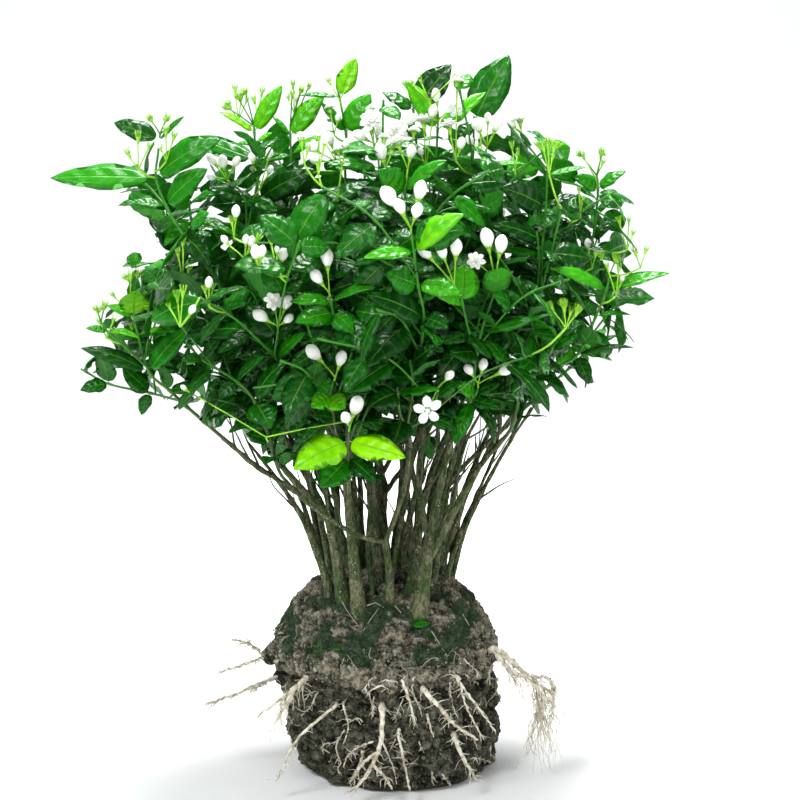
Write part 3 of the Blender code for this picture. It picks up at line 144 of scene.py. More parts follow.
# Leafy branches: the stem and tip that carry each, its shoots, and their chosen leaves.
# A shoot is (line, pairs, tuft): a pair is (point of the line, left leaf, right leaf), a leaf is
# (across, up, nearer, width, face, tone), and a tuft is a list of spent flower heads at the top.
# A leaf's tone is its brightness in the front view: partly its own green and partly painted light and shade.
BRANCHES = {
    "branch_left_high": (("stem_left", 0), [
        ([(-140, 400, -50), (-166, 470, -55), (-182, 495, -58), (-203, 523, -60), (-222, 554, -62),
          (-232, 582, -64), (-230, 606, -64), (-228, 626, -62)],
         [(4, None, (-178, 494, 20, 24, 60, 0.25)),
          (5, (-270, 556, 15, 20, 35, 0.55), (-182, 592, 25, 27, 60, 0.5)),
          (6, (-338, 582, 10, 32, 50, 0.6), (-167, 621, 20, 30, 60, 0.5)),
          (8, (-274, 638, 0, 22, 60, 0.3), (-204, 644, 4, 12, 40, 0.5))],
         [(-222, 640, -62), (-214, 636, -60), (-237, 640, -64)]),
        ([(-174, 482, -56), (-190, 515, -40), (-197, 542, -36), (-199, 556, -35), (-202, 572, -35)],
         [(2, (-224, 514, 15, 17, 55, 0.6), (-148, 524, 10, 15, 40, 0.6)),
          (3, (-216, 562, 5, 9, 40, 0.6), (-163, 568, 15, 15, 40, 0.55))], []),
    ]),
    "branch_top_left": (("stem_middle", 2), [
        ([(-95, 440, 0), (-126, 510, -10), (-130, 560, -20), (-132, 600, -25), (-133, 616, -27), (-134, 634, -28)],
         [(3, (-176, 555, 20, 26, 60, 0.2), (-74, 591, 30, 31, 65, 0.15)),
          (4, (-199, 624, -30, 24, 55, 0.35), (-108, 606, -10, 12, 40, 0.5)),
          (5, (-151, 617, 5, 8, 40, 0.75), (-115, 628, 5, 9, 40, 0.8)),
          (6, (-168, 649, 10, 14, 40, 0.85), (-106, 675, 10, 19, 65, 0.85))],
         [(-150, 662, -30), (-142, 666, -27), (-160, 652, -28)]),
        ([(-92, 446, 2), (-92, 500, 20), (-96, 560, 30), (-97, 605, 34), (-98, 629, 35)],
         [(3, (-126, 600, 5, 12, 40, 0.6), (-53, 630, 10, 15, 40, 0.75)),
          (4, (-116, 645, 5, 11, 40, 0.65), (-64, 665, 10, 23, 65, 0.85))],
         [(-88, 668, 30), (-80, 672, 33), (-96, 664, 34)]),
    ]),
    "branch_top": (("stem_middle", 0), [
        ([(-30, 430, 10), (-40, 520, 10), (-43, 600, 10), (-42, 627, 10), (-50, 669, 12)],
         [(4, (-68, 659, 0, 14, 45, 0.5), (-18, 667, 10, 27, 70, 0.7)),
          (5, (-88, 665, 5, 11, 35, 0.45), (-32, 702, 5, 21, 70, 0.85))], []),
        ([(-31, 436, 9), (-15, 500, -20), (-6, 560, -40), (-9, 592, -45), (-10, 610, -45)],
         [(3, (-61, 597, 25, 21, 45, 0.45), (12, 600, 15, 15, 40, 0.5))], []),
        ([(-41, 540, 10), (-46, 575, -4), (-50, 592, -12)], [], []),
    ]),
    "branch_middle_high": (("stem_behind_right", 1), [
        ([(20, 420, -40), (22, 500, -80), (17, 558, -103), (17, 572, -106)],
         [(3, (-27, 574, 25, 13, 35, 0.25), (50, 577, 25, 13, 35, 0.5)),
          (4, (-10, 590, 15, 27, 70, 0.6), (58, 601, 15, 19, 50, 0.6))], []),
    ]),
    "branch_top_right": (("stem_middle", 1), [
        ([(35, 450, 30), (44, 540, 10), (48, 600, 0), (50, 636, -5)],
         [(3, (30, 618, 10, 9, 35, 0.7), (68, 612, 10, 10, 35, 0.5)),
          (4, (18, 680, 10, 21, 65, 0.85), (98, 669, 15, 19, 60, 0.8))], []),
        ([(36, 456, 29), (70, 500, 0), (90, 540, -20), (92, 563, -26), (96, 593, -30), (98, 609, -30)],
         [(3, (62, 572, 15, 18, 40, 0.3), (109, 561, 15, 15, 60, 0.65)),
          (4, (67, 604, 15, 11, 35, 0.65), (139, 597, 15, 11, 35, 0.65))], []),
    ]),
    "branch_back_top": (("stem_back_right", 1), [
        ([(70, 450, 90), (82, 540, 60), (85, 600, 45), (86, 644, 40)],
         [(4, (69, 620, 0, 19, 50, 0.2), (121, 706, 0, 40, 78, 0.45))], []),
        ([(68, 440, 94), (42, 540, 104), (28, 620, 96), (25, 655, 90)],
         [(3, (-6, 668, 0, 20, 45, 0.3), (63, 697, 0, 34, 72, 0.12))], []),
    ]),
    "branch_right_tall": (("stem_front_right", 3), [
        ([(127, 390, -30), (150, 450, -35), (153, 483, -35), (155, 518, -38), (158, 552, -40), (159, 584, -42),
          (159, 598, -42)],
         [(3, (126, 488, 5, 13, 40, 0.15), (170, 494, 5, 15, 45, 0.1)),
          (4, (100, 536, 15, 23, 50, 0.1), (195, 538, 10, 20, 50, 0.1)),
          (5, (113, 572, 25, 32, 70, 0.1), (191, 566, 10, 15, 40, 0.15)),
          (6, (129, 613, 5, 15, 45, 0.45), (198, 593, 10, 13, 35, 0.55))],
         [(151, 613, -44), (160, 617, -42), (169, 612, -42)]),
    ]),
    "branch_right_high": (("stem_behind_right", 0), [
        ([(120, 410, 20), (165, 450, 15), (190, 490, 10), (204, 520, 5), (208, 545, 3), (210, 571, 0), (209, 584, 0)],
         [(4, (182, 535, 5, 17, 50, 0.2), (229, 541, 5, 15, 50, 0.15)),
          (5, (184, 552, 5, 11, 40, 0.35), (225, 562, 5, 11, 40, 0.45)),
          (6, (185, 584, 10, 18, 60, 0.6), (238, 589, 10, 16, 50, 0.6))],
         [(193, 605, -2), (214, 607, 0)]),
    ]),
    "branch_right": (("stem_front_right", 2), [
        ([(134, 376, -55), (145, 384, -60), (188, 404, -70), (208, 444, -75), (219, 471, -80), (221, 484, -80)],
         [(2, (110, 403, 15, 15, 40, 0.4), (177, 371, 15, 12, 35, 0.3)),
          (3, (201, 376, 15, 16, 60, 0.1), (246, 414, 10, 10, 30, 0.15)),
          (4, (196, 460, 5, 15, 50, 0.3), (243, 446, 10, 9, 35, 0.5)),
          (5, (163, 493, 20, 17, 50, 0.7), (282, 487, 10, 16, 45, 0.65))],
         [(213, 502, -84), (228, 500, -80)]),
        ([(150, 389, -62), (164, 412, -85), (175, 428, -95)],
         [(1, (148, 442, 15, 25, 65, 0.65), (191, 425, 10, 19, 55, 0.4)),
          (2, (141, 428, 5, 14, 50, 0.3), (196, 440, 0, 14, 40, 0.4))],
         [(163, 452, -98), (175, 455, -98), (189, 450, -98)]),
    ]),
    "branch_front_right": (("stem_front_right", 0), [
        ([(82, 360, -90), (88, 400, -105), (93, 427, -115), (108, 472, -125)],
         [(1, (66, 316, 15, 17, 60, 0.5), (112, 352, 10, 16, 50, 0.3)),
          (3, (60, 440, 15, 20, 45, 0.3), (165, 447, 20, 15, 40, 0.5)),
          (4, None, (114, 495, 15, 28, 80, 0.65))], []),
        ([(88, 404, -107), (80, 432, -125), (73, 464, -138)],
         [(2, (50, 462, 14, 15, 50, 0.75), (77, 498, 8, 30, 75, 0.7))], []),
        ([(80, 354, -84), (86, 362, -92), (90, 372, -98)],
         [(2, (68, 374, 10, 17, 60, 0.6), (112, 376, 5, 16, 50, 0.3))], []),
    ]),
    "branch_front": (("stem_front_right", 1), [
        ([(32, 400, -100), (36, 442, -140), (30, 475, -160), (26, 508, -170), (23, 526, -172)],
         [(2, (-20, 466, 25, 31, 60, 0.15), (60, 432, 15, 21, 55, 0.2)),
          (3, (-2, 487, 15, 25, 70, 0.5), (73, 467, 15, 19, 55, 0.7)),
          (4, (-25, 503, 20, 17, 45, 0.8), (75, 547, 20, 23, 55, 0.85))], []),
    ]),
    "branch_front_left": (("stem_front_left", 0), [
        ([(-45, 400, -80), (-50, 430, -120), (-55, 447, -140), (-58, 463, -150)],
         [(3, (-93, 438, 20, 21, 60, 0.65), (-34, 427, 10, 21, 65, 0.5)),
          (4, (-98, 459, 15, 16, 45, 0.7), (-12, 473, 15, 14, 40, 0.6))], []),
        ([(-52, 380, -66), (-90, 390, -84), (-112, 402, -110), (-110, 428, -125)],
         [(2, (-150, 405, 10, 21, 50, 0.2), (-82, 428, 15, 17, 55, 0.55))], []),
    ]),
    "branch_front_low": (("stem_thin", 0), [
        ([(12, 345, -110), (9, 373, -125)],
         [(2, (-19, 353, 20, 25, 65, 0.15), (52, 372, 20, 15, 40, 0.5))], []),
        ([(16, 332, -94), (25, 370, -110), (22, 400, -130)],
         [(2, (-11, 426, 15, 16, 50, 0.15), (48, 416, 10, 22, 55, 0.15))], []),
        ([(17, 330, -92), (40, 344, -112), (50, 368, -122)],
         [(1, (70, 330, 5, 16, 50, 0.3), None),
          (2, (30, 360, 8, 14, 45, 0.4), (74, 380, 0, 14, 45, 0.4))], []),
    ]),
    "branch_heart": (("stem_front_left", 2), [
        ([(-54, 342, -125), (-58, 365, -140), (-54, 379, -142)],
         [(1, (-76, 345, 10, 16, 60, 0.3), (-36, 340, 5, 15, 50, 0.2)),
          (2, (-77, 353, 14, 18, 75, 0.8), (-43, 351, 14, 18, 75, 0.8))], []),
    ]),
    "branch_bright_pair": (("stem_front_left", 1), [
        ([(-40, 290, -122), (-40, 302, -134), (-40, 319, -145), (-39, 328, -146)],
         [(2, (-68, 272, 22, 28, 75, 0.45), (-12, 278, 15, 20, 45, 0.2)),
          (3, (-94, 291, 30, 31, 65, 1.0), (17, 304, 30, 25, 60, 1.0))], []),
    ]),
    "branch_low_left": (("stem_thin", 1), [
        ([(-118, 320, -104), (-133, 358, -112), (-152, 379, -116), (-185, 400, -115), (-200, 416, -110)],
         [(1, (-142, 326, 8, 16, 60, 0.25), (-98, 345, 8, 16, 60, 0.25)),
          (2, (-100, 401, 15, 23, 55, 0.3), (-117, 331, 15, 30, 75, 0.3)),
          (3, (-123, 406, 10, 13, 40, 0.4), (-170, 362, 10, 18, 60, 0.2)),
          (4, (-207, 400, 10, 14, 40, 0.4), (-167, 424, 10, 18, 50, 0.3))], []),
    ]),
    "branch_far_left": (("stem_left", 1), [
        ([(-202, 354, -20), (-219, 370, -25), (-239, 388, -30), (-250, 425, -30), (-254, 444, -30), (-255, 464, -30)],
         [(2, (-227, 396, 8, 18, 60, 0.2), (-190, 372, 10, 16, 50, 0.3)),
          (3, (-307, 413, 15, 19, 50, 0.2), (-195, 435, 15, 28, 60, 0.4)),
          (4, (-272, 422, 5, 12, 45, 0.6), (-217, 428, 10, 10, 35, 0.85)),
          (5, (-281, 455, 5, 13, 45, 0.75), (-252, 470, 14, 28, 75, 0.95))],
         [(-260, 482, -31), (-250, 484, -30)]),
        ([(-205, 357, -21), (-238, 367, -10), (-279, 376, -5), (-307, 391, 0)],
         [(1, (-265, 392, 10, 21, 65, 0.35), (-247, 345, 5, 15, 50, 0.3)),
          (2, (-308, 370, 10, 18, 50, 0.3), (-288, 406, 10, 27, 65, 0.1))], []),
        ([(-241, 392, -31), (-262, 412, -45), (-280, 428, -50), (-287, 438, -50)],
         [(2, (-302, 432, 5, 10, 40, 0.7), (-248, 422, 10, 11, 35, 0.85))],
         [(-291, 449, -52), (-284, 452, -50)]),
    ]),
    "branch_left_inner": (("stem_back_left", 0), [
        ([(-130, 430, 20), (-140, 500, -20), (-143, 560, -40), (-158, 577, -50)],
         [(3, (-180, 572, 15, 20, 50, 0.3), (-110, 548, 15, 20, 50, 0.3))], []),
    ]),
    "branch_back_right": (("stem_back_right", 0), [
        ([(105, 385, 105), (140, 440, 130), (170, 490, 140), (180, 525, 140)], [], [])]),
    "branch_back_left": (("stem_back_left", 1), [
        ([(-140, 370, 118), (-170, 420, 140), (-200, 475, 140), (-205, 520, 130)], [], [])]),
    "branch_back": (("stem_back", 0), [
        ([(-12, 380, 125), (-18, 450, 160), (-22, 540, 165), (-24, 610, 140)], [], [])]),
    "branch_back_low_left": (("stem_back", 1), [
        ([(-68, 365, 160), (-88, 410, 190), (-105, 460, 195)], [], [])]),
    "branch_back_low_right": (("stem_back", 2), [
        ([(50, 360, 170), (68, 410, 195), (92, 465, 195)], [], [])]),
    "branch_right_low": (("stem_back_right", 2), [
        ([(150, 365, 118), (190, 400, 115), (222, 440, 100)], [], [])]),
}

# Flower sprays: the branch and shoot that carry each, its fork, and its heads
# A head is (across, up, nearer, size, kind).
SPRAYS = {
    "spray_front": (("branch_front", 0), (23, 531, -172), [
        (1, 563, 12, 17, "bud"), (12, 553, 14, 13, "bud"), (32, 569, 8, 15, "bud"), (29, 549, 12, 13, "bud")]),
    "spray_front_left": (("branch_front_left", 0), (-57, 467, -151), [
        (-71, 483, 6, 13, "bud"), (-61, 502, 6, 15, "bud")]),
    "spray_left_of_front": (("branch_front_left", 1), (-110, 433, -126), [
        (-114, 458, 8, 18, "bloom"), (-127, 444, 10, 14, "bud"), (-100, 441, 8, 10, "bud"), (-101, 457, 6, 12, "bud")]),
    "spray_heart": (("branch_heart", 0), (-54, 383, -142), [
        (-74, 407, 8, 15, "bud"), (-47, 401, 8, 13, "bud")]),
    "spray_bright_pair": (("branch_bright_pair", 0), (-39, 331, -147), [
        (-32, 354, 8, 16, "bud"), (-42, 342, 12, 12, "bud")]),
    "spray_open_flower": (("branch_front_low", 2), (50, 372, -123), [
        (40, 350, 22, 28, "bloom"), (61, 384, 8, 10, "bud")]),
    "spray_middle": (("branch_front_right", 1), (66, 475, -140), [
        (37, 508, 10, 14, "bud"), (54, 508, 12, 12, "bud"), (68, 512, 8, 14, "bud")]),
    "spray_right_of_middle": (("branch_front_right", 0), (107, 480, -128), [
        (99, 521, 6, 16, "bud"), (113, 515, 8, 15, "bud"), (88, 499, 12, 17, "bloom")]),
    "spray_low_right": (("branch_front_right", 2), (90, 376, -99), [
        (117, 390, 8, 13, "bud"), (95, 395, 8, 11, "bud"), (81, 390, 10, 11, "bud")]),
    "spray_top": (("branch_top", 1), (-10, 614, -45), [
        (-16, 640, 10, 24, "bloom"), (8, 628, 12, 24, "bloom"), (-28, 624, 8, 13, "bud"), (20, 640, 4, 13, "bud")]),
    "spray_top_right": (("branch_top_right", 0), (51, 641, -6), [
        (66, 652, 14, 20, "bloom"), (48, 664, 6, 12, "bud")]),
    "spray_top_left": (("branch_top", 2), (-51, 597, -14), [
        (-68, 626, 8, 13, "bud"), (-58, 621, 14, 12, "bud"), (-76, 612, 8, 12, "bud"), (-72, 600, 10, 11, "bud")]),
    "spray_right": (("branch_top_right", 1), (99, 613, -31), [
        (89, 634, 6, 12, "bud"), (109, 635, 6, 13, "bud"), (100, 642, 2, 9, "bud")]),
    "spray_left": (("branch_left_inner", 0), (-161, 580, -52), [
        (-176, 600, 8, 11, "bud"), (-165, 598, 12, 12, "bud"), (-152, 598, 8, 10, "bud"), (-176, 583, 12, 9, "bud")]),
}

# Roots: radius where it leaves the soil, radius at the end, and the height and turn of the exit, taken from
# the first point, then the line outside and the side roots.
ROOTS = {
    "root_left_high": (1.9, 0.8, [(-117, 104, -14), (-140, 97, -22), (-171, 86, -28)],
                       [[(-124, 103, -17), (-138, 116, -14), (-158, 122, -12)]]),
    "root_left": (2.0, 0.8, [(-112, 84, -22), (-128, 76, -34), (-150, 67, -42), (-183, 56, -46)], []),
    "root_left_front": (2.6, 0.9, [(-76, 84, -86), (-84, 80, -100), (-101, 66, -96), (-129, 45, -92)],
                        [[(-93, 73, -99), (-106, 50, -98), (-112, 38, -96)]]),
    "root_long": (1.7, 0.8, [(-50, 57, -98), (-58, 50, -110), (-92, 19, -112), (-112, -22, -112)], []),
    "root_middle": (2.9, 1.1, [(-6, 56, -104), (-6, 50, -117), (-8, 14, -121), (-25, -20, -124), (-44, -34, -126)],
                    [[(-11, 6, -122), (-26, -4, -123), (-38, -24, -124)],
                     [(-14, -4, -122), (-2, -18, -124), (4, -30, -124)]]),
    "root_middle_thin": (1.6, 0.8, [(10, 33, -104), (10, 28, -114), (15, 2, -117), (22, -32, -120)], []),
    "root_over_rim": (1.5, 0.8, [(13, 82, -106), (14, 80, -122), (22, 58, -124), (27, 34, -123)], []),
    "root_right_front": (2.4, 1.2, [(34, 72, -102), (36, 70, -118), (52, 52, -118), (67, 35, -112), (90, 20, -104)], []),
    "root_right_thin": (1.5, 0.8, [(64, 84, -88), (67, 84, -108), (86, 58, -98), (108, 28, -84)],
                        [[(72, 77, -105), (80, 50, -104), (96, 20, -94)]]),
    "root_right_low": (2.6, 1.1, [(62, 28, -92), (66, 24, -105), (75, 2, -104), (90, -22, -102)], []),
    "root_right_bundle": (3.4, 1.0, [(97, 112, -52), (112, 108, -62), (128, 95, -66), (150, 76, -64), (162, 68, -62)],
                          [[(106, 110, -59), (124, 88, -68), (142, 82, -70), (158, 58, -68)],
                           [(146, 79, -65), (152, 60, -62), (152, 38, -60)],
                           [(140, 85, -66), (162, 80, -56), (167, 52, -54)]]),
    "root_back": (2.6, 0.9, [(40, 92, 98), (44, 90, 112), (56, 66, 118), (66, 46, 124)],
                  [[(49, 78, 114), (36, 60, 118), (28, 48, 122)]]),
}

# A petal's rim in the solids: share of the petal's turn, and reach as a share of the flower's radius
PETAL_RIM = ((-0.22, 0.98), (0.22, 0.98), (0.5, 0.45))

# A leaf's full width is reached at its stations; listed leaves try these changes until they stand clear:
# nearer by (mm), turned to the front by (degrees), length factor
LEAF_CHANGES = ((0, 0, 1), (6, 0, 1), (-7, 0, 1), (0, 15, 1), (0, -15, 1), (12, 10, 0.96), (-14, 0, 0.96),
                (18, 0, 0.92), (-20, 10, 0.92), (26, 0, 0.88), (-28, 0, 0.85), (10, -25, 0.85), (0, 0, 0.8))
SPRAY_SHIFTS = (0, 5, -5, 10, 16, -10, 22, 28)

# Rule-made leaves down a shoot, and rule-made side shoots, in millimetres
AUTO_LENGTHS = (36, 46, 52, 52, 48)
AUTO_SPACING = (24, 30, 34, 34, 34)
AUTO_TRIES = 12
BARE_SHARE = 0.22
SIDE_BARE_SHARE = 0.15
SIDE_TRIES = 40
SIDE_REACH = (70, 150)
SIDE_LOW = 330.0
SIDE_ROOM = 34.0
SOLID_PAIRS_FRONT = 1
SOLID_PAIRS_BACK = 2
SIDE_SHOOTS_FRONT = 0
SIDE_SHOOTS_BACK = 2
BACK_BRANCHES = ("branch_back_right", "branch_back_left", "branch_back", "branch_back_low_left",
                 "branch_back_low_right", "branch_right_low", "branch_back_top", "branch_left_inner")


# Lines and plain solids, all in millimetres; a solid is (points, faces)

def curve_point(before, here, there, after, part):
    """A point of the smooth curve from here to there."""
    square = part * part
    cube = square * part
    return 0.5 * (2 * here + (there - before) * part + (2 * before - 5 * here + 4 * there - after) * square
                  + (3 * here - before - 3 * there + after) * cube)


def smooth_line(points, start=None):
    """Close points of a smooth curve through the given ones, and where each given one falls."""
    first = points[0] * 2 - points[1]
    if start:
        first = points[1] - start * (2 * (points[1] - points[0]).length)
    ends = [first, *points, points[-1] * 2 - points[-2]]
    line = []
    knots = []
    for before, here, there, after in zip(ends, ends[1:], ends[2:], ends[3:]):
        knots.append(len(line))
        count = max(1, round((there - here).length / LINE_STEP))
        line += [curve_point(before, here, there, after, k / count) for k in range(count)]
    knots.append(len(line))
    line.append(points[-1].copy())
    return line, knots


def heading(line, i):
    """The line's direction at one of its points."""
    return (line[min(i + 1, len(line) - 1)] - line[max(i - 1, 0)]).normalized()


def spread(first, last, count):
    """Evenly stepped radii from the first to the last."""
    return [first + (last - first) * k / (count - 1) for k in range(count)]


def tube(line, radii, sides, start=None):
    """A closed tube of flat facets along a line."""
    points = []
    faces = [tuple(range(sides))[::-1]]
    side = None
    for i, (centre, radius) in enumerate(zip(line, radii)):
        ahead = start if start and i == 0 else heading(line, i)
        side = ahead.orthogonal().normalized() if side is None else (side - ahead * side.dot(ahead)).normalized()
        other = ahead.cross(side)
        for k in range(sides):
            turn = 2 * math.pi * k / sides
            points.append(centre + (side * math.cos(turn) + other * math.sin(turn)) * radius)
    for i in range(len(line) - 1):
        for k in range(sides):
            a = i * sides + k
            b = i * sides + (k + 1) % sides
            faces.append((a, b, b + sides, a + sides))
    faces.append(tuple(range(len(points) - sides, len(points))))
    return points, faces


def thinned(line, knots, spacing):
    """The points of a line that its facets need: the knots, and more where they lie far apart."""
    kept = [0]
    for i in sorted(set(knots) | {len(line) - 1}):
        parts = math.ceil((i - kept[-1]) * LINE_STEP / spacing)
        start = kept[-1]
        kept += [start + round((i - start) * k / parts) for k in range(1, parts + 1)]
    return kept


def facet_tube(line, knots, radii, sides, spacing, start=None):
    kept = thinned(line, knots, spacing)
    return tube([line[i] for i in kept], [radii[i] for i in kept], sides, start)


def turned(centre, axis, rings, sides, tip):
    """A solid of rings (distance, radius) along an axis, closed by a point at its far end."""
    axis = axis.normalized()
    side = axis.orthogonal().normalized()
    other = axis.cross(side)
    points = []
    for distance, radius in rings:
        for k in range(sides):
            turn = 2 * math.pi * k / sides
            points.append(centre + axis * distance + (side * math.cos(turn) + other * math.sin(turn)) * radius)
    points.append(centre + axis * tip)
    faces = [tuple(range(sides))[::-1]]
    for i in range(len(rings) - 1):
        for k in range(sides):
            a = i * sides + k
            b = i * sides + (k + 1) % sides
            faces.append((a, b, b + sides, a + sides))
    top = len(points) - 1
    faces += [(top - sides + k, top - sides + (k + 1) % sides, top) for k in range(sides)]
    return points, faces


# The soil ball

def ball_shift(height):
    return BALL_SHIFT_LOW + (BALL_SHIFT_TOP - BALL_SHIFT_LOW) * min(1, max(0, height) / RIM_HEIGHT)


def dome_power(turn):
    """How square the dome's shoulder is: a plain slope in front, a fuller shoulder behind."""
    return 4.0 - 2.0 * max(0.0, -math.sin(turn))


def lumps(turn, height):
    """The broken surface's ups and downs, in millimetres."""
    radius = BALL_SIDE[3][1]
    place = Vector((math.cos(turn) * radius, math.sin(turn) * radius, height)) / LUMP_SIZE
    return noise.noise(place) + 0.5 * noise.noise(place * 2.3 + UP * 7)


def side_radius(turn, height):
    """The ball's radius below its rim."""
    radius = BALL_SIDE[-1][1]
    for (low, inner), (high, outer) in zip(BALL_SIDE, BALL_SIDE[1:]):
        if low <= height <= high:
            radius = inner + (outer - inner) * (height - low) / (high - low)
            break
    return radius + SIDE_LUMP * lumps(turn, height) * (FIRM_FOOT if height <= 0 else 1.0)


def dome_height(x, y):
    """The soil's top surface."""
    x = x - BALL_SHIFT_TOP
    turn = math.atan2(y, x)
    part = min(1.0, math.hypot(x, y) / RIM_RADIUS)
    lump = noise.noise(Vector((x, y, 40)) / LUMP_SIZE)
    return RIM_HEIGHT + TOP_RISE * (1 - part ** dome_power(turn)) + TOP_LUMP * lump * (1 - part)


def ball_radius(turn, height):
    """The ball's radius at any height, the dome's included."""
    if height <= RIM_HEIGHT:
        return side_radius(turn, height)
    part = max(0.0, 1 - (height - RIM_HEIGHT) / TOP_RISE) ** (1 / dome_power(turn))
    return RIM_RADIUS * part + SIDE_LUMP * lumps(turn, RIM_HEIGHT)


def soil_solid():
    points = [Vector((BALL_SHIFT_LOW, 0, 0))]
    for height, _ in BALL_SIDE:
        for k in range(BALL_SEGMENTS):
            turn = 2 * math.pi * k / BALL_SEGMENTS
            radius = side_radius(turn, height)
            points.append(Vector((ball_shift(height) + radius * math.cos(turn), radius * math.sin(turn), height)))
    for part in TOP_RINGS:
        for k in range(BALL_SEGMENTS):
            turn = 2 * math.pi * k / BALL_SEGMENTS
            radius = part * (RIM_RADIUS + SIDE_LUMP * lumps(turn, RIM_HEIGHT))
            x = BALL_SHIFT_TOP + radius * math.cos(turn)
            y = radius * math.sin(turn)
            points.append(Vector((x, y, dome_height(x, y))))
    points.append(Vector((BALL_SHIFT_TOP, 0, dome_height(BALL_SHIFT_TOP, 0))))
    n = BALL_SEGMENTS
    top = len(points) - 1
    faces = [(0, 1 + (k + 1) % n, 1 + k) for k in range(n)]
    for ring in range(len(BALL_SIDE) + len(TOP_RINGS) - 1):
        for k in range(n):
            a = 1 + ring * n + k
            b = 1 + ring * n + (k + 1) % n
            faces += [(a, b, b + n), (a, b + n, a + n)]
    faces += [(top - n + k, top - n + (k + 1) % n, top) for k in range(n)]
    return points, faces


# Stems and roots

def grow_stem(spec):
    """A stem's tubes, its tips for the leafy branches, and its hole in the soil."""
    foot_radius, tip_radius, main, forks = spec
    points = [seen(*p) for p in main]
    points[0].z = dome_height(points[0].x, points[0].y)
    foot = (points[1] - points[0]).normalized()
    line, knots = smooth_line(points, foot)
    tip_at = len(line) - 1
    radii = [foot_radius + (tip_radius - foot_radius) * (k / tip_at) ** 0.75 for k in range(tip_at + 1)]
    buried = points[0] - foot * STEM_DEPTH
    solids = [facet_tube([buried, *line], [0] + [k + 1 for k in knots], [radii[0], *radii], STEM_SIDES, 60, foot)]
    lines = [(line, radii)]
    for fork in forks:
        start = seen(*fork[0])
        near = min(range(len(line)), key=lambda k: (line[k] - start).length)
        owner, owner_radii = line, radii
        for other, other_radii in lines[1:]:
            best = min(range(len(other)), key=lambda k: (other[k] - start).length)
            if (other[best] - start).length < (owner[near] - start).length:
                owner, owner_radii, near = other, other_radii, best
        branch, branch_knots = smooth_line([owner[near].copy()] + [seen(*p) for p in fork[1:]])
        branch_radii = spread(min(owner_radii[near] * 0.72, 4.2), tip_radius, len(branch))
        solids.append(facet_tube(branch, branch_knots, branch_radii, STEM_SIDES - 2, 60))
        lines.append((branch, branch_radii))
    tips = [(branch[-1], heading(branch, len(branch) - 1)) for branch, _ in lines]
    hole = tube([buried - foot * HOLE_SPARE, points[0] + foot * HOLE_OUTSIDE],
                [foot_radius + HOLE_GAP] * 2, STEM_SIDES, foot)
    return solids, tips, hole, lines


def grow_root(name, spec):
    """A root's tubes and its hole: it leaves the soil straight, then follows its chosen line."""
    first_radius, last_radius, main, forks = spec
    points = [seen(*p) for p in main]
    outward = (points[1] - points[0]).normalized()
    turn = math.atan2(points[0].y, points[0].x - ball_shift(points[0].z))
    surface = ball_radius(turn, points[0].z)
    foot = Vector((ball_shift(points[0].z) + surface * math.cos(turn), surface * math.sin(turn), points[0].z))
    leave = (outward + Vector((math.cos(turn), math.sin(turn), 0.0)) * 1.2).normalized()
    outside = foot + leave * (first_radius + 5)
    line, knots = smooth_line([foot, outside] + points[1:], leave)
    radii = spread(first_radius, last_radius, len(line))
    buried = foot - leave * ROOT_DEPTH
    solids = [facet_tube([buried, *line], [0] + [k + 1 for k in knots], [first_radius, *radii], ROOT_SIDES, 40, leave)]
    lines = [(line, radii)]
    for fork in forks:
        start = seen(*fork[0])
        near = min(range(len(line)), key=lambda k: (line[k] - start).length)
        branch, branch_knots = smooth_line([line[near].copy()] + [seen(*p) for p in fork[1:]])
        branch_radii = spread(radii[near] * 0.8, last_radius, len(branch))
        solids.append(facet_tube(branch, branch_knots, branch_radii, ROOT_SIDES - 1, 40))
        lines.append((branch, branch_radii))
    hole = tube([buried - leave * HOLE_SPARE, foot + leave * HOLE_OUTSIDE], [first_radius + HOLE_GAP] * 2,
                ROOT_SIDES, leave)
    return solids, hole, lines


# What already stands in the shrub

class Space:
    """Keeps each new piece clear of those that stand there."""

    def __init__(self):
        self.items = []

    def add(self, group, solid):
        self.items.append((group, *self.box(solid), BVHTree.FromPolygons(*solid)))

    def box(self, solid):
        points = solid[0]
        low = [min(p[k] for p in points) for k in range(3)]
        high = [max(p[k] for p in points) for k in range(3)]
        return low, high

    def free(self, solid, skip=None, only=None, owner=None):
        """Whether a solid crosses nothing but what is skipped: one group, or all groups of one owner."""
        low, high = self.box(solid)
        tree = None
        for group, other_low, other_high, other in self.items:
            if group == skip or (only and group != only) or (owner and group.split("/")[0] == owner):
                continue
            if any(low[k] > other_high[k] or high[k] < other_low[k] for k in range(3)):
                continue
            tree = tree or BVHTree.FromPolygons(*solid)
            if tree.overlap(other):
                return False
        return True


# Leaves

def leaf_outline(part):
    """Half the leaf's width at a part of its length, as a share of the widest."""
    part = max(0.0, (part - 0.08) / 0.92)
    return math.sin(math.pi * part ** 0.74) ** 0.78 if 0 < part < 1 else 0.0


def leaf_row(leaf, part, grow=0.0):
    """The left edge, rib and right edge of the leaf's middle surface at a part of its length."""
    along = leaf.tip - leaf.base
    side = along.normalized().cross(leaf.normal)
    rib = leaf.base + along * part + leaf.normal * (leaf.arch * 4 * part * (1 - part))
    half = leaf.width / 2 * leaf_outline(part) + grow
    fold = math.radians(leaf.fold)
    rise = leaf.normal * (half * math.sin(fold))
    run = side * (half * math.cos(fold))
    return rib - run + rise, rib, rib + run + rise


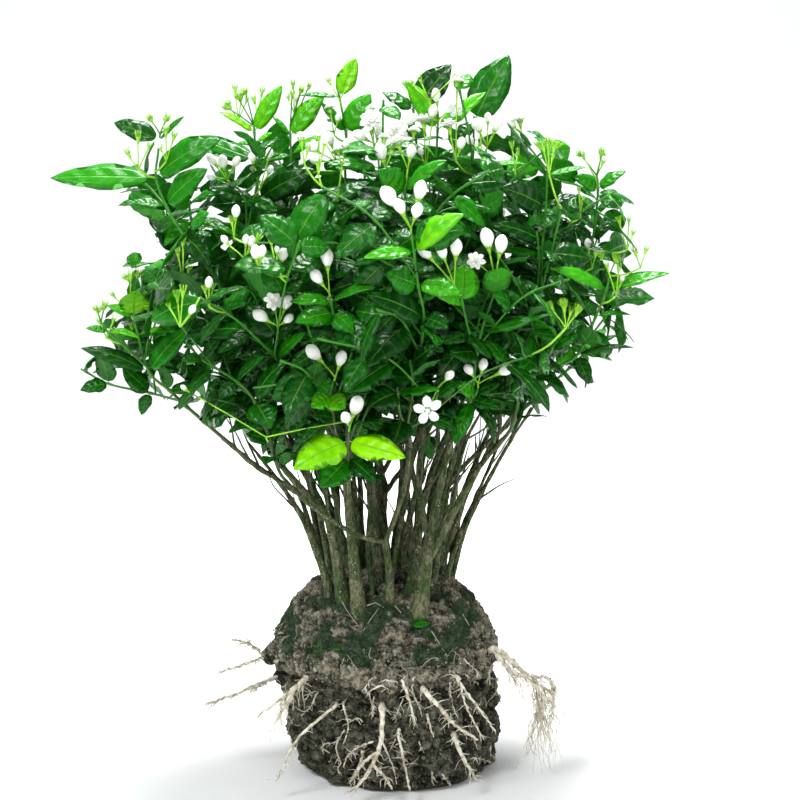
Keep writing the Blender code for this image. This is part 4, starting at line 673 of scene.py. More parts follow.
def leaf_solid(leaf, grow=0.0):
    """A thin blade, folded along its rib if it is wide, with the same triangles on both faces."""
    left_1, rib_1, right_1 = leaf_row(leaf, LEAF_STATIONS[0], grow)
    left_2, rib_2, right_2 = leaf_row(leaf, LEAF_STATIONS[1], grow)
    tip = leaf.tip + (leaf.tip - leaf.base).normalized() * grow
    if leaf.keyed and leaf.width > WIDE_LEAF:
        surface = [leaf.base, right_1, right_2, tip, left_2, left_1, rib_1, rib_2]
        upper = [(0, 1, 6), (0, 6, 5), (6, 1, 2), (6, 2, 7), (5, 6, 7), (5, 7, 4), (7, 2, 3), (4, 7, 3)]
    else:
        surface = [leaf.base, right_1, right_2, tip, left_2, left_1]
        upper = [(0, 1, 5), (5, 1, 2), (5, 2, 4), (4, 2, 3)]
    half = leaf.normal * (BLADE / 2 + grow)
    count = len(surface)
    points = [p + half for p in surface] + [p - half for p in surface]
    faces = upper + [(c + count, b + count, a + count) for a, b, c in upper]
    for a in range(6):
        b = (a + 1) % 6
        faces += [(a + count, b + count, b), (a + count, b, a)]
    return points, faces


def leaf_normal(ahead, face, towards):
    """The blade's upward side, turned by the face angle from level towards the viewer or the light."""
    level = UP - ahead * UP.dot(ahead)
    facing = towards - ahead * towards.dot(ahead)
    if level.length < 0.3:
        return facing.normalized()
    level.normalize()
    if facing.length < 0.2 or facing.normalized().dot(level) < -0.6:
        return level
    face = math.radians(face)
    return (level * math.cos(face) + facing.normalized() * math.sin(face)).normalized()


def make_leaf(node, tip, width, face, tone, towards, arch, fold, keyed):
    ahead = (tip - node).normalized()
    normal = leaf_normal(ahead, face, towards)
    return Leaf(node + ahead * 0.25, tip, normal, width, arch, fold, tone, keyed)


def leaf_fits(leaf, space, shoot, within=False):
    """Clear of all other pieces, and beyond its own stalk of its own shoot too; or clear of other branches only."""
    if within:
        return space.free(leaf_solid(leaf, LEAF_CLEARANCE), owner=shoot.name.split("/")[0])
    outer = leaf._replace(base=leaf.base.lerp(leaf.tip, 0.32), width=leaf.width * 0.9)
    return (space.free(leaf_solid(leaf, LEAF_CLEARANCE), skip=shoot.name)
            and space.free(leaf_solid(outer, LEAF_CLEARANCE * 0.5), only=shoot.name))


def leaf_place(shoot, knot):
    """Where on its shoot's line a chosen leaf stands: never quite at the top, where the flowers sit."""
    return min(shoot.knots[knot], len(shoot.line) - 2)


def hand_leaf(spec, shoot, knot, space):
    """A leaf chosen from the front view, moved a little if it would touch another piece."""
    across, up, nearer, width, face, tone = spec
    node = shoot.line[leaf_place(shoot, knot)]
    draw = random.Random(f"{shoot.name} {across} {up}")
    arch_share = draw.uniform(0.03, 0.1)
    fold = draw.uniform(2, 20)
    eye = Vector((0.0, -EYE_DISTANCE, EYE_HEIGHT))
    for within in (False, True):
        for closer, turn, scale in LEAF_CHANGES:
            tip = node.lerp(seen(across, up, node.y - nearer - closer), scale)
            length = (tip - node).length
            leaf = make_leaf(node, tip, width * 1.06 * scale, min(88, face + turn), tone, (eye - node).normalized(),
                             arch_share * length, fold, True)
            if leaf_fits(leaf, space, shoot, within):
                return leaf
    return None


def outward_of(point):
    """Away from the crown's middle, mostly sideways."""
    away = point - CROWN_MIDDLE
    away.z *= 0.5
    return away.normalized() if away.length > 1 else UP


def auto_leaf(shoot, at, turn, length, tone, space, draw):
    """A leaf set by rule at a node of its shoot, in the best free place of a few tries."""
    node = shoot.line[at]
    ahead = heading(shoot.line, at)
    outward = outward_of(node)
    side = ahead.cross(outward)
    side = side.normalized() if side.length > 0.1 else ahead.orthogonal().normalized()
    front = side.cross(ahead)
    for attempt in range(AUTO_TRIES):
        spread_turn = turn + math.radians(draw.uniform(-14, 14) * (1 + 0.35 * attempt))
        size = length * draw.uniform(0.9, 1.1) * (1 - 0.035 * attempt)
        way = side * math.cos(spread_turn) + front * math.sin(spread_turn)
        way.z *= 0.35 + 0.65 * abs(ahead.z)
        lift = math.radians(draw.uniform(8, 38))
        way = (way.normalized() * math.cos(lift) + ahead * math.sin(lift)).normalized()
        tip = node + way * size - UP * size * draw.uniform(0.04, 0.32)
        if not LEAF_LOW <= tip.z <= LEAF_HIGH:
            continue
        leaf = make_leaf(node, tip, size * draw.uniform(0.5, 0.62), draw.uniform(5, 55), tone, outward,
                         size * draw.uniform(0.03, 0.11), draw.uniform(-6, 16), False)
        if leaf_fits(leaf, space, shoot):
            return leaf
    return None


def auto_pairs(shoot, count, space):
    """Opposite pairs down from the shoot's top, each a quarter turn on, as (place on the shoot, leaf)."""
    draw = random.Random(f"{shoot.name} pairs 0")
    at = len(shoot.line) - 2
    bare = round(len(shoot.line) * (SIDE_BARE_SHARE if "side" in shoot.name else BARE_SHARE))
    found = []
    for k in range(count):
        if at < bare:
            break
        turn = math.radians(draw.uniform(-20, 20) + 90 * (k % 2))
        length = AUTO_LENGTHS[k] * draw.uniform(0.88, 1.12)
        # Pairs further down the shoot are darker: the young leaves at the top are yellower, and the lower ones are
        # painted with shade.
        tone = 0.72 - 0.16 * k + draw.uniform(-0.12, 0.12)
        for half_turn in (0.0, math.pi):
            leaf = auto_leaf(shoot, at, turn + half_turn, length, tone, space, draw)
            if leaf:
                found.append((at, leaf))
                space.add(shoot.name, leaf_solid(leaf))
        at -= round(AUTO_SPACING[k] * draw.uniform(0.85, 1.15) / LINE_STEP)
    return found


# Shoots

def clear_line(points, start, name, space, radius):
    """The smooth line through the points, its free points moved in depth until it stands clear."""
    for shift in (0, 6, -6, 12, -12, 18, -18, 26, -26):
        moved = [p.copy() for p in points]
        for p in moved[2:-1]:
            p.y += shift
        line, knots = smooth_line(moved, start)
        fat = tube(line[1::2], [radius + TWIG_CLEARANCE] * len(line[1::2]), TWIG_SIDES)
        if space.free(fat, owner=name.split("/")[0]):
            return line, knots
    return smooth_line(points, start)


def nearest(line, point):
    return min(range(len(line)), key=lambda k: (line[k] - point).length)


def add_shoot(name, points, start, first_radius, pairs, tuft, space, owner="", owner_at=0):
    line, knots = clear_line(points, start, name, space, first_radius)
    radii = spread(first_radius, 1.05, len(line))
    shoot = Shoot(name, line, knots, radii, pairs, [seen(*p) for p in tuft], owner, owner_at,
                  start or heading(line, 0))
    space.add(name, tube(line[1:], shoot.radii[1:], TWIG_SIDES))
    return shoot


def hand_shoots(name, specs, seat, space):
    """A branch's chosen shoots: the first stands on its stem's tip, and the others leave the first."""
    tip, ahead = seat
    base = tip + ahead * SEAT_GAP
    first_points = [base] + [seen(*p) for p in specs[0][0]]
    shoots = [add_shoot(f"{name}/0", first_points, ahead, 1.9, specs[0][1], specs[0][2], space)]
    for i, (points, pairs, tuft) in enumerate(specs[1:], 1):
        places = [seen(*p) for p in points]
        owner = min(shoots, key=lambda s: (s.line[nearest(s.line, places[0])] - places[0]).length)
        at = max(FORK_START, nearest(owner.line, places[0]))
        places[0] = owner.line[at].copy()
        shoots.append(add_shoot(f"{name}/{i}", places, None, owner.radii[at] * 0.85, pairs, tuft, space,
                                owner.name, at))
    return shoots


def inside_crown(point):
    away = point - CROWN_MIDDLE
    return sum((away[k] / CROWN_HALF[k]) ** 2 for k in range(3)) < 1


def side_shoots(name, shoots, count, tips, space):
    """Shoots set by rule: each leaves a chosen one and ends where the crown is still empty."""
    draw = random.Random(f"{name} side shoots")
    added = []
    for i in range(count):
        owner = shoots[i % len(shoots)]
        best = None
        for _ in range(SIDE_TRIES):
            at = round(len(owner.line) * draw.uniform(0.25, 0.8))
            at = max(2, min(at, len(owner.line) - 3))
            ahead = heading(owner.line, at)
            outward = outward_of(owner.line[at])
            way = Vector((draw.uniform(-1, 1), draw.uniform(-1, 1), draw.uniform(-0.3, 1)))
            way = (way.normalized() + outward * 0.6 + ahead * 0.35).normalized()
            tip = owner.line[at] + way * draw.uniform(*SIDE_REACH)
            if not inside_crown(tip) or tip.z < SIDE_LOW:
                continue
            room = min((tip - other).length for other in tips)
            if best is None or room > best[0]:
                middle = owner.line[at].lerp(tip, 0.45) + ahead * 14 + UP * 4
                fat = tube([owner.line[at] + way * 6, middle, tip], [3, 3, 3], TWIG_SIDES)
                if space.free(fat, owner=name):
                    best = (room, at, middle, tip)
        if best and best[0] > SIDE_ROOM:
            _, at, middle, tip = best
            radius = owner.radii[at] * 0.8
            added.append(add_shoot(f"{name}/side_{i}", [owner.line[at].copy(), middle, tip], None, radius, [], [],
                                   space, owner.name, at))
            tips.append(tip)
    return added


# Buds, flowers and spent flower heads

def bud_solid(fork, head, size):
    """A closed bud, its calyx and its stalk in one."""
    rings = [(-(head - fork).length, 0.7), (-0.75 * size, 0.7), (-0.14 * size, 0.44 * size), (0.33 * size, 0.38 * size)]
    return turned(head, head - fork, rings, BUD_SIDES, 0.62 * size)


def flower_layer(centre, facing, radius, petals, cup, turn):
    """One layer of petals as a single thin cupped body, notched between the petals."""
    facing = facing.normalized()
    side = facing.orthogonal().normalized()
    other = facing.cross(side)
    surface = [centre.copy()]
    for k in range(petals):
        for share, reach in PETAL_RIM:
            angle = turn + 2 * math.pi * (k + share) / petals
            flat = (side * math.cos(angle) + other * math.sin(angle)) * radius * reach
            surface.append(centre + flat + facing * cup * radius * reach * reach)
    rim = len(surface) - 1
    half = facing * (BLADE / 2)
    count = len(surface)
    points = [p + half for p in surface] + [p - half for p in surface]
    faces = []
    for k in range(rim):
        a = 1 + k
        b = 1 + (k + 1) % rim
        faces += [(0, a, b), (count, b + count, a + count), (a + count, b + count, b), (a + count, b, a)]
    return points, faces


def spray_plan(spec, seat, shift):
    """Where a flower stalk starts on its shoot's top, where it forks, and its heads."""
    _, fork, heads = spec
    top, ahead = seat
    base = top + ahead * SEAT_GAP
    move = Vector((0, -shift, 0))
    fork = seen(*fork) + move * 0.5
    if (fork - base).dot(ahead) < 3:
        fork = base + ahead * 3
    found = []
    for across, up, nearer, size, kind in heads:
        head = seen(across, up, fork.y - nearer) + move
        axis = (head - fork).normalized()
        if kind == "bud":
            size = min(size, (head - fork).length / 0.9)
        else:
            axis = (axis * 0.5 + (Vector((0.0, -EYE_DISTANCE, EYE_HEIGHT)) - head).normalized()).normalized()
        found.append((head, axis, size, kind))
    return base, fork, found


def spray_solids(plan, ahead):
    """A forked stalk with its buds and open flowers."""
    base, fork, heads = plan
    solids = [tube([base, fork + (fork - base).normalized() * 0.8], [1.0, 0.9], TWIG_SIDES, ahead)]
    for head, axis, size, kind in heads:
        if kind == "bud":
            solids.append(bud_solid(fork, head, size))
        else:
            solids.append(tube([fork, head - axis * 4, head + axis * 1.2], [0.8, 0.9, 1.3], HAIR_SIDES))
            solids.append(flower_layer(head, axis, size / 2, 5, 0.15, 0.0))
            solids.append(turned(head, axis, [(-0.2, 0.1 * size), (0.16 * size, 0.24 * size)], 5, 0.26 * size))
    return solids


def tuft_solids(shoot):
    """Short stalks with spent calyxes at a shoot's top."""
    top = shoot.line[-1]
    ahead = heading(shoot.line, len(shoot.line) - 1)
    solids = []
    for head in shoot.tuft:
        solids.append(tube([top - ahead * 1.5, head], [0.8, 2.0], HAIR_SIDES))
    return solids


# What lies on the soil and the fine roots, by their places in the photograph, in its pixels: (across, down)
PHOTO_MIDDLE = 388
PHOTO_FOOT = 760

# The crown's outline, which leaves set by rule stay within
CROWN_OUTLINE = (
    (50, 178), (118, 116), (150, 112), (230, 82), (330, 56), (350, 56), (410, 64), (512, 50), (518, 116),
    (550, 136), (605, 148), (630, 176), (648, 250), (672, 272), (634, 346), (592, 384), (526, 436), (496, 462),
    (420, 480), (300, 484), (240, 458), (200, 422), (150, 402), (105, 386), (82, 398), (78, 345), (100, 310),
    (128, 270), (170, 250), (118, 200))

# Flower heads that the solids leave out: clusters of (across, down, size in millimetres, kind)
CLUSTERS = (
    ((138, 137, 11, "spent"), (128, 153, 10, "spent"), (149, 146, 8, "spent")),
    ((166, 131, 10, "spent"), (174, 136, 10, "spent"), (159, 144, 10, "bud")),
    ((235, 88, 10, "spent"), (242, 94, 11, "spent"), (229, 104, 10, "spent"), (247, 99, 8, "spent")),
    ((254, 99, 10, "spent"), (262, 91, 10, "spent")),
    ((252, 158, 9, "bud"), (252, 168, 7, "bud"), (269, 154, 10, "bud"), (270, 170, 8, "bud")),
    ((236, 212, 10, "bud"), (232, 221, 9, "spent")),
    ((225, 240, 8, "bud"), (251, 242, 9, "bud"), (258, 239, 9, "spent"), (246, 240, 8, "bud")),
    ((256, 253, 12, "bud"), (262, 252, 10, "bud")),
    ((283, 255, 12, "bud"), (277, 250, 6, "bud"), (271, 242, 8, "spent")),
    ((183, 243, 9, "spent"), (178, 253, 9, "spent"), (189, 269, 9, "spent")),
    ((131, 275, 12, "spent"), (113, 295, 8, "spent"), (144, 294, 7, "spent")),
    ((99, 321, 9, "spent"), (114, 319, 9, "spent")),
    ((177, 296, 10, "spent"), (183, 291, 10, "spent"), (192, 310, 8, "bud"), (169, 306, 7, "spent")),
    ((209, 283, 9, "bud"), (205, 290, 8, "spent"), (213, 287, 7, "spent")),
    ((287, 94, 9, "bud"), (297, 97, 8, "bud"), (293, 84, 10, "spent"), (301, 90, 9, "spent")),
    ((329, 81, 9, "spent"), (350, 83, 8, "spent")),
    ((301, 138, 15, "bloom"), (308, 148, 9, "spent")),
    ((319, 131, 11, "bud"), (325, 139, 10, "bud"), (314, 146, 9, "bud"), (316, 158, 8, "bud")),
    ((330, 108, 12, "bloom"), (338, 118, 8, "bud")),
    ((338, 150, 11, "bloom"), (346, 144, 8, "bud")),
    ((370, 125, 19, "bloom"), (380, 131, 11, "bud"), (372, 109, 13, "bloom")),
    ((381, 152, 15, "bud"), (384, 138, 13, "bloom"), (392, 150, 10, "spent")),
    ((398, 143, 20, "bloom"), (411, 152, 12, "bud"), (414, 131, 13, "bloom")),
    ((424, 122, 22, "bloom"), (421, 152, 8, "bud"), (433, 112, 12, "bud")),
    ((449, 126, 20, "bloom"), (461, 144, 11, "bud"), (457, 82, 15, "bloom")),
    ((470, 141, 10, "bud"), (480, 128, 8, "bud"), (496, 128, 8, "bud")),
    ((289, 211, 11, "bud"), (312, 213, 10, "bud")),
    ((354, 193, 8, "bud"), (357, 203, 7, "bud"), (357, 236, 9, "bud")),
    ((420, 79, 9, "spent"), (412, 84, 9, "spent"), (455, 76, 8, "spent")),
    ((543, 146, 10, "spent"), (548, 144, 9, "spent"), (554, 146, 10, "spent"), (552, 158, 7, "spent")),
    ((512, 146, 9, "spent"), (518, 152, 8, "spent")),
    ((583, 155, 9, "spent"), (601, 154, 9, "spent"), (603, 162, 8, "spent")),
    ((582, 200, 10, "spent"), (579, 190, 7, "spent")),
    ((619, 221, 9, "spent"), (629, 220, 8, "spent"), (633, 233, 7, "spent")),
    ((635, 251, 10, "spent"), (646, 250, 8, "spent")),
    ((607, 266, 8, "spent"), (619, 268, 9, "spent"), (622, 279, 6, "bud")),
    ((551, 307, 10, "spent"), (564, 306, 11, "spent"), (571, 311, 9, "spent"), (578, 311, 10, "spent")),
    ((596, 251, 14, "bloom"), (588, 244, 9, "bud")),
    ((184, 388, 6, "bud"), (348, 420, 5, "bud")),
)
CLUSTER_DROP = 17
VIEW_STEP = 12.0
FRONT_LIMIT = -186.0
RULE_CLUSTERS = 34

LAID_STRAWS = (
    ((324, 563), (331, 576), (336, 588), (346, 609), (358, 626)),
    ((379, 609), (371, 620), (363, 631)),
    ((431, 631), (440, 645)),
    ((462, 614), (469, 626)),
    ((424, 609), (428, 618)),
    ((408, 607), (413, 612), (419, 618)),
    ((348, 659), (343, 674)),
    ((395, 606), (401, 612), (404, 622)),
    ((367, 606), (376, 603), (383, 608)),
    ((435, 640), (444, 652)),
)

# Fallen leaves: place, length, width, turn and tone
FALLEN_LEAVES = ((421, 626, 17, 14, 25, 0.42), (336, 651, 11, 9, 40, 0.3), (377, 594, 9, 5, 160, 0.75))

# Fine roots: radius and places
SEEN_ROOTS = (
    (1.1, ((343, 702), (345, 712), (349, 722), (348, 731), (345, 743))),
    (0.6, ((349, 722), (356, 718), (363, 721))),
    (0.6, ((346, 731), (338, 741), (324, 743))),
    (0.9, ((318, 691), (310, 705), (302, 717))),
    (0.5, ((317, 690), (310, 693), (305, 704))),
    (0.8, ((369, 678), (363, 691))),
    (1.0, ((382, 685), (369, 691), (374, 705), (372, 716))),
    (0.7, ((382, 685), (390, 690), (395, 693))),
    (0.7, ((380, 682), (389, 679), (398, 682))),
    (0.8, ((412, 678), (415, 690), (420, 709), (422, 717))),
    (1.3, ((427, 714), (431, 724), (434, 735))),
    (0.7, ((460, 664), (467, 675), (478, 684))),
    (0.6, ((463, 661), (472, 668), (481, 675))),
    (0.8, ((450, 670), (449, 690), (452, 706), (457, 720))),
    (0.9, ((488, 668), (505, 672), (520, 680))),
    (0.8, ((462, 760), (479, 757), (489, 760))),
    (1.2, ((372, 741), (357, 748), (348, 757), (343, 767))),
    (1.7, ((365, 752), (357, 764), (352, 777), (351, 786))),
    (0.9, ((383, 745), (391, 760), (394, 776), (397, 784))),
    (0.7, ((420, 743), (424, 752))),
    (0.7, ((432, 771), (433, 784))),
    (0.8, ((442, 774), (449, 784))),
    (0.6, ((396, 738), (392, 746), (390, 752))),
    (0.6, ((330, 752), (322, 748), (326, 744))),
    (0.7, ((474, 700), (480, 712), (486, 718))),
    (0.6, ((404, 700), (398, 712), (393, 722))),
)

# Roots matted with fibres: how many, and how many bends each has
MATS = {"root_right_bundle": (210, (5, 13)), "root_left": (60, (2, 6)), "root_left_high": (70, (2, 6)),
        "root_left_front": (60, (2, 6))}

# Thin stems between the main ones: radius at the foot, and a line chosen in the front view
SUCKERS = (
    (4.2, ((-60, 176, -38), (-72, 210, -36), (-84, 240, -30), (-112, 282, -16), (-140, 318, -6))),
    (3.4, ((-58, 184, -10), (-66, 235, 4), (-80, 290, 16), (-96, 345, 24))),
    (3.6, ((-24, 188, 16), (-32, 238, 30), (-50, 295, 44), (-66, 350, 56))),
    (3.2, ((-36, 184, 4), (-30, 232, 10), (-34, 290, 22), (-26, 345, 30))),
    (3.6, ((12, 188, 8), (9, 240, 18), (14, 292, 34), (6, 350, 48))),
    (3.4, ((22, 188, 26), (30, 240, 36), (34, 290, 52), (44, 350, 66))),
    (3.6, ((46, 180, -22), (54, 236, -8), (62, 290, 8), (60, 350, 14))),
    (3.0, ((56, 176, -6), (72, 226, 10), (92, 272, 24), (112, 318, 32))),
    (2.6, ((4, 178, -34), (10, 222, -28), (20, 268, -20), (26, 318, -14))),
    (2.6, ((-16, 172, -44), (-20, 215, -34), (-14, 262, -26), (-18, 316, -18))),
    (3.0, ((-40, 186, 40), (-52, 240, 62), (-74, 292, 84), (-96, 340, 102))),
    (3.0, ((30, 188, 50), (48, 240, 76), (66, 290, 98), (80, 336, 116))),
)
THICKET_STEMS = 30
BARE_TWIGS = 150

# The whole shrub, grown as the solids are, and then filled

FILL_SHOOTS = 6
FILL_TRIES = 60
FILL_REACH = (60, 150)
FILL_ROOM = 20.0
FILL_SPACING = 24
FILL_LENGTHS = (36, 60)
FILL_FACES = (20, 85)
FILL_FOLDS = (-3, 15)
FILL_LOW = 300.0
LEAF_BOX = (Vector((-316, -192, 262)), Vector((266, 240, 712)))


def in_front_outline(point):
    """Whether the front view shows the point inside the crown's outline."""
    reach = (EYE_DISTANCE + point.y) / EYE_DISTANCE
    across = PHOTO_MIDDLE + point.x / reach
    down = PHOTO_FOOT - EYE_HEIGHT - (point.z - EYE_HEIGHT) / reach
    inside = False
    for (x0, y0), (x1, y1) in zip(CROWN_OUTLINE, CROWN_OUTLINE[1:] + CROWN_OUTLINE[:1]):
        if (y0 > down) != (y1 > down) and across < x0 + (down - y0) * (x1 - x0) / (y1 - y0):
            inside = not inside
    return inside


class Sight:
    """What the front view keeps showing: the chosen leaves, the flowers and the spent heads."""

    def __init__(self):
        self.points = []
        self.faces = []

    def add(self, solid):
        count = len(self.points)
        self.points += solid[0]
        self.faces += [[v + count for v in face] for face in solid[1]]

    def close(self):
        self.tree = BVHTree.FromPolygons(self.points, self.faces)

    def hidden_by(self, points):
        """Whether a piece at these points would stand before one of them."""
        eye = Vector((0.0, -EYE_DISTANCE, EYE_HEIGHT))
        return any(self.tree.ray_cast(p, (p - eye).normalized(), 700)[0] for p in points)


def grow_shrub():
    """The stems, roots, leafy branches and flower sprays, placed as in the solids, then the fill."""
    space = Space()
    sight = Sight()
    space.add("soil", soil_solid())
    stems = {}
    tips = {}
    for name, spec in STEMS.items():
        solids, tips[name], _, stems[name] = grow_stem(spec)
        for solid in solids:
            space.add(name, solid)
    roots = {}
    for name, spec in ROOTS.items():
        solids, _, roots[name] = grow_root(name, spec)
        for solid in solids:
            space.add(name, solid)
    shoots = {}
    for name, (seat, specs) in BRANCHES.items():
        shoots[name] = hand_shoots(name, specs, tips[seat[0]][seat[1]], space)
    sprays = {}
    for name, spec in SPRAYS.items():
        branch, i = spec[0]
        line = shoots[branch][i].line
        seat = (line[-1], heading(line, len(line) - 1))
        for shift in SPRAY_SHIFTS:
            sprays[name] = spray_plan(spec, seat, shift)
            solids = spray_solids(sprays[name], seat[1])
            if all(space.free(solid) for solid in solids[1:]):
                break
        for solid in solids:
            space.add(name, solid)
            sight.add(solid)
    for name in shoots:
        for shoot in shoots[name]:
            for solid in tuft_solids(shoot):
                space.add(shoot.name, solid)
                sight.add(solid)
    leaves = {}
    for name in shoots:
        leaves[name] = []
        for shoot in shoots[name]:
            for knot, *pair in shoot.pairs:
                for spec in pair:
                    leaf = hand_leaf(spec, shoot, knot, space) if spec else None
                    if leaf:
                        leaves[name].append((shoot, leaf_place(shoot, knot), leaf))
                        space.add(shoot.name, leaf_solid(leaf))
                        sight.add(leaf_solid(leaf))
    shoot_tips = [s.line[-1] for group in shoots.values() for s in group]
    for name in shoots:
        count = SIDE_SHOOTS_BACK if name in BACK_BRANCHES else SIDE_SHOOTS_FRONT
        shoots[name] += side_shoots(name, shoots[name], count, shoot_tips, space)
    for name in shoots:
        for shoot in shoots[name]:
            count = SOLID_PAIRS_BACK if name in BACK_BRANCHES else SOLID_PAIRS_FRONT
            if shoot.pairs:
                continue
            leaves[name] += [(shoot, at, leaf) for at, leaf in auto_pairs(shoot, count, space)]
    sight.close()
    for name in shoots:
        shoots[name] += fill_shoots(name, shoots[name], shoot_tips, space, sight)
    for name in shoots:
        for shoot in shoots[name]:
            taken = [at for owner, at, _ in leaves[name] if owner is shoot]
            leaves[name] += fill_leaves(shoot, taken, space, sight)
    return space, stems, roots, shoots, sprays, leaves


def fill_shoots(name, shoots, tips, space, sight):
    """More side shoots, further in or behind, where nothing chosen gets hidden."""
    draw = random.Random(f"{name} fill")
    added = []
    for i in range(FILL_SHOOTS):
        best = None
        for _ in range(FILL_TRIES):
            owner = draw.choice(shoots)
            at = max(2, min(round(len(owner.line) * draw.uniform(0.1, 0.8)), len(owner.line) - 3))
            ahead = heading(owner.line, at)
            way = Vector((draw.uniform(-1, 1), draw.uniform(-1, 1), draw.uniform(-0.2, 1))).normalized()
            way = (way + outward_of(owner.line[at]) * 0.3 + ahead * 0.35).normalized()
            tip = owner.line[at] + way * draw.uniform(*FILL_REACH)
            if not inside_crown(tip) or tip.z < FILL_LOW or not in_front_outline(tip):
                continue
            room = min((tip - other).length for other in tips)
            if best is None or room > best[0]:
                middle = owner.line[at].lerp(tip, 0.45) + ahead * 12 + UP * 5
                fat = tube([owner.line[at] + way * 6, middle, tip], [2.2, 2.2, 2.2], TWIG_SIDES)
                if space.free(fat, owner=name) and not sight.hidden_by([owner.line[at].lerp(tip, 0.3), middle, tip]):
                    best = (room, owner, at, middle, tip)
        if best and best[0] > FILL_ROOM:
            _, owner, at, middle, tip = best
            added.append(add_shoot(f"{name}/fill_{i}", [owner.line[at].copy(), middle, tip], None,
                                   owner.radii[at] * 0.72, [], [], space, owner.name, at))
            tips.append(tip)
    return added


def fill_leaves(shoot, taken, space, sight):
    """Opposite leaves at the bare nodes of a shoot, as (shoot, place on it, leaf)."""
    draw = random.Random(f"{shoot.name} fill")
    found = []
    at = len(shoot.line) - 2
    k = 0
    while at > 2 and shoot.line[at].z > FILL_LOW - 20:
        if all(abs(at - other) > 1 for other in taken):
            turn = math.radians(draw.uniform(-25, 25) + 90 * (k % 2))
            for half_turn in (0.0, math.pi):
                leaf = fill_leaf(shoot, at, turn + half_turn, draw, space, sight)
                if leaf:
                    found.append((shoot, at, leaf))
                    space.add(shoot.name, leaf_solid(leaf))
        k += 1
        at -= round(FILL_SPACING * draw.uniform(0.8, 1.3) / LINE_STEP)
    return found


def fill_leaf(shoot, at, turn, draw, space, sight):
    """A broad leaf at a bare node that hides nothing chosen."""
    node = shoot.line[at]
    ahead = heading(shoot.line, at)
    outward = outward_of(node)
    side = ahead.cross(outward)
    side = side.normalized() if side.length > 0.1 else ahead.orthogonal().normalized()
    front = side.cross(ahead)
    height = (node.z - FILL_LOW) / (LEAF_HIGH - FILL_LOW)
    depth_in = max(0.0, min(1.0, 1.25 - (node - CROWN_MIDDLE).length / 230))
    for attempt in range(14):
        spread_turn = turn + math.radians(draw.uniform(-18, 18) * (1 + 0.5 * attempt))
        size = draw.uniform(*FILL_LENGTHS) * (1 - 0.035 * attempt) * (1 - 0.25 * max(0, height - 0.8))
        way = side * math.cos(spread_turn) + front * math.sin(spread_turn)
        way.z *= 0.35 + 0.65 * abs(ahead.z)
        lift = math.radians(draw.uniform(-5, 40))
        way = (way.normalized() * math.cos(lift) + ahead * math.sin(lift)).normalized()
        tip = node + way * size - UP * size * draw.uniform(0.04, 0.4)
        if not all(LEAF_BOX[0][k] < tip[k] < LEAF_BOX[1][k] for k in range(3)):
            continue
        # Leaves higher up are painted lighter and those deep inside the crown darker: painted light and painted shade.
        tone = 0.2 + 0.5 * height - 0.26 * depth_in + draw.uniform(-0.12, 0.16)
        leaf = make_leaf(node, tip, size * draw.uniform(0.54, 0.7), draw.uniform(*FILL_FACES), tone, outward,
                         size * draw.uniform(0.03, 0.1), draw.uniform(*FILL_FOLDS), False)
        rows = [*leaf_row(leaf, 0.3), *leaf_row(leaf, 0.68), tip]
        shown = all(in_front_outline(p) for p in rows)
        if shown and leaf_fits(leaf, space, shoot) and not sight.hidden_by(rows):
            return leaf
    return None


# Forms that repeat, each modelled once on its own axis and copied

LEAF_ROWS = (0.0, 0.04, 0.08, 0.10, 0.14, 0.20, 0.29, 0.40, 0.52, 0.64, 0.76, 0.87, 0.95, 1.0)
LEAF_COLUMNS = 8
STALK_WIDTH = 1.1
LEAF_THICKNESS = 0.55
BUD_ROWS = (0.0, 0.06, 0.2, 0.36, 0.52, 0.68, 0.82, 0.93, 1.0)
BUD_COLUMNS = 10
PETAL_ROWS = (0.0, 0.12, 0.35, 0.6, 0.82, 1.0)
CALYX_TEETH = 8


def clear_selection():
    bpy.ops.object.select_all(action="DESELECT")


def coordinates(mesh):
    points = np.empty(len(mesh.vertices) * 3)
    mesh.vertices.foreach_get("co", points)
    return points.reshape(-1, 3)


def write_coordinates(mesh, points):
    mesh.vertices.foreach_set("co", np.ascontiguousarray(points, dtype=np.float64).ravel())
    mesh.update()


def model_round_form(name, rows, columns):
    """A closed form from a sphere: its poles at 0 and 1 on +Y, its rows where they are asked for."""
    clear_selection()
    bpy.ops.mesh.primitive_uv_sphere_add(segments=columns, ring_count=len(rows) - 1, radius=1)
    form = bpy.context.object
    form.name = name
    bpy.ops.object.mode_set(mode="EDIT")
    bpy.ops.mesh.select_all(action="SELECT")
    bpy.ops.transform.rotate(value=math.pi / 2, orient_axis="X", center_override=(0, 0, 0))
    bpy.ops.object.mode_set(mode="OBJECT")
    points = coordinates(form.data)
    ring = np.rint(np.arccos(np.clip(-points[:, 1], -1, 1)) / (math.pi / (len(rows) - 1))).astype(int)
    turn = np.arctan2(points[:, 2], points[:, 0])
    pole = (ring == 0) | (ring == len(rows) - 1)
    size = np.where(pole, 0.0, 1.0)
    write_coordinates(form.data, np.column_stack((np.cos(turn) * size, np.array(rows)[ring], np.sin(turn) * size)))
    return form


def model_leaf_form():
    """A flat closed leaf: margins at x = -1 and 1, and the map of its faces, upper side left, lower side right."""
    form = model_round_form("leaf_form", LEAF_ROWS, LEAF_COLUMNS)
    points = coordinates(form.data)
    points[:, 0] = np.sign(points[:, 0]) * points[:, 0] ** 2
    write_coordinates(form.data, points)
    layer = form.data.uv_layers[0].data
    for face in form.data.polygons:
        below = 0.5 if sum(points[v][2] for v in face.vertices) < 0 else 0.0
        for corner, vertex in zip(face.loop_indices, face.vertices):
            across, along, _ = points[vertex]
            layer[corner].uv = (0.25 + 0.24 * across + below, along)
    return form


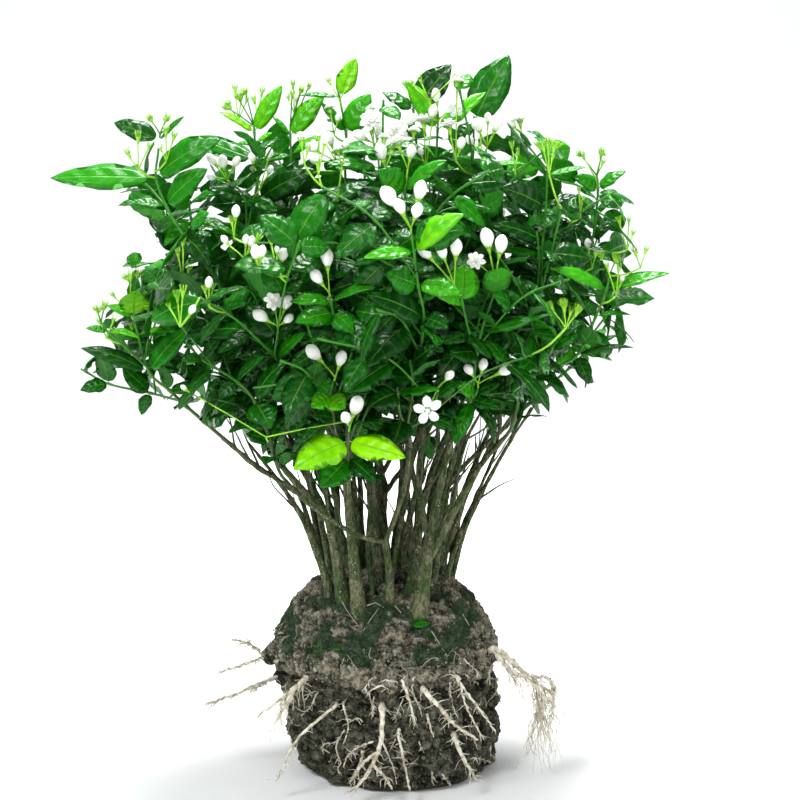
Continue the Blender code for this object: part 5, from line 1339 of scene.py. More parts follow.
def model_calyx_form():
    """A green cup along +Y with narrow teeth around its mouth: radius 1 at the mouth, length 1, teeth to 2."""
    clear_selection()
    bpy.ops.mesh.primitive_cone_add(vertices=CALYX_TEETH, radius1=0.35, radius2=1.0, depth=1.0, location=(0, 0, 0.5),
                                    end_fill_type="NGON")
    cup = bpy.context.object
    bpy.ops.object.mode_set(mode="EDIT")
    bpy.ops.mesh.subdivide(number_cuts=1)
    bpy.ops.object.mode_set(mode="OBJECT")
    teeth = []
    for k in range(CALYX_TEETH):
        turn = 2 * math.pi * (k + 0.5) / CALYX_TEETH
        clear_selection()
        bpy.ops.mesh.primitive_cone_add(vertices=3, radius1=0.26, radius2=0.04, depth=1.1,
                                        location=(math.cos(turn) * 0.92, math.sin(turn) * 0.92, 1.45))
        teeth.append(bpy.context.object)
    clear_selection()
    for tooth in teeth:
        tooth.select_set(True)
    cup.select_set(True)
    bpy.context.view_layer.objects.active = cup
    bpy.ops.object.join()
    bpy.ops.object.transform_apply()
    cup.name = "calyx_form"
    bpy.ops.object.mode_set(mode="EDIT")
    bpy.ops.mesh.select_all(action="SELECT")
    bpy.ops.transform.rotate(value=math.pi / 2, orient_axis="X", center_override=(0, 0, 0))
    bpy.ops.object.mode_set(mode="OBJECT")
    points = coordinates(cup.data)
    if points[:, 1].max() < 1.5:
        points[:, 1] *= -1
        points[:, 2] *= -1
        write_coordinates(cup.data, points)
    return cup


def copy_form(form, name):
    piece = form.copy()
    piece.data = form.data.copy()
    piece.name = name
    bpy.context.scene.collection.objects.link(piece)
    return piece


def paint(piece, **values):
    """Number attributes that the materials read, the same all over this copy."""
    count = len(piece.data.vertices)
    for name, value in values.items():
        layer = piece.data.attributes.new(name, "FLOAT", "POINT")
        layer.data.foreach_set("value", np.full(count, value) if np.isscalar(value) else value)


def join_pieces(name, copies):
    """One piece from copies, smooth, at the origin."""
    clear_selection()
    for piece in copies:
        piece.select_set(True)
    bpy.context.view_layer.objects.active = copies[0]
    if len(copies) > 1:
        bpy.ops.object.join()
    piece = bpy.context.view_layer.objects.active
    piece.name = name
    piece.data.name = name
    bpy.ops.object.shade_smooth()
    return piece


def dress(piece, finish, nodes):
    """Material, slot, body and the solids that a finished piece stands for."""
    piece.data.materials.clear()
    piece.data.materials.append(finish)
    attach(piece, "root")
    if nodes:
        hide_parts(*nodes)
    return piece


# Leaves

def blade_outline(along):
    """Half the fine leaf's width as a share of the widest: rounder at its foot than the solid's."""
    part = np.clip((along - 0.08) / 0.92, 0, 1)
    return np.abs(np.sin(np.pi * part ** 0.74)) ** (0.5 + 0.3 * part)


def leaf_points(leaf, form_points, draw):
    """Where the points of the flat form lie on this leaf."""
    across, along, thick = form_points.T
    base = np.array(leaf.base)
    way = np.array(leaf.tip) - base
    length = np.linalg.norm(way)
    ahead = way / length
    normal = np.array(leaf.normal)
    normal = normal - ahead * normal.dot(ahead)
    normal /= np.linalg.norm(normal)
    side = np.cross(ahead, normal)
    outline = blade_outline(along)
    stalk = np.clip(1 - along / 0.1, 0, 1)
    half = np.maximum(leaf.width / 2 * outline, STALK_WIDTH / 2 * (along < 0.99))
    half[(along == 0) | (along == 1)] = 0
    fold = math.radians(leaf.fold)
    waves = draw.uniform(1.6, 2.6)
    phase = draw.uniform(0, 1)
    wave = draw.uniform(0.03, 0.085) * leaf.width * (0.3 if leaf.width < 14 else 1)
    bow = draw.uniform(-0.035, 0.035) * length
    hook = draw.uniform(0.0, 0.05) * length
    twist = math.radians(draw.uniform(-16, 16))
    margin = np.abs(across)
    ripple = wave * np.sin(2 * math.pi * (waves * along + phase + 0.27 * np.sign(across))) * margin ** 2 * outline
    turn = twist * (along - 0.35)
    rise = half * (math.sin(fold) * margin ** 0.8 - 0.16 * margin ** 3) + ripple
    run = across * half * math.cos(fold)
    out = run * np.cos(turn) - rise * np.sin(turn)
    up = rise * np.cos(turn) + run * np.sin(turn)
    up += leaf.arch * 4 * along * (1 - along) - hook * along ** 5
    up += thick * (LEAF_THICKNESS / 2 + stalk * (STALK_WIDTH - LEAF_THICKNESS) / 2)
    out += bow * 4 * along * (1 - along)
    return base + np.outer(along * length, ahead) + np.outer(out, side) + np.outer(up, normal)


def leaf_piece(name, leaf, form):
    piece = copy_form(form, name)
    draw = random.Random(f"{name} {leaf.tip.x:.2f} {leaf.tip.z:.2f}")
    write_coordinates(piece.data, leaf_points(leaf, coordinates(form.data), draw) * MM)
    paint(piece, tone=min(1.0, max(0.0, leaf.tone)), shade=draw.uniform(0, 1))
    return piece


def make_leaves(leaves, form):
    for name, found in leaves.items():
        copies = [leaf_piece(f"{name}_{i}", leaf, form) for i, (_, _, leaf) in enumerate(found)]
        dress(join_pieces(name.replace("branch", "leaves"), copies), FINISHES["leaf"], [name])


# Twigs, stems and roots, drawn as round lines

def model_tubes(name, lines, roundness):
    """Round tubes along lines of points and radii, drawn as one curve and made a mesh."""
    curve = bpy.data.curves.new(name, "CURVE")
    curve.dimensions = "3D"
    curve.bevel_depth = MM
    curve.bevel_resolution = roundness
    curve.use_fill_caps = True
    for points, radii in lines:
        spline = curve.splines.new("POLY")
        spline.points.add(len(points) - 1)
        for point, place, radius in zip(spline.points, points, radii):
            point.co = (*(place * MM), 1)
            point.radius = radius
    piece = bpy.data.objects.new(name, curve)
    bpy.context.scene.collection.objects.link(piece)
    clear_selection()
    piece.select_set(True)
    bpy.context.view_layer.objects.active = piece
    bpy.ops.object.convert(target="MESH")
    piece = bpy.context.object
    piece.data.name = name
    bpy.ops.object.mode_set(mode="EDIT")
    bpy.ops.mesh.select_all(action="SELECT")
    bpy.ops.mesh.remove_doubles(threshold=0.000001)
    bpy.ops.object.mode_set(mode="OBJECT")
    bpy.ops.object.shade_smooth()
    return piece


def twig_line(shoot, nodes):
    """A shoot's line with its radii, swollen at the nodes of its leaves."""
    points = []
    radii = []
    for i, (point, radius) in enumerate(zip(shoot.line, shoot.radii)):
        swell = 1.45 if i in nodes else 1.0
        points.append(point)
        radii.append(radius * swell)
        if i in nodes and i + 1 < len(shoot.line):
            points.append(point.lerp(shoot.line[i + 1], 0.35))
            radii.append(radius)
    return points, radii


def make_twigs(shoots, leaves):
    for name, group in shoots.items():
        lines = []
        for shoot in group:
            nodes = {at for owner, at, _ in leaves[name] if owner is shoot}
            lines.append(twig_line(shoot, nodes))
            top = shoot.line[-1]
            for head in shoot.tuft:
                lines.append(([top, top.lerp(head, 0.5) + UP * 0.4, head], [0.8, 0.65, 0.8]))
        piece = model_tubes(name.replace("branch", "twigs"), lines, 1)
        dress(piece, FINISHES["twig"], [name])


def stem_surface(piece, seed):
    """Ribs, knots and small dents on a stem's bark."""
    mesh = piece.data
    points = coordinates(mesh)
    normals = np.empty(len(points) * 3)
    mesh.vertices.foreach_get("normal", normals)
    normals = normals.reshape(-1, 3)
    shift = Vector((seed * 17.3, seed * 5.1, 0))
    for i, place in enumerate(points):
        spot = Vector(place) / MM
        rib = noise.noise(Vector((spot.x / 5, spot.y / 5, spot.z / 42)) + shift)
        knot = noise.noise(spot / 13 + shift)
        grit = noise.noise(spot / 2.6 + shift)
        points[i] += normals[i] * MM * (0.75 * rib + 0.8 * max(0, knot) + 0.22 * grit)
    write_coordinates(mesh, points)


def finer(line, radii, steps=2):
    """The same line with points between its points."""
    points = []
    sizes = []
    for i in range(len(line) - 1):
        before = line[max(0, i - 1)]
        after = line[min(len(line) - 1, i + 2)]
        for k in range(steps):
            points.append(curve_point(before, line[i], line[i + 1], after, k / steps))
            sizes.append(radii[i] + (radii[i + 1] - radii[i]) * k / steps)
    return points + [line[-1]], sizes + [radii[-1]]


def make_stems(stems):
    for i, (name, lines) in enumerate(stems.items()):
        drawn = []
        for k, (line, radii) in enumerate(lines):
            line, radii = finer(line, radii, 3)
            if k == 0:
                foot = (line[1] - line[0]).normalized()
                line = [line[0] - foot * depth for depth in (18, 12, 6, 3)] + line
                flare = [radii[0] * (1.16 if depth < 10 else 1.1) for depth in (18, 12, 6, 3)]
                radii = flare + [r * (1 + 0.16 * math.exp(-j / 4)) for j, r in enumerate(radii)]
            drawn.append((line, radii))
        piece = model_tubes(name.replace("stem", "trunk"), drawn, 4)
        stem_surface(piece, i)
        dress(piece, FINISHES["bark"], [name])


def root_hairs(name, lines, count, reach):
    """Fine side roots that curl away from a root's lines."""
    draw = random.Random(f"{name} hairs")
    hairs = []
    for _ in range(count):
        line, radii = draw.choice(lines)
        at = draw.randrange(1, max(2, len(line) - 1))
        ahead = heading(line, at)
        across = Vector((draw.uniform(-1, 1), draw.uniform(-1, 0.5), draw.uniform(-1, 0.8)))
        way = ((across - ahead * across.dot(ahead)).normalized() + ahead * draw.uniform(-0.2, 0.9)).normalized()
        length = draw.uniform(0.25, 1) * reach
        points = [line[at].copy()]
        for _ in range(5):
            way = (way + Vector((draw.uniform(-1, 1), draw.uniform(-1, 1), draw.uniform(-1.1, 0.7))) * 0.5).normalized()
            points.append(points[-1] + way * length / 5)
        if min(p.z for p in points) < 2 or max(p.x for p in points) > 264 or min(p.y for p in points) < -190:
            continue
        width = draw.uniform(0.22, 0.5)
        hairs.append((points, [width * share for share in (1.3, 1, 0.9, 0.75, 0.6, 0.35)]))
    return hairs


def mat_fibres(name, lines, count, steps):
    """Long fibres that run along a root's lines, sag from them and mat together."""
    draw = random.Random(f"{name} mat")
    fibres = []
    for _ in range(count):
        line, _ = draw.choice(lines)
        at = draw.randrange(1, len(line) - 1)
        way = heading(line, at)
        points = [line[at] + Vector([draw.uniform(-2.5, 2.5) for _ in range(3)])]
        for _ in range(draw.randint(*steps)):
            way = (way + Vector([draw.uniform(-0.5, 0.5) for _ in range(3)]) - UP * 0.22).normalized()
            points.append(points[-1] + way * draw.uniform(3.5, 6))
        if min(p.z for p in points) < 2 or max(p.x for p in points) > 172 or min(p.x for p in points) < -190:
            continue
        width = draw.uniform(0.22, 0.5)
        fibres.append((points, spread(width, width * 0.5, len(points))))
    return fibres


def knotty(line, radii, draw):
    """A line made crooked, with its thickness uneven, as a root's is."""
    line, radii = finer(line, radii, 2)
    line = [p + Vector([draw.uniform(-0.6, 0.6) for _ in range(3)]) for p in line]
    return line, [r * draw.uniform(0.8, 1.2) for r in radii]


def make_roots(roots):
    for name, lines in roots.items():
        draw = random.Random(f"{name} bends")
        drawn = []
        for k, (line, radii) in enumerate(lines):
            line, radii = knotty(line, radii, draw)
            if k == 0:
                out = (line[1] - line[0]).normalized()
                line = [line[0] - out * 9] + line
                radii = [radii[0]] + radii
            radii[-1] *= 0.5
            drawn.append((line, radii))
        drawn += root_hairs(name, lines, 14 * len(lines) + 10, 14)
        if name in MATS:
            drawn += mat_fibres(name, lines, *MATS[name])
        dress(model_tubes(name.replace("root", "rootlets"), drawn, 1), FINISHES["root"], [name])


def make_fine_roots(tree):
    """Roots too fine for the solids: those seen in front, and others set by rule all round."""
    draw = random.Random("fine roots")
    lines = []
    for width, places in SEEN_ROOTS:
        line = []
        for across, down in places:
            hit, out = ground(tree, across - PHOTO_MIDDLE, PHOTO_FOOT - down)
            if hit:
                line.append(hit + out * (width + draw.uniform(0.2, 2.5)))
            elif line:
                line.append(line[-1] + Vector((0, 0, -8)))
        line, _ = smooth_line(line)
        radii = spread(width, width * 0.45, len(line))
        lines.append(knotty(line, radii, draw))
        lines += root_hairs(f"{places}", [(line, radii)], 3 + round(len(line) * 1.1), 9)
    for _ in range(60):
        turn = draw.uniform(-0.1, math.pi + 0.1) if draw.random() < 0.75 else draw.uniform(0, 2 * math.pi)
        start, out = ground_round(tree, turn, draw.uniform(30, 112))
        way = (Vector((draw.uniform(-0.6, 0.6), draw.uniform(-0.6, 0.6), -1)) + out * 0.3).normalized()
        width = draw.uniform(0.5, 1.1)
        line = lying_line(tree, start - out * 0.5, way, draw.uniform(14, 46), draw, width + 0.5, 0.45)
        line = [p for p in line if p.z > 3]
        if len(line) < 3:
            continue
        radii = spread(width, width * 0.4, len(line))
        lines.append((line, radii))
        lines += root_hairs(f"{turn}", [(line, radii)], 8, 8)
    dress(model_tubes("fine_roots", lines, 1), FINISHES["root"], [])


# Thin stems and bare twigs that the solids leave out

def thicket(draw):
    """Stems set by rule behind the chosen ones, which spread out as they rise."""
    found = []
    for k in range(THICKET_STEMS):
        across = -68 + 136 * (k + draw.uniform(0.2, 0.8)) / THICKET_STEMS
        foot = Vector((across, draw.uniform(-8, 62), 0))
        foot.z = dome_height(foot.x, foot.y)
        lean = Vector((foot.x * 0.5 + draw.uniform(-14, 14), foot.y * 0.5 + draw.uniform(-10, 16), 0))
        points = [foot]
        for height, share in ((225, 0.35), (270, 0.8), (315, 1.5), (352, 2.2)):
            points.append(Vector((foot.x, foot.y, height)) + lean * share
                          + Vector((draw.uniform(-5, 5), draw.uniform(-5, 5), 0)))
        found.append((draw.uniform(2.4, 4.6), points))
    return found


def make_suckers():
    """Thin shaded stems between and behind the main ones."""
    lines = []
    chosen = [(radius, [seen(*p) for p in points]) for radius, points in SUCKERS]
    for foot_radius, points in chosen + thicket(random.Random("thicket")):
        line, _ = smooth_line(points)
        foot = line[0] - UP * 16
        lines.append(([foot] + line, [foot_radius] + spread(foot_radius, 1.3, len(line))))
    drawn = [finer(line, radii, 2) for line, radii in lines]
    piece = model_tubes("thin_stems", drawn, 3)
    stem_surface(piece, 11)
    dress(piece, FINISHES["bark"], [])
    return lines


def make_bare_twigs(stems, suckers, space):
    """Fine leafless twigs low in the crown."""
    draw = random.Random("bare twigs")
    owners = [line for lines in stems.values() for line in lines] + suckers
    drawn = []
    for _ in range(BARE_TWIGS * 5):
        line, radii = draw.choice(owners)
        at = draw.randrange(2, len(line) - 1)
        if not 225 < line[at].z < 345:
            continue
        out = Vector((line[at].x, line[at].y, 0)).normalized()
        way = (out * draw.uniform(0.2, 1.0) + UP * draw.uniform(0.8, 1.4)
               + Vector([draw.uniform(-0.5, 0.5) for _ in range(3)])).normalized()
        points = [line[at].copy()]
        length = draw.uniform(25, 70)
        for _ in range(6):
            way = (way + UP * 0.12 + Vector([draw.uniform(-0.22, 0.22) for _ in range(3)])).normalized()
            points.append(points[-1] + way * length / 6)
        if not space.free(tube(points[1:], [0.9] * (len(points) - 1), TWIG_SIDES)):
            continue
        width = min(radii[at] * 0.7, draw.uniform(0.8, 1.8))
        drawn.append((points, spread(width, 0.45, len(points))))
        if len(drawn) == BARE_TWIGS:
            break
    dress(model_tubes("bare_twigs", drawn, 1), FINISHES["bark"], [])


# Flowers

def along_axis(points, place, axis, turn=0.0):
    """Points of a form along +Y, turned to an axis and moved to a place."""
    ahead = np.array(axis.normalized())
    side = np.array(axis.orthogonal().normalized())
    other = np.cross(ahead, side)
    across = np.cos(turn) * side + np.sin(turn) * other
    up = np.cross(across, ahead)
    return np.array(place) + np.outer(points[:, 0], across) + np.outer(points[:, 1], ahead) + np.outer(points[:, 2], up)


def bud_piece(name, form, head, axis, size, draw):
    """A closed bud: a plump spiral of petals with a blunt tip."""
    points = coordinates(form.data).copy()
    along = points[:, 1]
    turn = np.arctan2(points[:, 2], points[:, 0])
    body = 0.39 * np.sin(math.pi * np.clip(along, 0, 1) ** 1.15) ** 0.6
    body = np.maximum(body, 0.15 * (along < 0.4))
    spiral = 1 + 0.06 * np.sin(3 * turn + 4.5 * along)
    radius = np.where((along == 0) | (along == 1), 0, body * spiral) * size
    length = size * 1.2
    local = np.column_stack((np.cos(turn) * radius, (along - 0.46) * length, np.sin(turn) * radius))
    piece = copy_form(form, name)
    write_coordinates(piece.data, along_axis(local, head, axis, draw.uniform(0, 6)) * MM)
    paint(piece, reach=along)
    return piece


def petal_piece(name, form, centre, facing, turn, inner, reach, width, rise, curl):
    """A cupped petal that leaves the flower's middle at a turn."""
    points = coordinates(form.data).copy()
    across, along, thick = points.T
    ahead = np.array(facing)
    side = np.array(facing.orthogonal().normalized())
    other = np.cross(ahead, side)
    out = np.cos(turn) * side + np.sin(turn) * other
    flank = np.cross(ahead, out)
    half = width / 2 * np.sin(math.pi * (0.12 + 0.88 * along) ** 1.3) ** 0.6
    half = np.where(along == 0, 0.0, np.where(along == 1, 0.0, half))
    radial = inner + (reach - inner) * along
    height = rise * along ** 0.7 - curl * along ** 3 + 0.16 * half * across ** 2 * 2 + thick * 0.3
    place = np.array(centre) + np.outer(radial, out) + np.outer(across * half, flank) + np.outer(height, ahead)
    piece = copy_form(form, name)
    write_coordinates(piece.data, place * MM)
    paint(piece, reach=0.35 + 0.65 * along)
    return piece


# Rings of petals: how many, then shares of the flower's size: inner end, outer end, width, rise and curl
SINGLE_FLOWER = ((5, 0.07, 0.5, 0.30, 0.05, 0.06),)
DOUBLE_FLOWER = ((7, 0.05, 0.55, 0.31, 0.12, 0.07), (6, 0.03, 0.40, 0.27, 0.22, 0.04), (4, 0.02, 0.24, 0.24, 0.3, 0.0))


def flower_pieces(name, forms, centre, facing, size, rings, draw):
    """An open flower: rings of rounded petals around a small closed middle."""
    found = []
    start = draw.uniform(0, 6)
    for ring, (count, inner, reach, width, rise, curl) in enumerate(rings):
        for k in range(count):
            turn = start + ring * 0.5 + 2 * math.pi * (k + draw.uniform(-0.12, 0.12)) / count
            found.append(petal_piece(f"{name}_{ring}_{k}", forms["petal"], centre + facing * 0.4 * ring, facing, turn,
                                     size * inner, size * reach * draw.uniform(0.86, 1.05), size * width,
                                     size * rise, size * curl))
    found.append(bud_piece(name + "_middle", forms["bud"], centre + facing * size * 0.08, facing, size * 0.2, draw))
    return found


def calyx_piece(name, form, base, axis, radius, cup, teeth, flare, draw):
    """A green cup of this radius and length, with teeth of this length."""
    points = coordinates(form.data).copy()
    along = points[:, 1]
    beyond = np.clip(along - 1, 0, 1)
    spread_out = np.where(along > 1, 1 + flare * beyond, 1)
    shape = np.column_stack((points[:, 0] * radius * spread_out,
                             np.clip(along, 0, 1) * cup + beyond * teeth,
                             points[:, 2] * radius * spread_out))
    piece = copy_form(form, name)
    write_coordinates(piece.data, along_axis(shape, base, axis, draw.uniform(0, 6)) * MM)
    return piece


def spray_pieces(name, fork, heads, forms, rings):
    """The white and the green pieces of a spray's heads, and the lines of their stalks."""
    draw = random.Random(f"{name} looks")
    white = []
    green = []
    stalks = []
    for i, (head, axis, size, kind) in enumerate(heads):
        label = f"{name}_{i}"
        radius = max(1.5, min(2.6, size * 0.16))
        cup = 0.45 * size
        teeth = draw.uniform(2.5, 4.5)
        flare = draw.uniform(0.2, 0.7)
        if kind == "bud":
            foot = head - axis * size * 0.46
            white.append(bud_piece(label, forms["bud"], head, axis, size, draw))
        elif kind == "bloom":
            foot = head - axis * 1.5
            white += flower_pieces(label, forms, head, axis, size, rings, draw)
        else:
            foot = head
            radius = size * 0.21
            cup = 0.6 * size
            teeth = 0.55 * size
            flare = draw.uniform(0.3, 1.0)
        cup = min(cup, (foot - fork).length * 0.6)
        green.append(calyx_piece(label + "_calyx", forms["calyx"], foot - axis * cup, axis, radius, cup, teeth,
                                 flare, draw))
        stem_end = foot - axis * cup * 0.9
        stalks.append(([fork, fork.lerp(stem_end, 0.5) + UP * 0.6, stem_end], [0.75, 0.6, 0.8]))
    return white, green, stalks


def make_sprays(sprays, forms):
    for name, (base, fork, heads) in sprays.items():
        rings = SINGLE_FLOWER if name == "spray_open_flower" else DOUBLE_FLOWER
        white, green, stalks = spray_pieces(name, fork, heads, forms, rings)
        stalks.append(([base, base.lerp(fork, 0.5), fork], [1.0, 0.85, 0.95]))
        dress(join_pieces(name.replace("spray", "petals"), white), FINISHES["petal"], [name])
        dress(join_pieces(name.replace("spray", "calyxes"), green), FINISHES["calyx"], [name])
        dress(model_tubes(name.replace("spray", "stalks"), stalks, 1), FINISHES["calyx"], [name])


def make_tufts(shoots, forms):
    """The spent flower heads at the tops of the shoots: bunches of green cups with slender teeth."""
    found = []
    for group in shoots.values():
        for shoot in group:
            draw = random.Random(f"{shoot.name} tuft")
            for i, head in enumerate(shoot.tuft):
                axis = (head - shoot.line[-1]).normalized()
                for k in range(3):
                    lean = Vector([draw.uniform(-0.6, 0.6) for _ in range(3)]) * min(1, k)
                    way = (axis + lean).normalized()
                    size = draw.uniform(0.75, 1.1) * (1 if k == 0 else 0.8)
                    found.append(calyx_piece(f"{shoot.name}_tuft_{i}_{k}", forms["calyx"], head - axis * 3, way,
                                             1.9 * size, 5.4 * size, draw.uniform(3.5, 6), draw.uniform(0.4, 1.2),
                                             draw))
    dress(join_pieces("spent_flower_heads", found), FINISHES["calyx"], [])


def nearest_shoot(shoots, fork):
    """The shoot point that carries a fork best: close by, and below it rather than above."""
    best = None
    for group in shoots.values():
        for shoot in group:
            for point in shoot.line[2:]:
                away = fork - point
                cost = away.length + (25 if away.z < 4 else 0)
                if best is None or cost < best[0]:
                    best = (cost, point)
    return best[1]


def stand_clear(fork, heads, tree):
    """The fork and the heads brought nearer, along the front view's sight lines, until the leaves let them show."""
    eye = Vector((0.0, -EYE_DISTANCE, EYE_HEIGHT))
    for step in range(18):
        nearer = 1 - step * VIEW_STEP / EYE_DISTANCE
        moved = [eye + (head - eye) * nearer for head in heads]
        if min(p.y for p in moved) < FRONT_LIMIT:
            return None
        if not any(tree.ray_cast(p, (eye - p).normalized(), EYE_DISTANCE)[0] for p in moved):
            return eye + (fork - eye) * nearer, moved
    return None


def seen_clusters(shoots, tree):
    """The clusters chosen in the front view, as (fork, heads, end of the shoot that carries them)."""
    draw = random.Random("clusters")
    found = []
    for cluster in CLUSTERS:
        across = sum(spec[0] for spec in cluster) / len(cluster) - PHOTO_MIDDLE
        up = PHOTO_FOOT - max(spec[1] for spec in cluster) - CLUSTER_DROP
        best = None
        for group in shoots.values():
            for shoot in group:
                for point in shoot.line[3:]:
                    away = (seen(across, up, point.y) - point).length
                    cost = away + 0.06 * (point.y + 150)
                    if best is None or cost < best[0]:
                        best = (cost, point.y)
        depth = best[1]
        fork = seen(across, up, depth)
        heads = [seen(spec[0] - PHOTO_MIDDLE, PHOTO_FOOT - spec[1], depth + draw.uniform(-5, 5)) for spec in cluster]
        placed = stand_clear(fork, heads, tree)
        if placed:
            found.append((*placed, [spec[2:] for spec in cluster]))
    return found


def rule_clusters(shoots):
    """Clusters on the tops of shoots at the sides and the back."""
    draw = random.Random("rule clusters")
    tops = [s for group in shoots.values() for s in group if s.line[-1].y > 10 and s.line[-1].z > 420 and not s.tuft]
    draw.shuffle(tops)
    found = []
    for shoot in tops[:RULE_CLUSTERS]:
        ahead = heading(shoot.line, len(shoot.line) - 1)
        fork = shoot.line[-1] + (ahead + UP * 0.6).normalized() * draw.uniform(7, 11)
        heads = []
        kinds = []
        for _ in range(draw.choice((2, 3, 3, 4))):
            way = (ahead + UP * 0.8 + Vector([draw.uniform(-0.8, 0.8) for _ in range(3)])).normalized()
            heads.append(fork + way * draw.uniform(12, 19))
            kinds.append(draw.choice(((11, "bud"), (13, "bud"), (9, "bud"), (19, "bloom"), (9, "spent"), (10, "spent"))))
        if all(LEAF_BOX[0][k] < p[k] < LEAF_BOX[1][k] for p in heads for k in range(3)):
            found.append((fork, heads, kinds))
    return found


def make_clusters(shoots, leaves, forms):
    """More buds, flowers and spent cups than the solids hold."""
    points = []
    faces = []
    for found in leaves.values():
        for _, _, leaf in found:
            blade, sides = leaf_solid(leaf)
            faces += [[v + len(points) for v in face] for face in sides]
            points += blade
    tree = BVHTree.FromPolygons(points, faces)
    white = []
    green = []
    stalks = []
    for i, (fork, heads, kinds) in enumerate(seen_clusters(shoots, tree) + rule_clusters(shoots)):
        foot = nearest_shoot(shoots, fork)
        planned = [(head, ((head - fork).normalized() + UP * 0.2).normalized(), size, kind)
                   for head, (size, kind) in zip(heads, kinds)]
        petals, cups, lines = spray_pieces(f"cluster_{i}", fork, planned, forms, DOUBLE_FLOWER)
        white += petals
        green += cups
        bend = foot.lerp(fork, 0.5) - UP * 0.08 * (fork - foot).length
        stalk, _ = smooth_line([foot, bend, fork])
        stalks += lines + [(stalk, spread(1.0, 0.9, len(stalk)))]
    dress(join_pieces("more_petals", white), FINISHES["petal"], [])
    dress(join_pieces("more_calyxes", green), FINISHES["calyx"], [])
    dress(model_tubes("more_stalks", stalks, 1), FINISHES["calyx"], [])


# The soil ball

SOIL_COLUMNS = 370
SOIL_ROWS = 240
UNDERSIDE_PART = 0.1
CRUST_PART = 0.55
HOLLOW_DEPTH = 13.0
HOLLOW_SIZE = 22.0
CRUST_WAVE = 8.0
COLLAR_HEIGHT = 8.0
COLLAR_SIZE = 9.0
CLOD_COUNT = 1200
STRAW_COUNT = 130
SPRIG_COUNT = 1500
MOSS_BAND = (112, 128, 172, 192)


def hollow(place):
    """How deep the broken surface is hollowed at a place."""
    return HOLLOW_DEPTH * max(0.0, noise.noise(place / HOLLOW_SIZE))


def crust_shift(turn):
    """How far the crust's edge hangs below or stands above its usual height."""
    return CRUST_WAVE * noise.noise(Vector((math.cos(turn), math.sin(turn), 0.4)) * 1.9)


def side_point(turn, height):
    """A point of the ball's side, with hollows and a waving crust, and flat at its foot."""
    radius = side_radius(turn, height)
    place = Vector((radius * math.cos(turn), radius * math.sin(turn), height))
    radius -= hollow(place) * min(1.0, height / 12)
    return Vector((ball_shift(height) + radius * math.cos(turn), radius * math.sin(turn),
                   height + crust_shift(turn) * (height / RIM_HEIGHT) ** 2))


def soil_point(turn, part):
    """A point of the ball's plain surface: part 0 is the middle of the underside, 1 the top of the dome."""
    if part < UNDERSIDE_PART:
        edge = side_point(turn, 0)
        return Vector((BALL_SHIFT_LOW, 0, 0)).lerp(edge, part / UNDERSIDE_PART)
    if part < CRUST_PART:
        return side_point(turn, RIM_HEIGHT * (part - UNDERSIDE_PART) / (CRUST_PART - UNDERSIDE_PART))
    rim = side_point(turn, RIM_HEIGHT)
    share = math.cos(math.pi / 2 * (part - CRUST_PART) / (1 - CRUST_PART))
    x, y = Vector((BALL_SHIFT_TOP, 0)).lerp(rim.xy, share)
    height = dome_height(x, y)
    dip = 0.7 * hollow(Vector((x, y, height))) * (1 - share * share)
    return Vector((x, y, height - dip + (rim.z - RIM_HEIGHT) * share ** 6))


def soil_out(turn, part):
    """The way out of the plain surface."""
    ahead = (soil_point(turn, min(1, part + 0.01)) - soil_point(turn, part - 0.01)).normalized()
    return Vector((-math.sin(turn), math.cos(turn), 0)).cross(ahead).normalized()


def soil_detail(place):
    """How far the crumbled surface stands out here, in millimetres."""
    clods = 2.8 * noise.noise(place / 12)
    crumbs = 2.2 * noise.noise(place / 5.5) + 1.3 * noise.noise(place / 2.8)
    near, next_near = noise.voronoi(place / 10)[0][:2]
    cracks = -2.2 * max(0.0, 1 - (next_near - near) / 0.14)
    return clods + crumbs + cracks


def collar(place, exits):
    """How far the soil heaps up around the roots that leave it."""
    return max(COLLAR_HEIGHT * math.exp(-((place - exit) / COLLAR_SIZE).length_squared) for exit in exits)


def moss_share(place):
    """How mossy the soil is here: a broken band over the shoulder."""
    low, full, fade, high = MOSS_BAND
    band = min(1.0, max(0.0, (place.z - low) / (full - low))) * min(1.0, max(0.0, (high - place.z) / (high - fade)))
    patch = noise.noise(place / 30 + UP * 3) + 0.5 * noise.noise(place / 11) + 0.25 * noise.noise(place / 4)
    return band * min(1.0, max(0.0, patch * 5 + 0.55))


def model_soil(exits):
    """The whole ball with its clods and cracks, from a sphere shaped row by row."""
    clear_selection()
    bpy.ops.mesh.primitive_uv_sphere_add(segments=SOIL_COLUMNS, ring_count=SOIL_ROWS, radius=1)
    piece = bpy.context.object
    piece.name = "soil"
    points = coordinates(piece.data)
    relief = np.zeros(len(points))
    moss = np.zeros(len(points))
    for i, (x, y, z) in enumerate(points):
        turn = math.atan2(y, x)
        part = 1 - math.acos(max(-1, min(1, z))) / math.pi
        place = soil_point(turn, part)
        if part > UNDERSIDE_PART:
            moss[i] = moss_share(place)
            relief[i] = soil_detail(place) * min(1.0, (part - UNDERSIDE_PART) / 0.03)
            if part < 0.99:
                rough = relief[i] + 0.9 * moss[i] * noise.noise(place / 1.9)
                place += soil_out(turn, part) * (rough + collar(place, exits))
            place.z = max(place.z, 0.0)
        points[i] = place
    write_coordinates(piece.data, points * MM)
    # The relief, how far the surface stands out, also darkens the colour in the cracks and hollows: painted shade.
    paint(piece, relief=0.5 + relief / 8, moss=moss)
    bpy.ops.object.shade_smooth()
    return piece, BVHTree.FromPolygons([Vector(p) for p in points], [list(f.vertices) for f in piece.data.polygons])


def ground(tree, across, up):
    """Where the front view meets the soil at this place of the middle plane, and the way out of it."""
    eye = Vector((0.0, -EYE_DISTANCE, EYE_HEIGHT))
    hit, out, _, _ = tree.ray_cast(eye, (seen(across, up, 0) - eye).normalized())
    return (hit, out) if hit else (None, None)


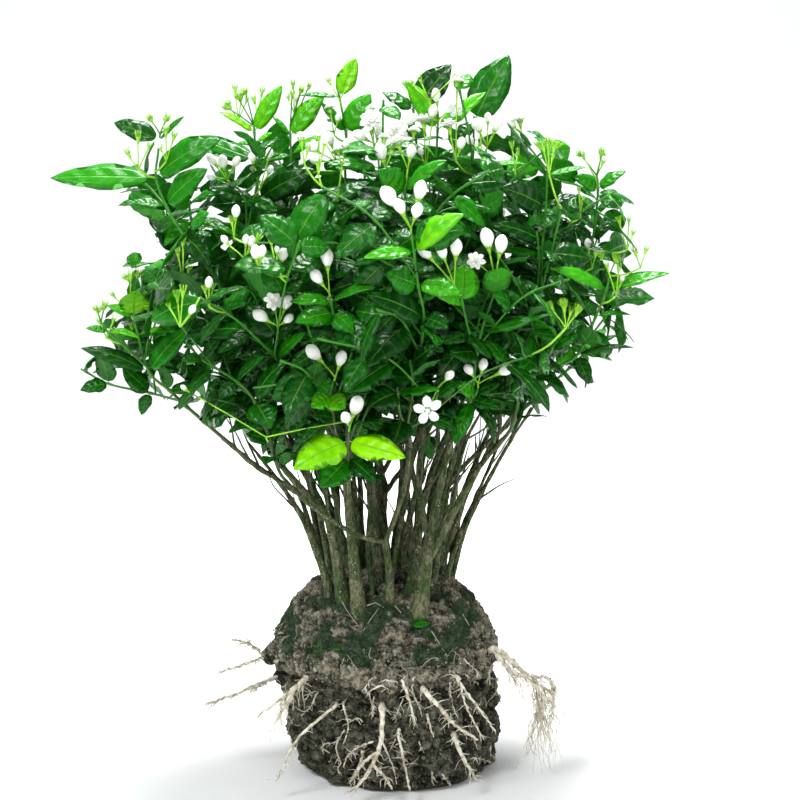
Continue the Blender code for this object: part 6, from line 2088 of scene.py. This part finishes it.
def ground_round(tree, turn, height):
    """The soil's surface at a turn and a height, and the way out of it."""
    start = Vector((math.cos(turn) * 260, math.sin(turn) * 260, height))
    goal = Vector((0, 0, min(height, 100)))
    hit, out, _, _ = tree.ray_cast(start, (goal - start).normalized())
    return (hit, out) if hit else (None, None)


def lying_line(tree, start, way, length, draw, lift=0.4, bend=0.35):
    """A line that follows the ground from a point."""
    points = [start]
    steps = max(3, round(length / 3))
    for _ in range(steps):
        hit, out, _, _ = tree.find_nearest(points[-1])
        way = (way - out * way.dot(out)).normalized()
        way = (way + Vector([draw.uniform(-bend, bend) for _ in range(3)])).normalized()
        hit, out, _, _ = tree.find_nearest(points[-1] + way * length / steps)
        points.append(hit + out * lift)
    return points


def make_soil(forms, roots):
    exits = [lines[0][0][0] for lines in roots.values()]
    piece, tree = model_soil(exits)
    dress(piece, FINISHES["soil"], ["soil_ball"])
    make_clods(tree)
    make_straws(tree)
    make_moss(tree, forms)
    make_litter(tree, forms)
    return tree


def make_clods(tree):
    """Loose crumbs of earth all over the ball."""
    draw = random.Random("clods")
    clear_selection()
    bpy.ops.mesh.primitive_ico_sphere_add(subdivisions=1, radius=1)
    form = bpy.context.object
    shape = coordinates(form.data)
    clods = []
    for i in range(CLOD_COUNT):
        place, _ = ground_round(tree, draw.uniform(0, 2 * math.pi), draw.uniform(6, 186))
        size = draw.uniform(0.7, 1.6) * draw.choice((1, 1, 1, 1.7))
        if place is None or place.z < size:
            continue
        lump = [1 + 0.5 * noise.noise(Vector(p) * 1.3 + Vector((i * 3.1, 0, 0))) for p in shape]
        clod = copy_form(form, f"clod_{i}")
        write_coordinates(clod.data, (shape * np.array(lump)[:, None] * size + np.array(place)) * MM)
        paint(clod, relief=draw.uniform(0.5, 0.95), moss=moss_share(place) * 0.6)
        clods.append(clod)
    bpy.data.objects.remove(form)
    dress(join_pieces("clods", clods), FINISHES["soil"], [])


def make_straws(tree):
    """Dry grass and old roots that lie on the soil."""
    draw = random.Random("straws")
    lines = []
    for _ in range(STRAW_COUNT):
        start, out = ground_round(tree, draw.uniform(0, 2 * math.pi), draw.uniform(20, 186))
        if start is None:
            continue
        way = Vector([draw.uniform(-1, 1) for _ in range(3)]).normalized()
        line = lying_line(tree, start + out * 0.3, way, draw.uniform(7, 24), draw, 0.45, 0.3)
        width = draw.uniform(0.2, 0.42)
        lines.append((line, [width] * (len(line) - 1) + [width * 0.5]))
    for places in LAID_STRAWS:
        spots = [ground(tree, across - PHOTO_MIDDLE, PHOTO_FOOT - down) for across, down in places]
        line, _ = smooth_line([hit + out * 0.7 for hit, out in spots if hit])
        lines.append((line, spread(0.55, 0.3, len(line))))
    dress(model_tubes("straws", lines, 1), FINISHES["straw"], [])


def make_moss(tree, forms):
    """Short upright moss leaves where the band is thickest."""
    draw = random.Random("moss")
    clear_selection()
    bpy.ops.mesh.primitive_cone_add(vertices=4, radius1=0.5, radius2=0.0, depth=1.0)
    form = bpy.context.object
    shape = coordinates(form.data)
    sprigs = []
    for i in range(SPRIG_COUNT * 4):
        place, out = ground_round(tree, draw.uniform(0, 2 * math.pi), draw.uniform(110, 192))
        if place is None or moss_share(place) < draw.uniform(0.35, 1.0):
            continue
        sprig = copy_form(form, f"sprig_{i}")
        axis = (out + Vector([draw.uniform(-0.5, 0.5) for _ in range(3)])).normalized()
        local = np.column_stack((shape[:, 0], (shape[:, 2] + 0.5) * draw.uniform(1.0, 2.4), shape[:, 1]))
        write_coordinates(sprig.data, along_axis(local, place - out * 0.2, axis, draw.uniform(0, 6)) * MM)
        paint(sprig, tone=draw.uniform(0, 1))
        sprigs.append(sprig)
        if len(sprigs) == SPRIG_COUNT:
            break
    bpy.data.objects.remove(form)
    dress(join_pieces("moss", sprigs), FINISHES["moss"], [])


def make_litter(tree, forms):
    """Fallen leaves on the soil: three green ones, and curled dry ones."""
    fallen = []
    for i, (across, down, length, width, turn, tone) in enumerate(FALLEN_LEAVES):
        place, out = ground(tree, across - PHOTO_MIDDLE, PHOTO_FOOT - down)
        way = Vector((math.cos(math.radians(turn)), 0, math.sin(math.radians(turn))))
        way = (way - out * way.dot(out)).normalized()
        base = place + out * 1.6 - way * length / 2
        leaf = Leaf(base, base + way * length + out * 0.6, out, width, 1.2, 4, tone, True)
        fallen.append(leaf_piece(f"fallen_{i}", leaf, forms["leaf"]))
    dress(join_pieces("fallen_leaves", fallen), FINISHES["leaf"], [])
    dry = []
    draw = random.Random("dry leaves")
    for i in range(22):
        place, out = ground_round(tree, draw.uniform(-0.6, math.pi + 0.6), draw.uniform(120, 188))
        way = Vector([draw.uniform(-1, 1) for _ in range(3)])
        way = (way - out * way.dot(out)).normalized()
        length = draw.uniform(6, 13)
        base = place + out * 0.8 - way * length / 2
        leaf = Leaf(base, base + way * length + out * draw.uniform(0, 2), out, length * 0.5, 1.5, 30, 0.5, True)
        dry.append(leaf_piece(f"dry_{i}", leaf, forms["leaf"]))
    dress(join_pieces("dry_leaves", dry), FINISHES["straw"], [])


# Finishes

VEIN_WAVES = 31.0
# Leaf colours along the tone: the near-black end is painted shade for leaves deep in the crown, and the bright
# yellow-green end is partly the colour of young leaves and partly painted light on the top of the crown.
LEAF_TONES = ((0.0, (0.001, 0.026, 0.002)), (0.3, (0.003, 0.085, 0.003)), (0.55, (0.010, 0.215, 0.001)),
              (0.8, (0.060, 0.46, 0.001)), (1.0, (0.32, 0.80, 0.001)))


class Finish:
    """A material and short ways to add its nodes."""

    def __init__(self, name):
        self.material = bpy.data.materials.new(name)
        self.material.use_nodes = True
        self.tree = self.material.node_tree
        self.shader = self.tree.nodes["Principled BSDF"]
        self.output = self.tree.nodes["Material Output"]

    def node(self, kind, settings=None, **inputs):
        node = self.tree.nodes.new(kind)
        for key, value in (settings or {}).items():
            setattr(node, key, value)
        for key, value in inputs.items():
            self.feed(node.inputs[int(key[1:]) if key[0] == "i" and key[1:].isdigit() else key.replace("_", " ")], value)
        return node

    def feed(self, socket, value):
        if isinstance(value, bpy.types.NodeSocket):
            self.tree.links.new(value, socket)
        elif isinstance(value, bpy.types.Node):
            self.tree.links.new(value.outputs[0], socket)
        else:
            socket.default_value = value

    def math(self, operation, *values, clamp=False):
        inputs = {f"i{k}": value for k, value in enumerate(values)}
        return self.node("ShaderNodeMath", {"operation": operation, "use_clamp": clamp}, **inputs).outputs[0]

    def mix(self, share, first, second):
        node = self.node("ShaderNodeMix", {"data_type": "RGBA"})
        self.feed(node.inputs["Factor"], share)
        self.feed(node.inputs["A"], (*first, 1) if isinstance(first, tuple) else first)
        self.feed(node.inputs["B"], (*second, 1) if isinstance(second, tuple) else second)
        return node.outputs["Result"]

    def ramp(self, share, stops):
        node = self.node("ShaderNodeValToRGB", Fac=share)
        elements = node.color_ramp.elements
        while len(elements) < len(stops):
            elements.new(0.5)
        for element, (place, colour) in zip(elements, stops):
            element.position = place
            element.color = (*colour, 1)
        return node.outputs["Color"]

    def step(self, value, low, high):
        return self.node("ShaderNodeMapRange", {"interpolation_type": "SMOOTHSTEP"}, Value=value, From_Min=low,
                         From_Max=high).outputs[0]

    def place(self, scale=(1, 1, 1)):
        """Object coordinates in millimetres, stretched by a scale."""
        where = self.node("ShaderNodeTexCoord").outputs["Object"]
        node = self.node("ShaderNodeMapping", Vector=where)
        node.inputs["Scale"].default_value = [1000 * s for s in scale]
        return node.outputs["Vector"]

    def cloud(self, size, detail=3.0, rough=0.55, stretch=(1, 1, 1)):
        """Noise whose lumps are about this many millimetres."""
        return self.node("ShaderNodeTexNoise", Vector=self.place(stretch), Scale=1 / size, Detail=detail,
                         Roughness=rough).outputs["Fac"]

    def cells(self, size, feature="F1"):
        return self.node("ShaderNodeTexVoronoi", {"feature": feature}, Vector=self.place(), Scale=1 / size).outputs[0]

    def number(self, name):
        return self.node("ShaderNodeAttribute", {"attribute_name": name}).outputs["Fac"]

    def bump(self, height, depth, strength=1.0):
        """A bump of this depth in millimetres."""
        node = self.node("ShaderNodeBump", Height=height, Strength=strength, Distance=depth * MM)
        self.feed(self.shader.inputs["Normal"], node.outputs["Normal"])
        return node.outputs["Normal"]

    def plain(self, **values):
        for key, value in values.items():
            self.shader.inputs[key.replace("_", " ")].default_value = value

    def glow_through(self, colour, share, normal=None):
        """Light that passes through thin tissue."""
        thin = self.node("ShaderNodeBsdfTranslucent", Color=colour)
        if normal is not None:
            self.feed(thin.inputs["Normal"], normal)
        both = self.node("ShaderNodeMixShader", i0=share, i1=self.shader.outputs[0], i2=thin.outputs[0])
        self.feed(self.output.inputs["Surface"], both.outputs[0])


def leaf_finish():
    """Glossy green blades with a pale rib, curved side veins, and a paler matt underside."""
    f = Finish("leaf")
    uv = f.node("ShaderNodeSeparateXYZ", Vector=f.node("ShaderNodeUVMap").outputs[0])
    below = f.math("GREATER_THAN", uv.outputs[0], 0.5)
    across = f.math("SUBTRACT", uv.outputs[0], f.math("ADD", 0.25, f.math("MULTIPLY", below, 0.5)))
    margin = f.math("MULTIPLY", f.math("ABSOLUTE", across), 4.1)
    along = uv.outputs[1]
    rib = f.math("SUBTRACT", 1.0, f.step(margin, 0.02, 0.085))
    climb = f.math("SUBTRACT", along, f.math("MULTIPLY", f.math("POWER", margin, 1.25), 0.16))
    waves = f.math("SINE", f.math("MULTIPLY", climb, VEIN_WAVES))
    vein = f.math("MULTIPLY", f.step(waves, 0.86, 1.0), f.math("SUBTRACT", 1.0, f.step(margin, 0.7, 1.0)))
    mottle = f.math("MULTIPLY", f.math("SUBTRACT", f.cloud(9, 2), 0.5), 0.2)
    shade = f.math("MULTIPLY", f.math("SUBTRACT", f.number("shade"), 0.5), 0.14)
    # The tone paints each leaf's light and shade into its green.
    base = f.ramp(f.math("ADD", f.math("ADD", f.number("tone"), mottle), shade, clamp=True), LEAF_TONES)
    veined = f.mix(f.math("MULTIPLY", vein, 0.16), base, (0.10, 0.45, 0.03))
    ribbed = f.mix(f.math("MULTIPLY", rib, 0.35), veined, (0.20, 0.58, 0.04))
    pale = f.mix(0.35, ribbed, (0.06, 0.27, 0.04))
    colour = f.mix(below, ribbed, pale)
    f.feed(f.shader.inputs["Base Color"], colour)
    f.feed(f.shader.inputs["Roughness"], f.math("ADD", 0.27, f.math("MULTIPLY", below, 0.33)))
    quilt = f.math("MULTIPLY", waves, f.math("SUBTRACT", 1.0, margin))
    height = f.math("ADD", f.math("MULTIPLY", rib, -0.9), f.math("MULTIPLY", quilt, -0.45))
    height = f.math("ADD", height, f.math("MULTIPLY", f.cloud(2.6, 2), 0.3))
    normal = f.bump(height, 1.1, 0.85)
    f.plain(Specular_IOR_Level=0.27)
    light = f.mix(0.5, colour, (0.20, 0.72, 0.002))
    f.glow_through(light, 0.24, normal)
    return f.material


def petal_finish():
    """White petals with a creamy green foot."""
    f = Finish("petal")
    reach = f.number("reach")
    foot = f.math("SUBTRACT", 1.0, f.step(reach, 0.02, 0.26))
    cream = f.mix(f.cloud(3, 2), (0.97, 0.97, 0.95), (0.92, 0.93, 0.88))
    colour = f.mix(f.math("MULTIPLY", foot, 0.8), cream, (0.62, 0.76, 0.30))
    f.feed(f.shader.inputs["Base Color"], colour)
    f.plain(Roughness=0.5, Specular_IOR_Level=0.35)
    f.bump(f.cloud(1.6, 2, stretch=(1, 1, 0.5)), 0.1)
    f.glow_through((0.97, 0.98, 0.9, 1), 0.25)
    return f.material


def calyx_finish():
    """Yellow-green cups, teeth and flower stalks."""
    f = Finish("calyx")
    colour = f.mix(f.cloud(4, 2), (0.17, 0.52, 0.01), (0.42, 0.74, 0.06))
    f.feed(f.shader.inputs["Base Color"], colour)
    f.plain(Roughness=0.45, Specular_IOR_Level=0.4)
    f.glow_through((0.4, 0.8, 0.05, 1), 0.15)
    return f.material


def twig_finish():
    """Green young shoots, and olive brown bark lower down."""
    f = Finish("twig")
    height = f.node("ShaderNodeSeparateXYZ", Vector=f.place()).outputs[2]
    young = f.step(f.math("ADD", height, f.math("MULTIPLY", f.cloud(30, 2), 90)), 350, 460)
    green = f.mix(f.cloud(3, 2), (0.015, 0.14, 0.006), (0.05, 0.26, 0.012))
    brown = f.mix(f.cloud(2.5, 3), (0.028, 0.045, 0.014), (0.11, 0.125, 0.05))
    f.feed(f.shader.inputs["Base Color"], f.mix(young, brown, green))
    f.plain(Roughness=0.55, Specular_IOR_Level=0.35)
    f.bump(f.cloud(1.5, 3, stretch=(1, 1, 0.3)), 0.25)
    return f.material


def bark_finish():
    """Grey-olive bark with green algae, pale spots and fine upright cracks."""
    f = Finish("bark")
    broad = f.cloud(16, 3)
    grain = f.cloud(2.4, 5, 0.65, (1, 1, 0.4))
    grey = f.mix(f.step(grain, 0.35, 0.7), (0.030, 0.034, 0.015), (0.165, 0.165, 0.085))
    algae = f.mix(f.step(grain, 0.35, 0.7), (0.012, 0.028, 0.007), (0.070, 0.105, 0.028))
    colour = f.mix(f.step(broad, 0.40, 0.60), grey, algae)
    spots = f.math("SUBTRACT", 1.0, f.step(f.cells(3.2), 0.16, 0.3))
    scattered = f.math("MULTIPLY", spots, f.step(f.cloud(9, 2), 0.5, 0.6))
    colour = f.mix(f.math("MULTIPLY", scattered, 0.7), colour, (0.38, 0.40, 0.28))
    f.feed(f.shader.inputs["Base Color"], colour)
    f.plain(Roughness=0.82, Specular_IOR_Level=0.3)
    f.bump(f.math("ADD", grain, f.math("MULTIPLY", scattered, 0.5)), 1.1)
    return f.material


def root_finish():
    """Pale roots with dirt in their bends."""
    f = Finish("root")
    colour = f.mix(f.step(f.cloud(6, 3), 0.4, 0.65), (0.72, 0.69, 0.58), (0.40, 0.34, 0.23))
    dirt = f.step(f.cloud(4, 4), 0.54, 0.68)
    f.feed(f.shader.inputs["Base Color"], f.mix(f.math("MULTIPLY", dirt, 0.65), colour, (0.13, 0.105, 0.065)))
    f.plain(Roughness=0.8, Specular_IOR_Level=0.3)
    f.bump(f.cloud(1.2, 3), 0.35)
    return f.material


def straw_finish():
    """Dry grass and dead leaves."""
    f = Finish("straw")
    colour = f.mix(f.cloud(9, 2), (0.50, 0.47, 0.38), (0.26, 0.215, 0.14))
    f.feed(f.shader.inputs["Base Color"], colour)
    f.plain(Roughness=0.8, Specular_IOR_Level=0.3)
    f.bump(f.cloud(1.0, 3), 0.2)
    return f.material


def moss_finish():
    """Dark moss with bright tips."""
    f = Finish("moss")
    deep = f.ramp(f.number("tone"), ((0.0, (0.008, 0.026, 0.012)), (0.75, (0.025, 0.085, 0.028)),
                                     (1.0, (0.10, 0.26, 0.05))))
    lively = f.mix(f.step(f.cloud(26, 2), 0.6, 0.66), deep, (0.05, 0.30, 0.015))
    f.feed(f.shader.inputs["Base Color"], lively)
    f.plain(Roughness=0.7, Specular_IOR_Level=0.3)
    f.bump(f.cloud(1.0, 2), 0.2)
    return f.material


def soil_finish():
    """Crumbly grey-brown earth with moss over the shoulder, painted darker below the crust and in its cracks and
    hollows as painted shade, and lighter on its raised crumbs as painted light.
    """
    f = Finish("soil")
    height = f.node("ShaderNodeSeparateXYZ", Vector=f.place()).outputs[2]
    grain = f.math("MULTIPLY", f.math("SUBTRACT", f.cloud(2.4, 6, 0.75), 0.5), 1.5)
    # The relief, how far the surface stands out, also sets the colour: painted shade in the cracks and hollows and
    # painted light on the raised crumbs, over the earth's own grain.
    relief = f.math("MULTIPLY", f.math("SUBTRACT", f.number("relief"), 0.5), 0.75)
    crumbs = f.math("ADD", f.math("ADD", grain, relief), 0.5)
    dry = f.ramp(crumbs, ((0.22, (0.010, 0.010, 0.006)), (0.42, (0.080, 0.075, 0.050)), (0.60, (0.22, 0.205, 0.155)),
                          (0.85, (0.45, 0.43, 0.35))))
    sandy = f.ramp(crumbs, ((0.22, (0.03, 0.027, 0.018)), (0.5, (0.25, 0.22, 0.155)), (0.8, (0.45, 0.41, 0.31))))
    dry = f.mix(f.math("MULTIPLY", f.step(f.cloud(17, 4, 0.6), 0.52, 0.60), 0.8), dry, sandy)
    # Below the crust the side takes darker colours than the top: painted shade under the crust and on the side away
    # from the light from above.
    painted_shade_side = f.ramp(crumbs, ((0.24, (0.006, 0.007, 0.004)), (0.46, (0.050, 0.050, 0.033)), (0.66, (0.135, 0.132, 0.095)),
                           (0.9, (0.28, 0.27, 0.21))))
    ragged = f.math("ADD", height, f.math("MULTIPLY", f.cloud(16, 3), 30))
    colour = f.mix(f.step(ragged, 104, 122), painted_shade_side, dry)
    fray = f.math("MULTIPLY", f.math("SUBTRACT", f.cloud(3.2, 5, 0.7), 0.5), 2.2)
    mossy = f.step(f.math("ADD", f.number("moss"), fray), 0.40, 0.66)
    green = f.ramp(f.cloud(1.5, 5, 0.75), ((0.36, (0.004, 0.011, 0.005)), (0.54, (0.022, 0.056, 0.022)),
                                          (0.70, (0.085, 0.15, 0.065))))
    colour = f.mix(f.math("MULTIPLY", mossy, 0.85), colour, green)
    f.feed(f.shader.inputs["Base Color"], colour)
    f.plain(Roughness=0.95, Specular_IOR_Level=0.15)
    f.bump(f.math("ADD", crumbs, f.math("MULTIPLY", f.cloud(1.1, 4, 0.7), 0.5)), 2.0)
    return f.material


# Stage

CAMERA_PLACE = (0.0, -EYE_DISTANCE * MM, EYE_HEIGHT * MM)
LENS = 54.0
FRAME_SHIFT = (0.015, -0.05)


def make_floor():
    f = Finish("floor")
    f.plain(Base_Color=(0.94, 0.94, 0.94, 1), Roughness=0.9)
    clear_selection()
    bpy.ops.mesh.primitive_plane_add(size=14, location=(0, 2, 0))
    floor = bpy.context.object
    floor.name = "floor"
    bpy.ops.object.mode_set(mode="EDIT")
    bpy.ops.mesh.select_all(action="DESELECT")
    bpy.ops.object.mode_set(mode="OBJECT")
    for edge in floor.data.edges:
        edge.select = all(floor.data.vertices[v].co.y > 0 for v in edge.vertices)
    bpy.ops.object.mode_set(mode="EDIT")
    bpy.ops.mesh.select_mode(type="EDGE")
    bpy.ops.mesh.extrude_region_move(TRANSFORM_OT_translate={"value": (0, 0, 7)})
    bpy.ops.mesh.select_all(action="SELECT")
    bpy.ops.object.mode_set(mode="OBJECT")
    bend = floor.modifiers.new("bend", "BEVEL")
    bend.width = 3.0
    bend.segments = 16
    bend.limit_method = "ANGLE"
    bpy.ops.object.modifier_apply(modifier="bend")
    bpy.ops.object.shade_smooth()
    floor.data.materials.append(f.material)


def add_light(name, place, target, size, power, colour):
    lamp = bpy.data.lights.new(name, "AREA")
    lamp.shape = "DISK"
    lamp.size = size
    lamp.energy = power
    lamp.color = colour
    light = bpy.data.objects.new(name, lamp)
    light.location = place
    light.rotation_euler = (Vector(target) - Vector(place)).to_track_quat("-Z", "Y").to_euler()
    bpy.context.scene.collection.objects.link(light)


def set_stage():
    make_floor()
    add_light("sky", (0.1, 0.1, 2.4), (0, 0, 0.4), 0.9, 62, (0.97, 1.0, 0.98))
    add_light("window", (-1.1, -1.7, 1.9), (0, 0, 0.4), 0.7, 44, (0.97, 0.99, 1.0))
    add_light("fill", (1.7, -1.9, 0.9), (0, 0, 0.4), 1.2, 14, (1.0, 1.0, 1.0))
    add_light("backdrop", (0, 1.2, 3.4), (0, 4.0, 0.9), 2.0, 400, (1.0, 1.0, 1.0))
    world = bpy.data.worlds.new("room")
    bpy.context.scene.world = world
    world.use_nodes = True
    world.node_tree.nodes["Background"].inputs["Color"].default_value = (0.95, 0.98, 1.0, 1)
    world.node_tree.nodes["Background"].inputs["Strength"].default_value = 0.5
    lens = bpy.data.cameras.new("view")
    lens.lens = LENS
    lens.shift_x, lens.shift_y = FRAME_SHIFT
    camera = bpy.data.objects.new("view", lens)
    camera.location = CAMERA_PLACE
    camera.rotation_euler = (math.pi / 2, 0, 0)
    bpy.context.scene.collection.objects.link(camera)
    bpy.context.scene.camera = camera
    bpy.context.scene.view_settings.view_transform = "Standard"
    bpy.context.scene.view_settings.look = "None"


FINISHES = {"leaf": leaf_finish(), "petal": petal_finish(), "calyx": calyx_finish(), "twig": twig_finish(),
            "bark": bark_finish(), "root": root_finish(), "soil": soil_finish(), "straw": straw_finish(),
            "moss": moss_finish()}


def build():
    set_stage()
    forms = {"leaf": model_leaf_form(), "bud": model_round_form("bud_form", BUD_ROWS, BUD_COLUMNS),
             "petal": model_round_form("petal_form", PETAL_ROWS, LEAF_COLUMNS), "calyx": model_calyx_form()}
    space, stems, roots, shoots, sprays, leaves = grow_shrub()
    tree = make_soil(forms, roots)
    make_stems(stems)
    make_bare_twigs(stems, make_suckers(), space)
    make_roots(roots)
    make_fine_roots(tree)
    make_twigs(shoots, leaves)
    make_leaves(leaves, forms["leaf"])
    make_sprays(sprays, forms)
    make_tufts(shoots, forms)
    make_clusters(shoots, leaves, forms)
    for form in forms.values():
        bpy.data.objects.remove(form)


build()
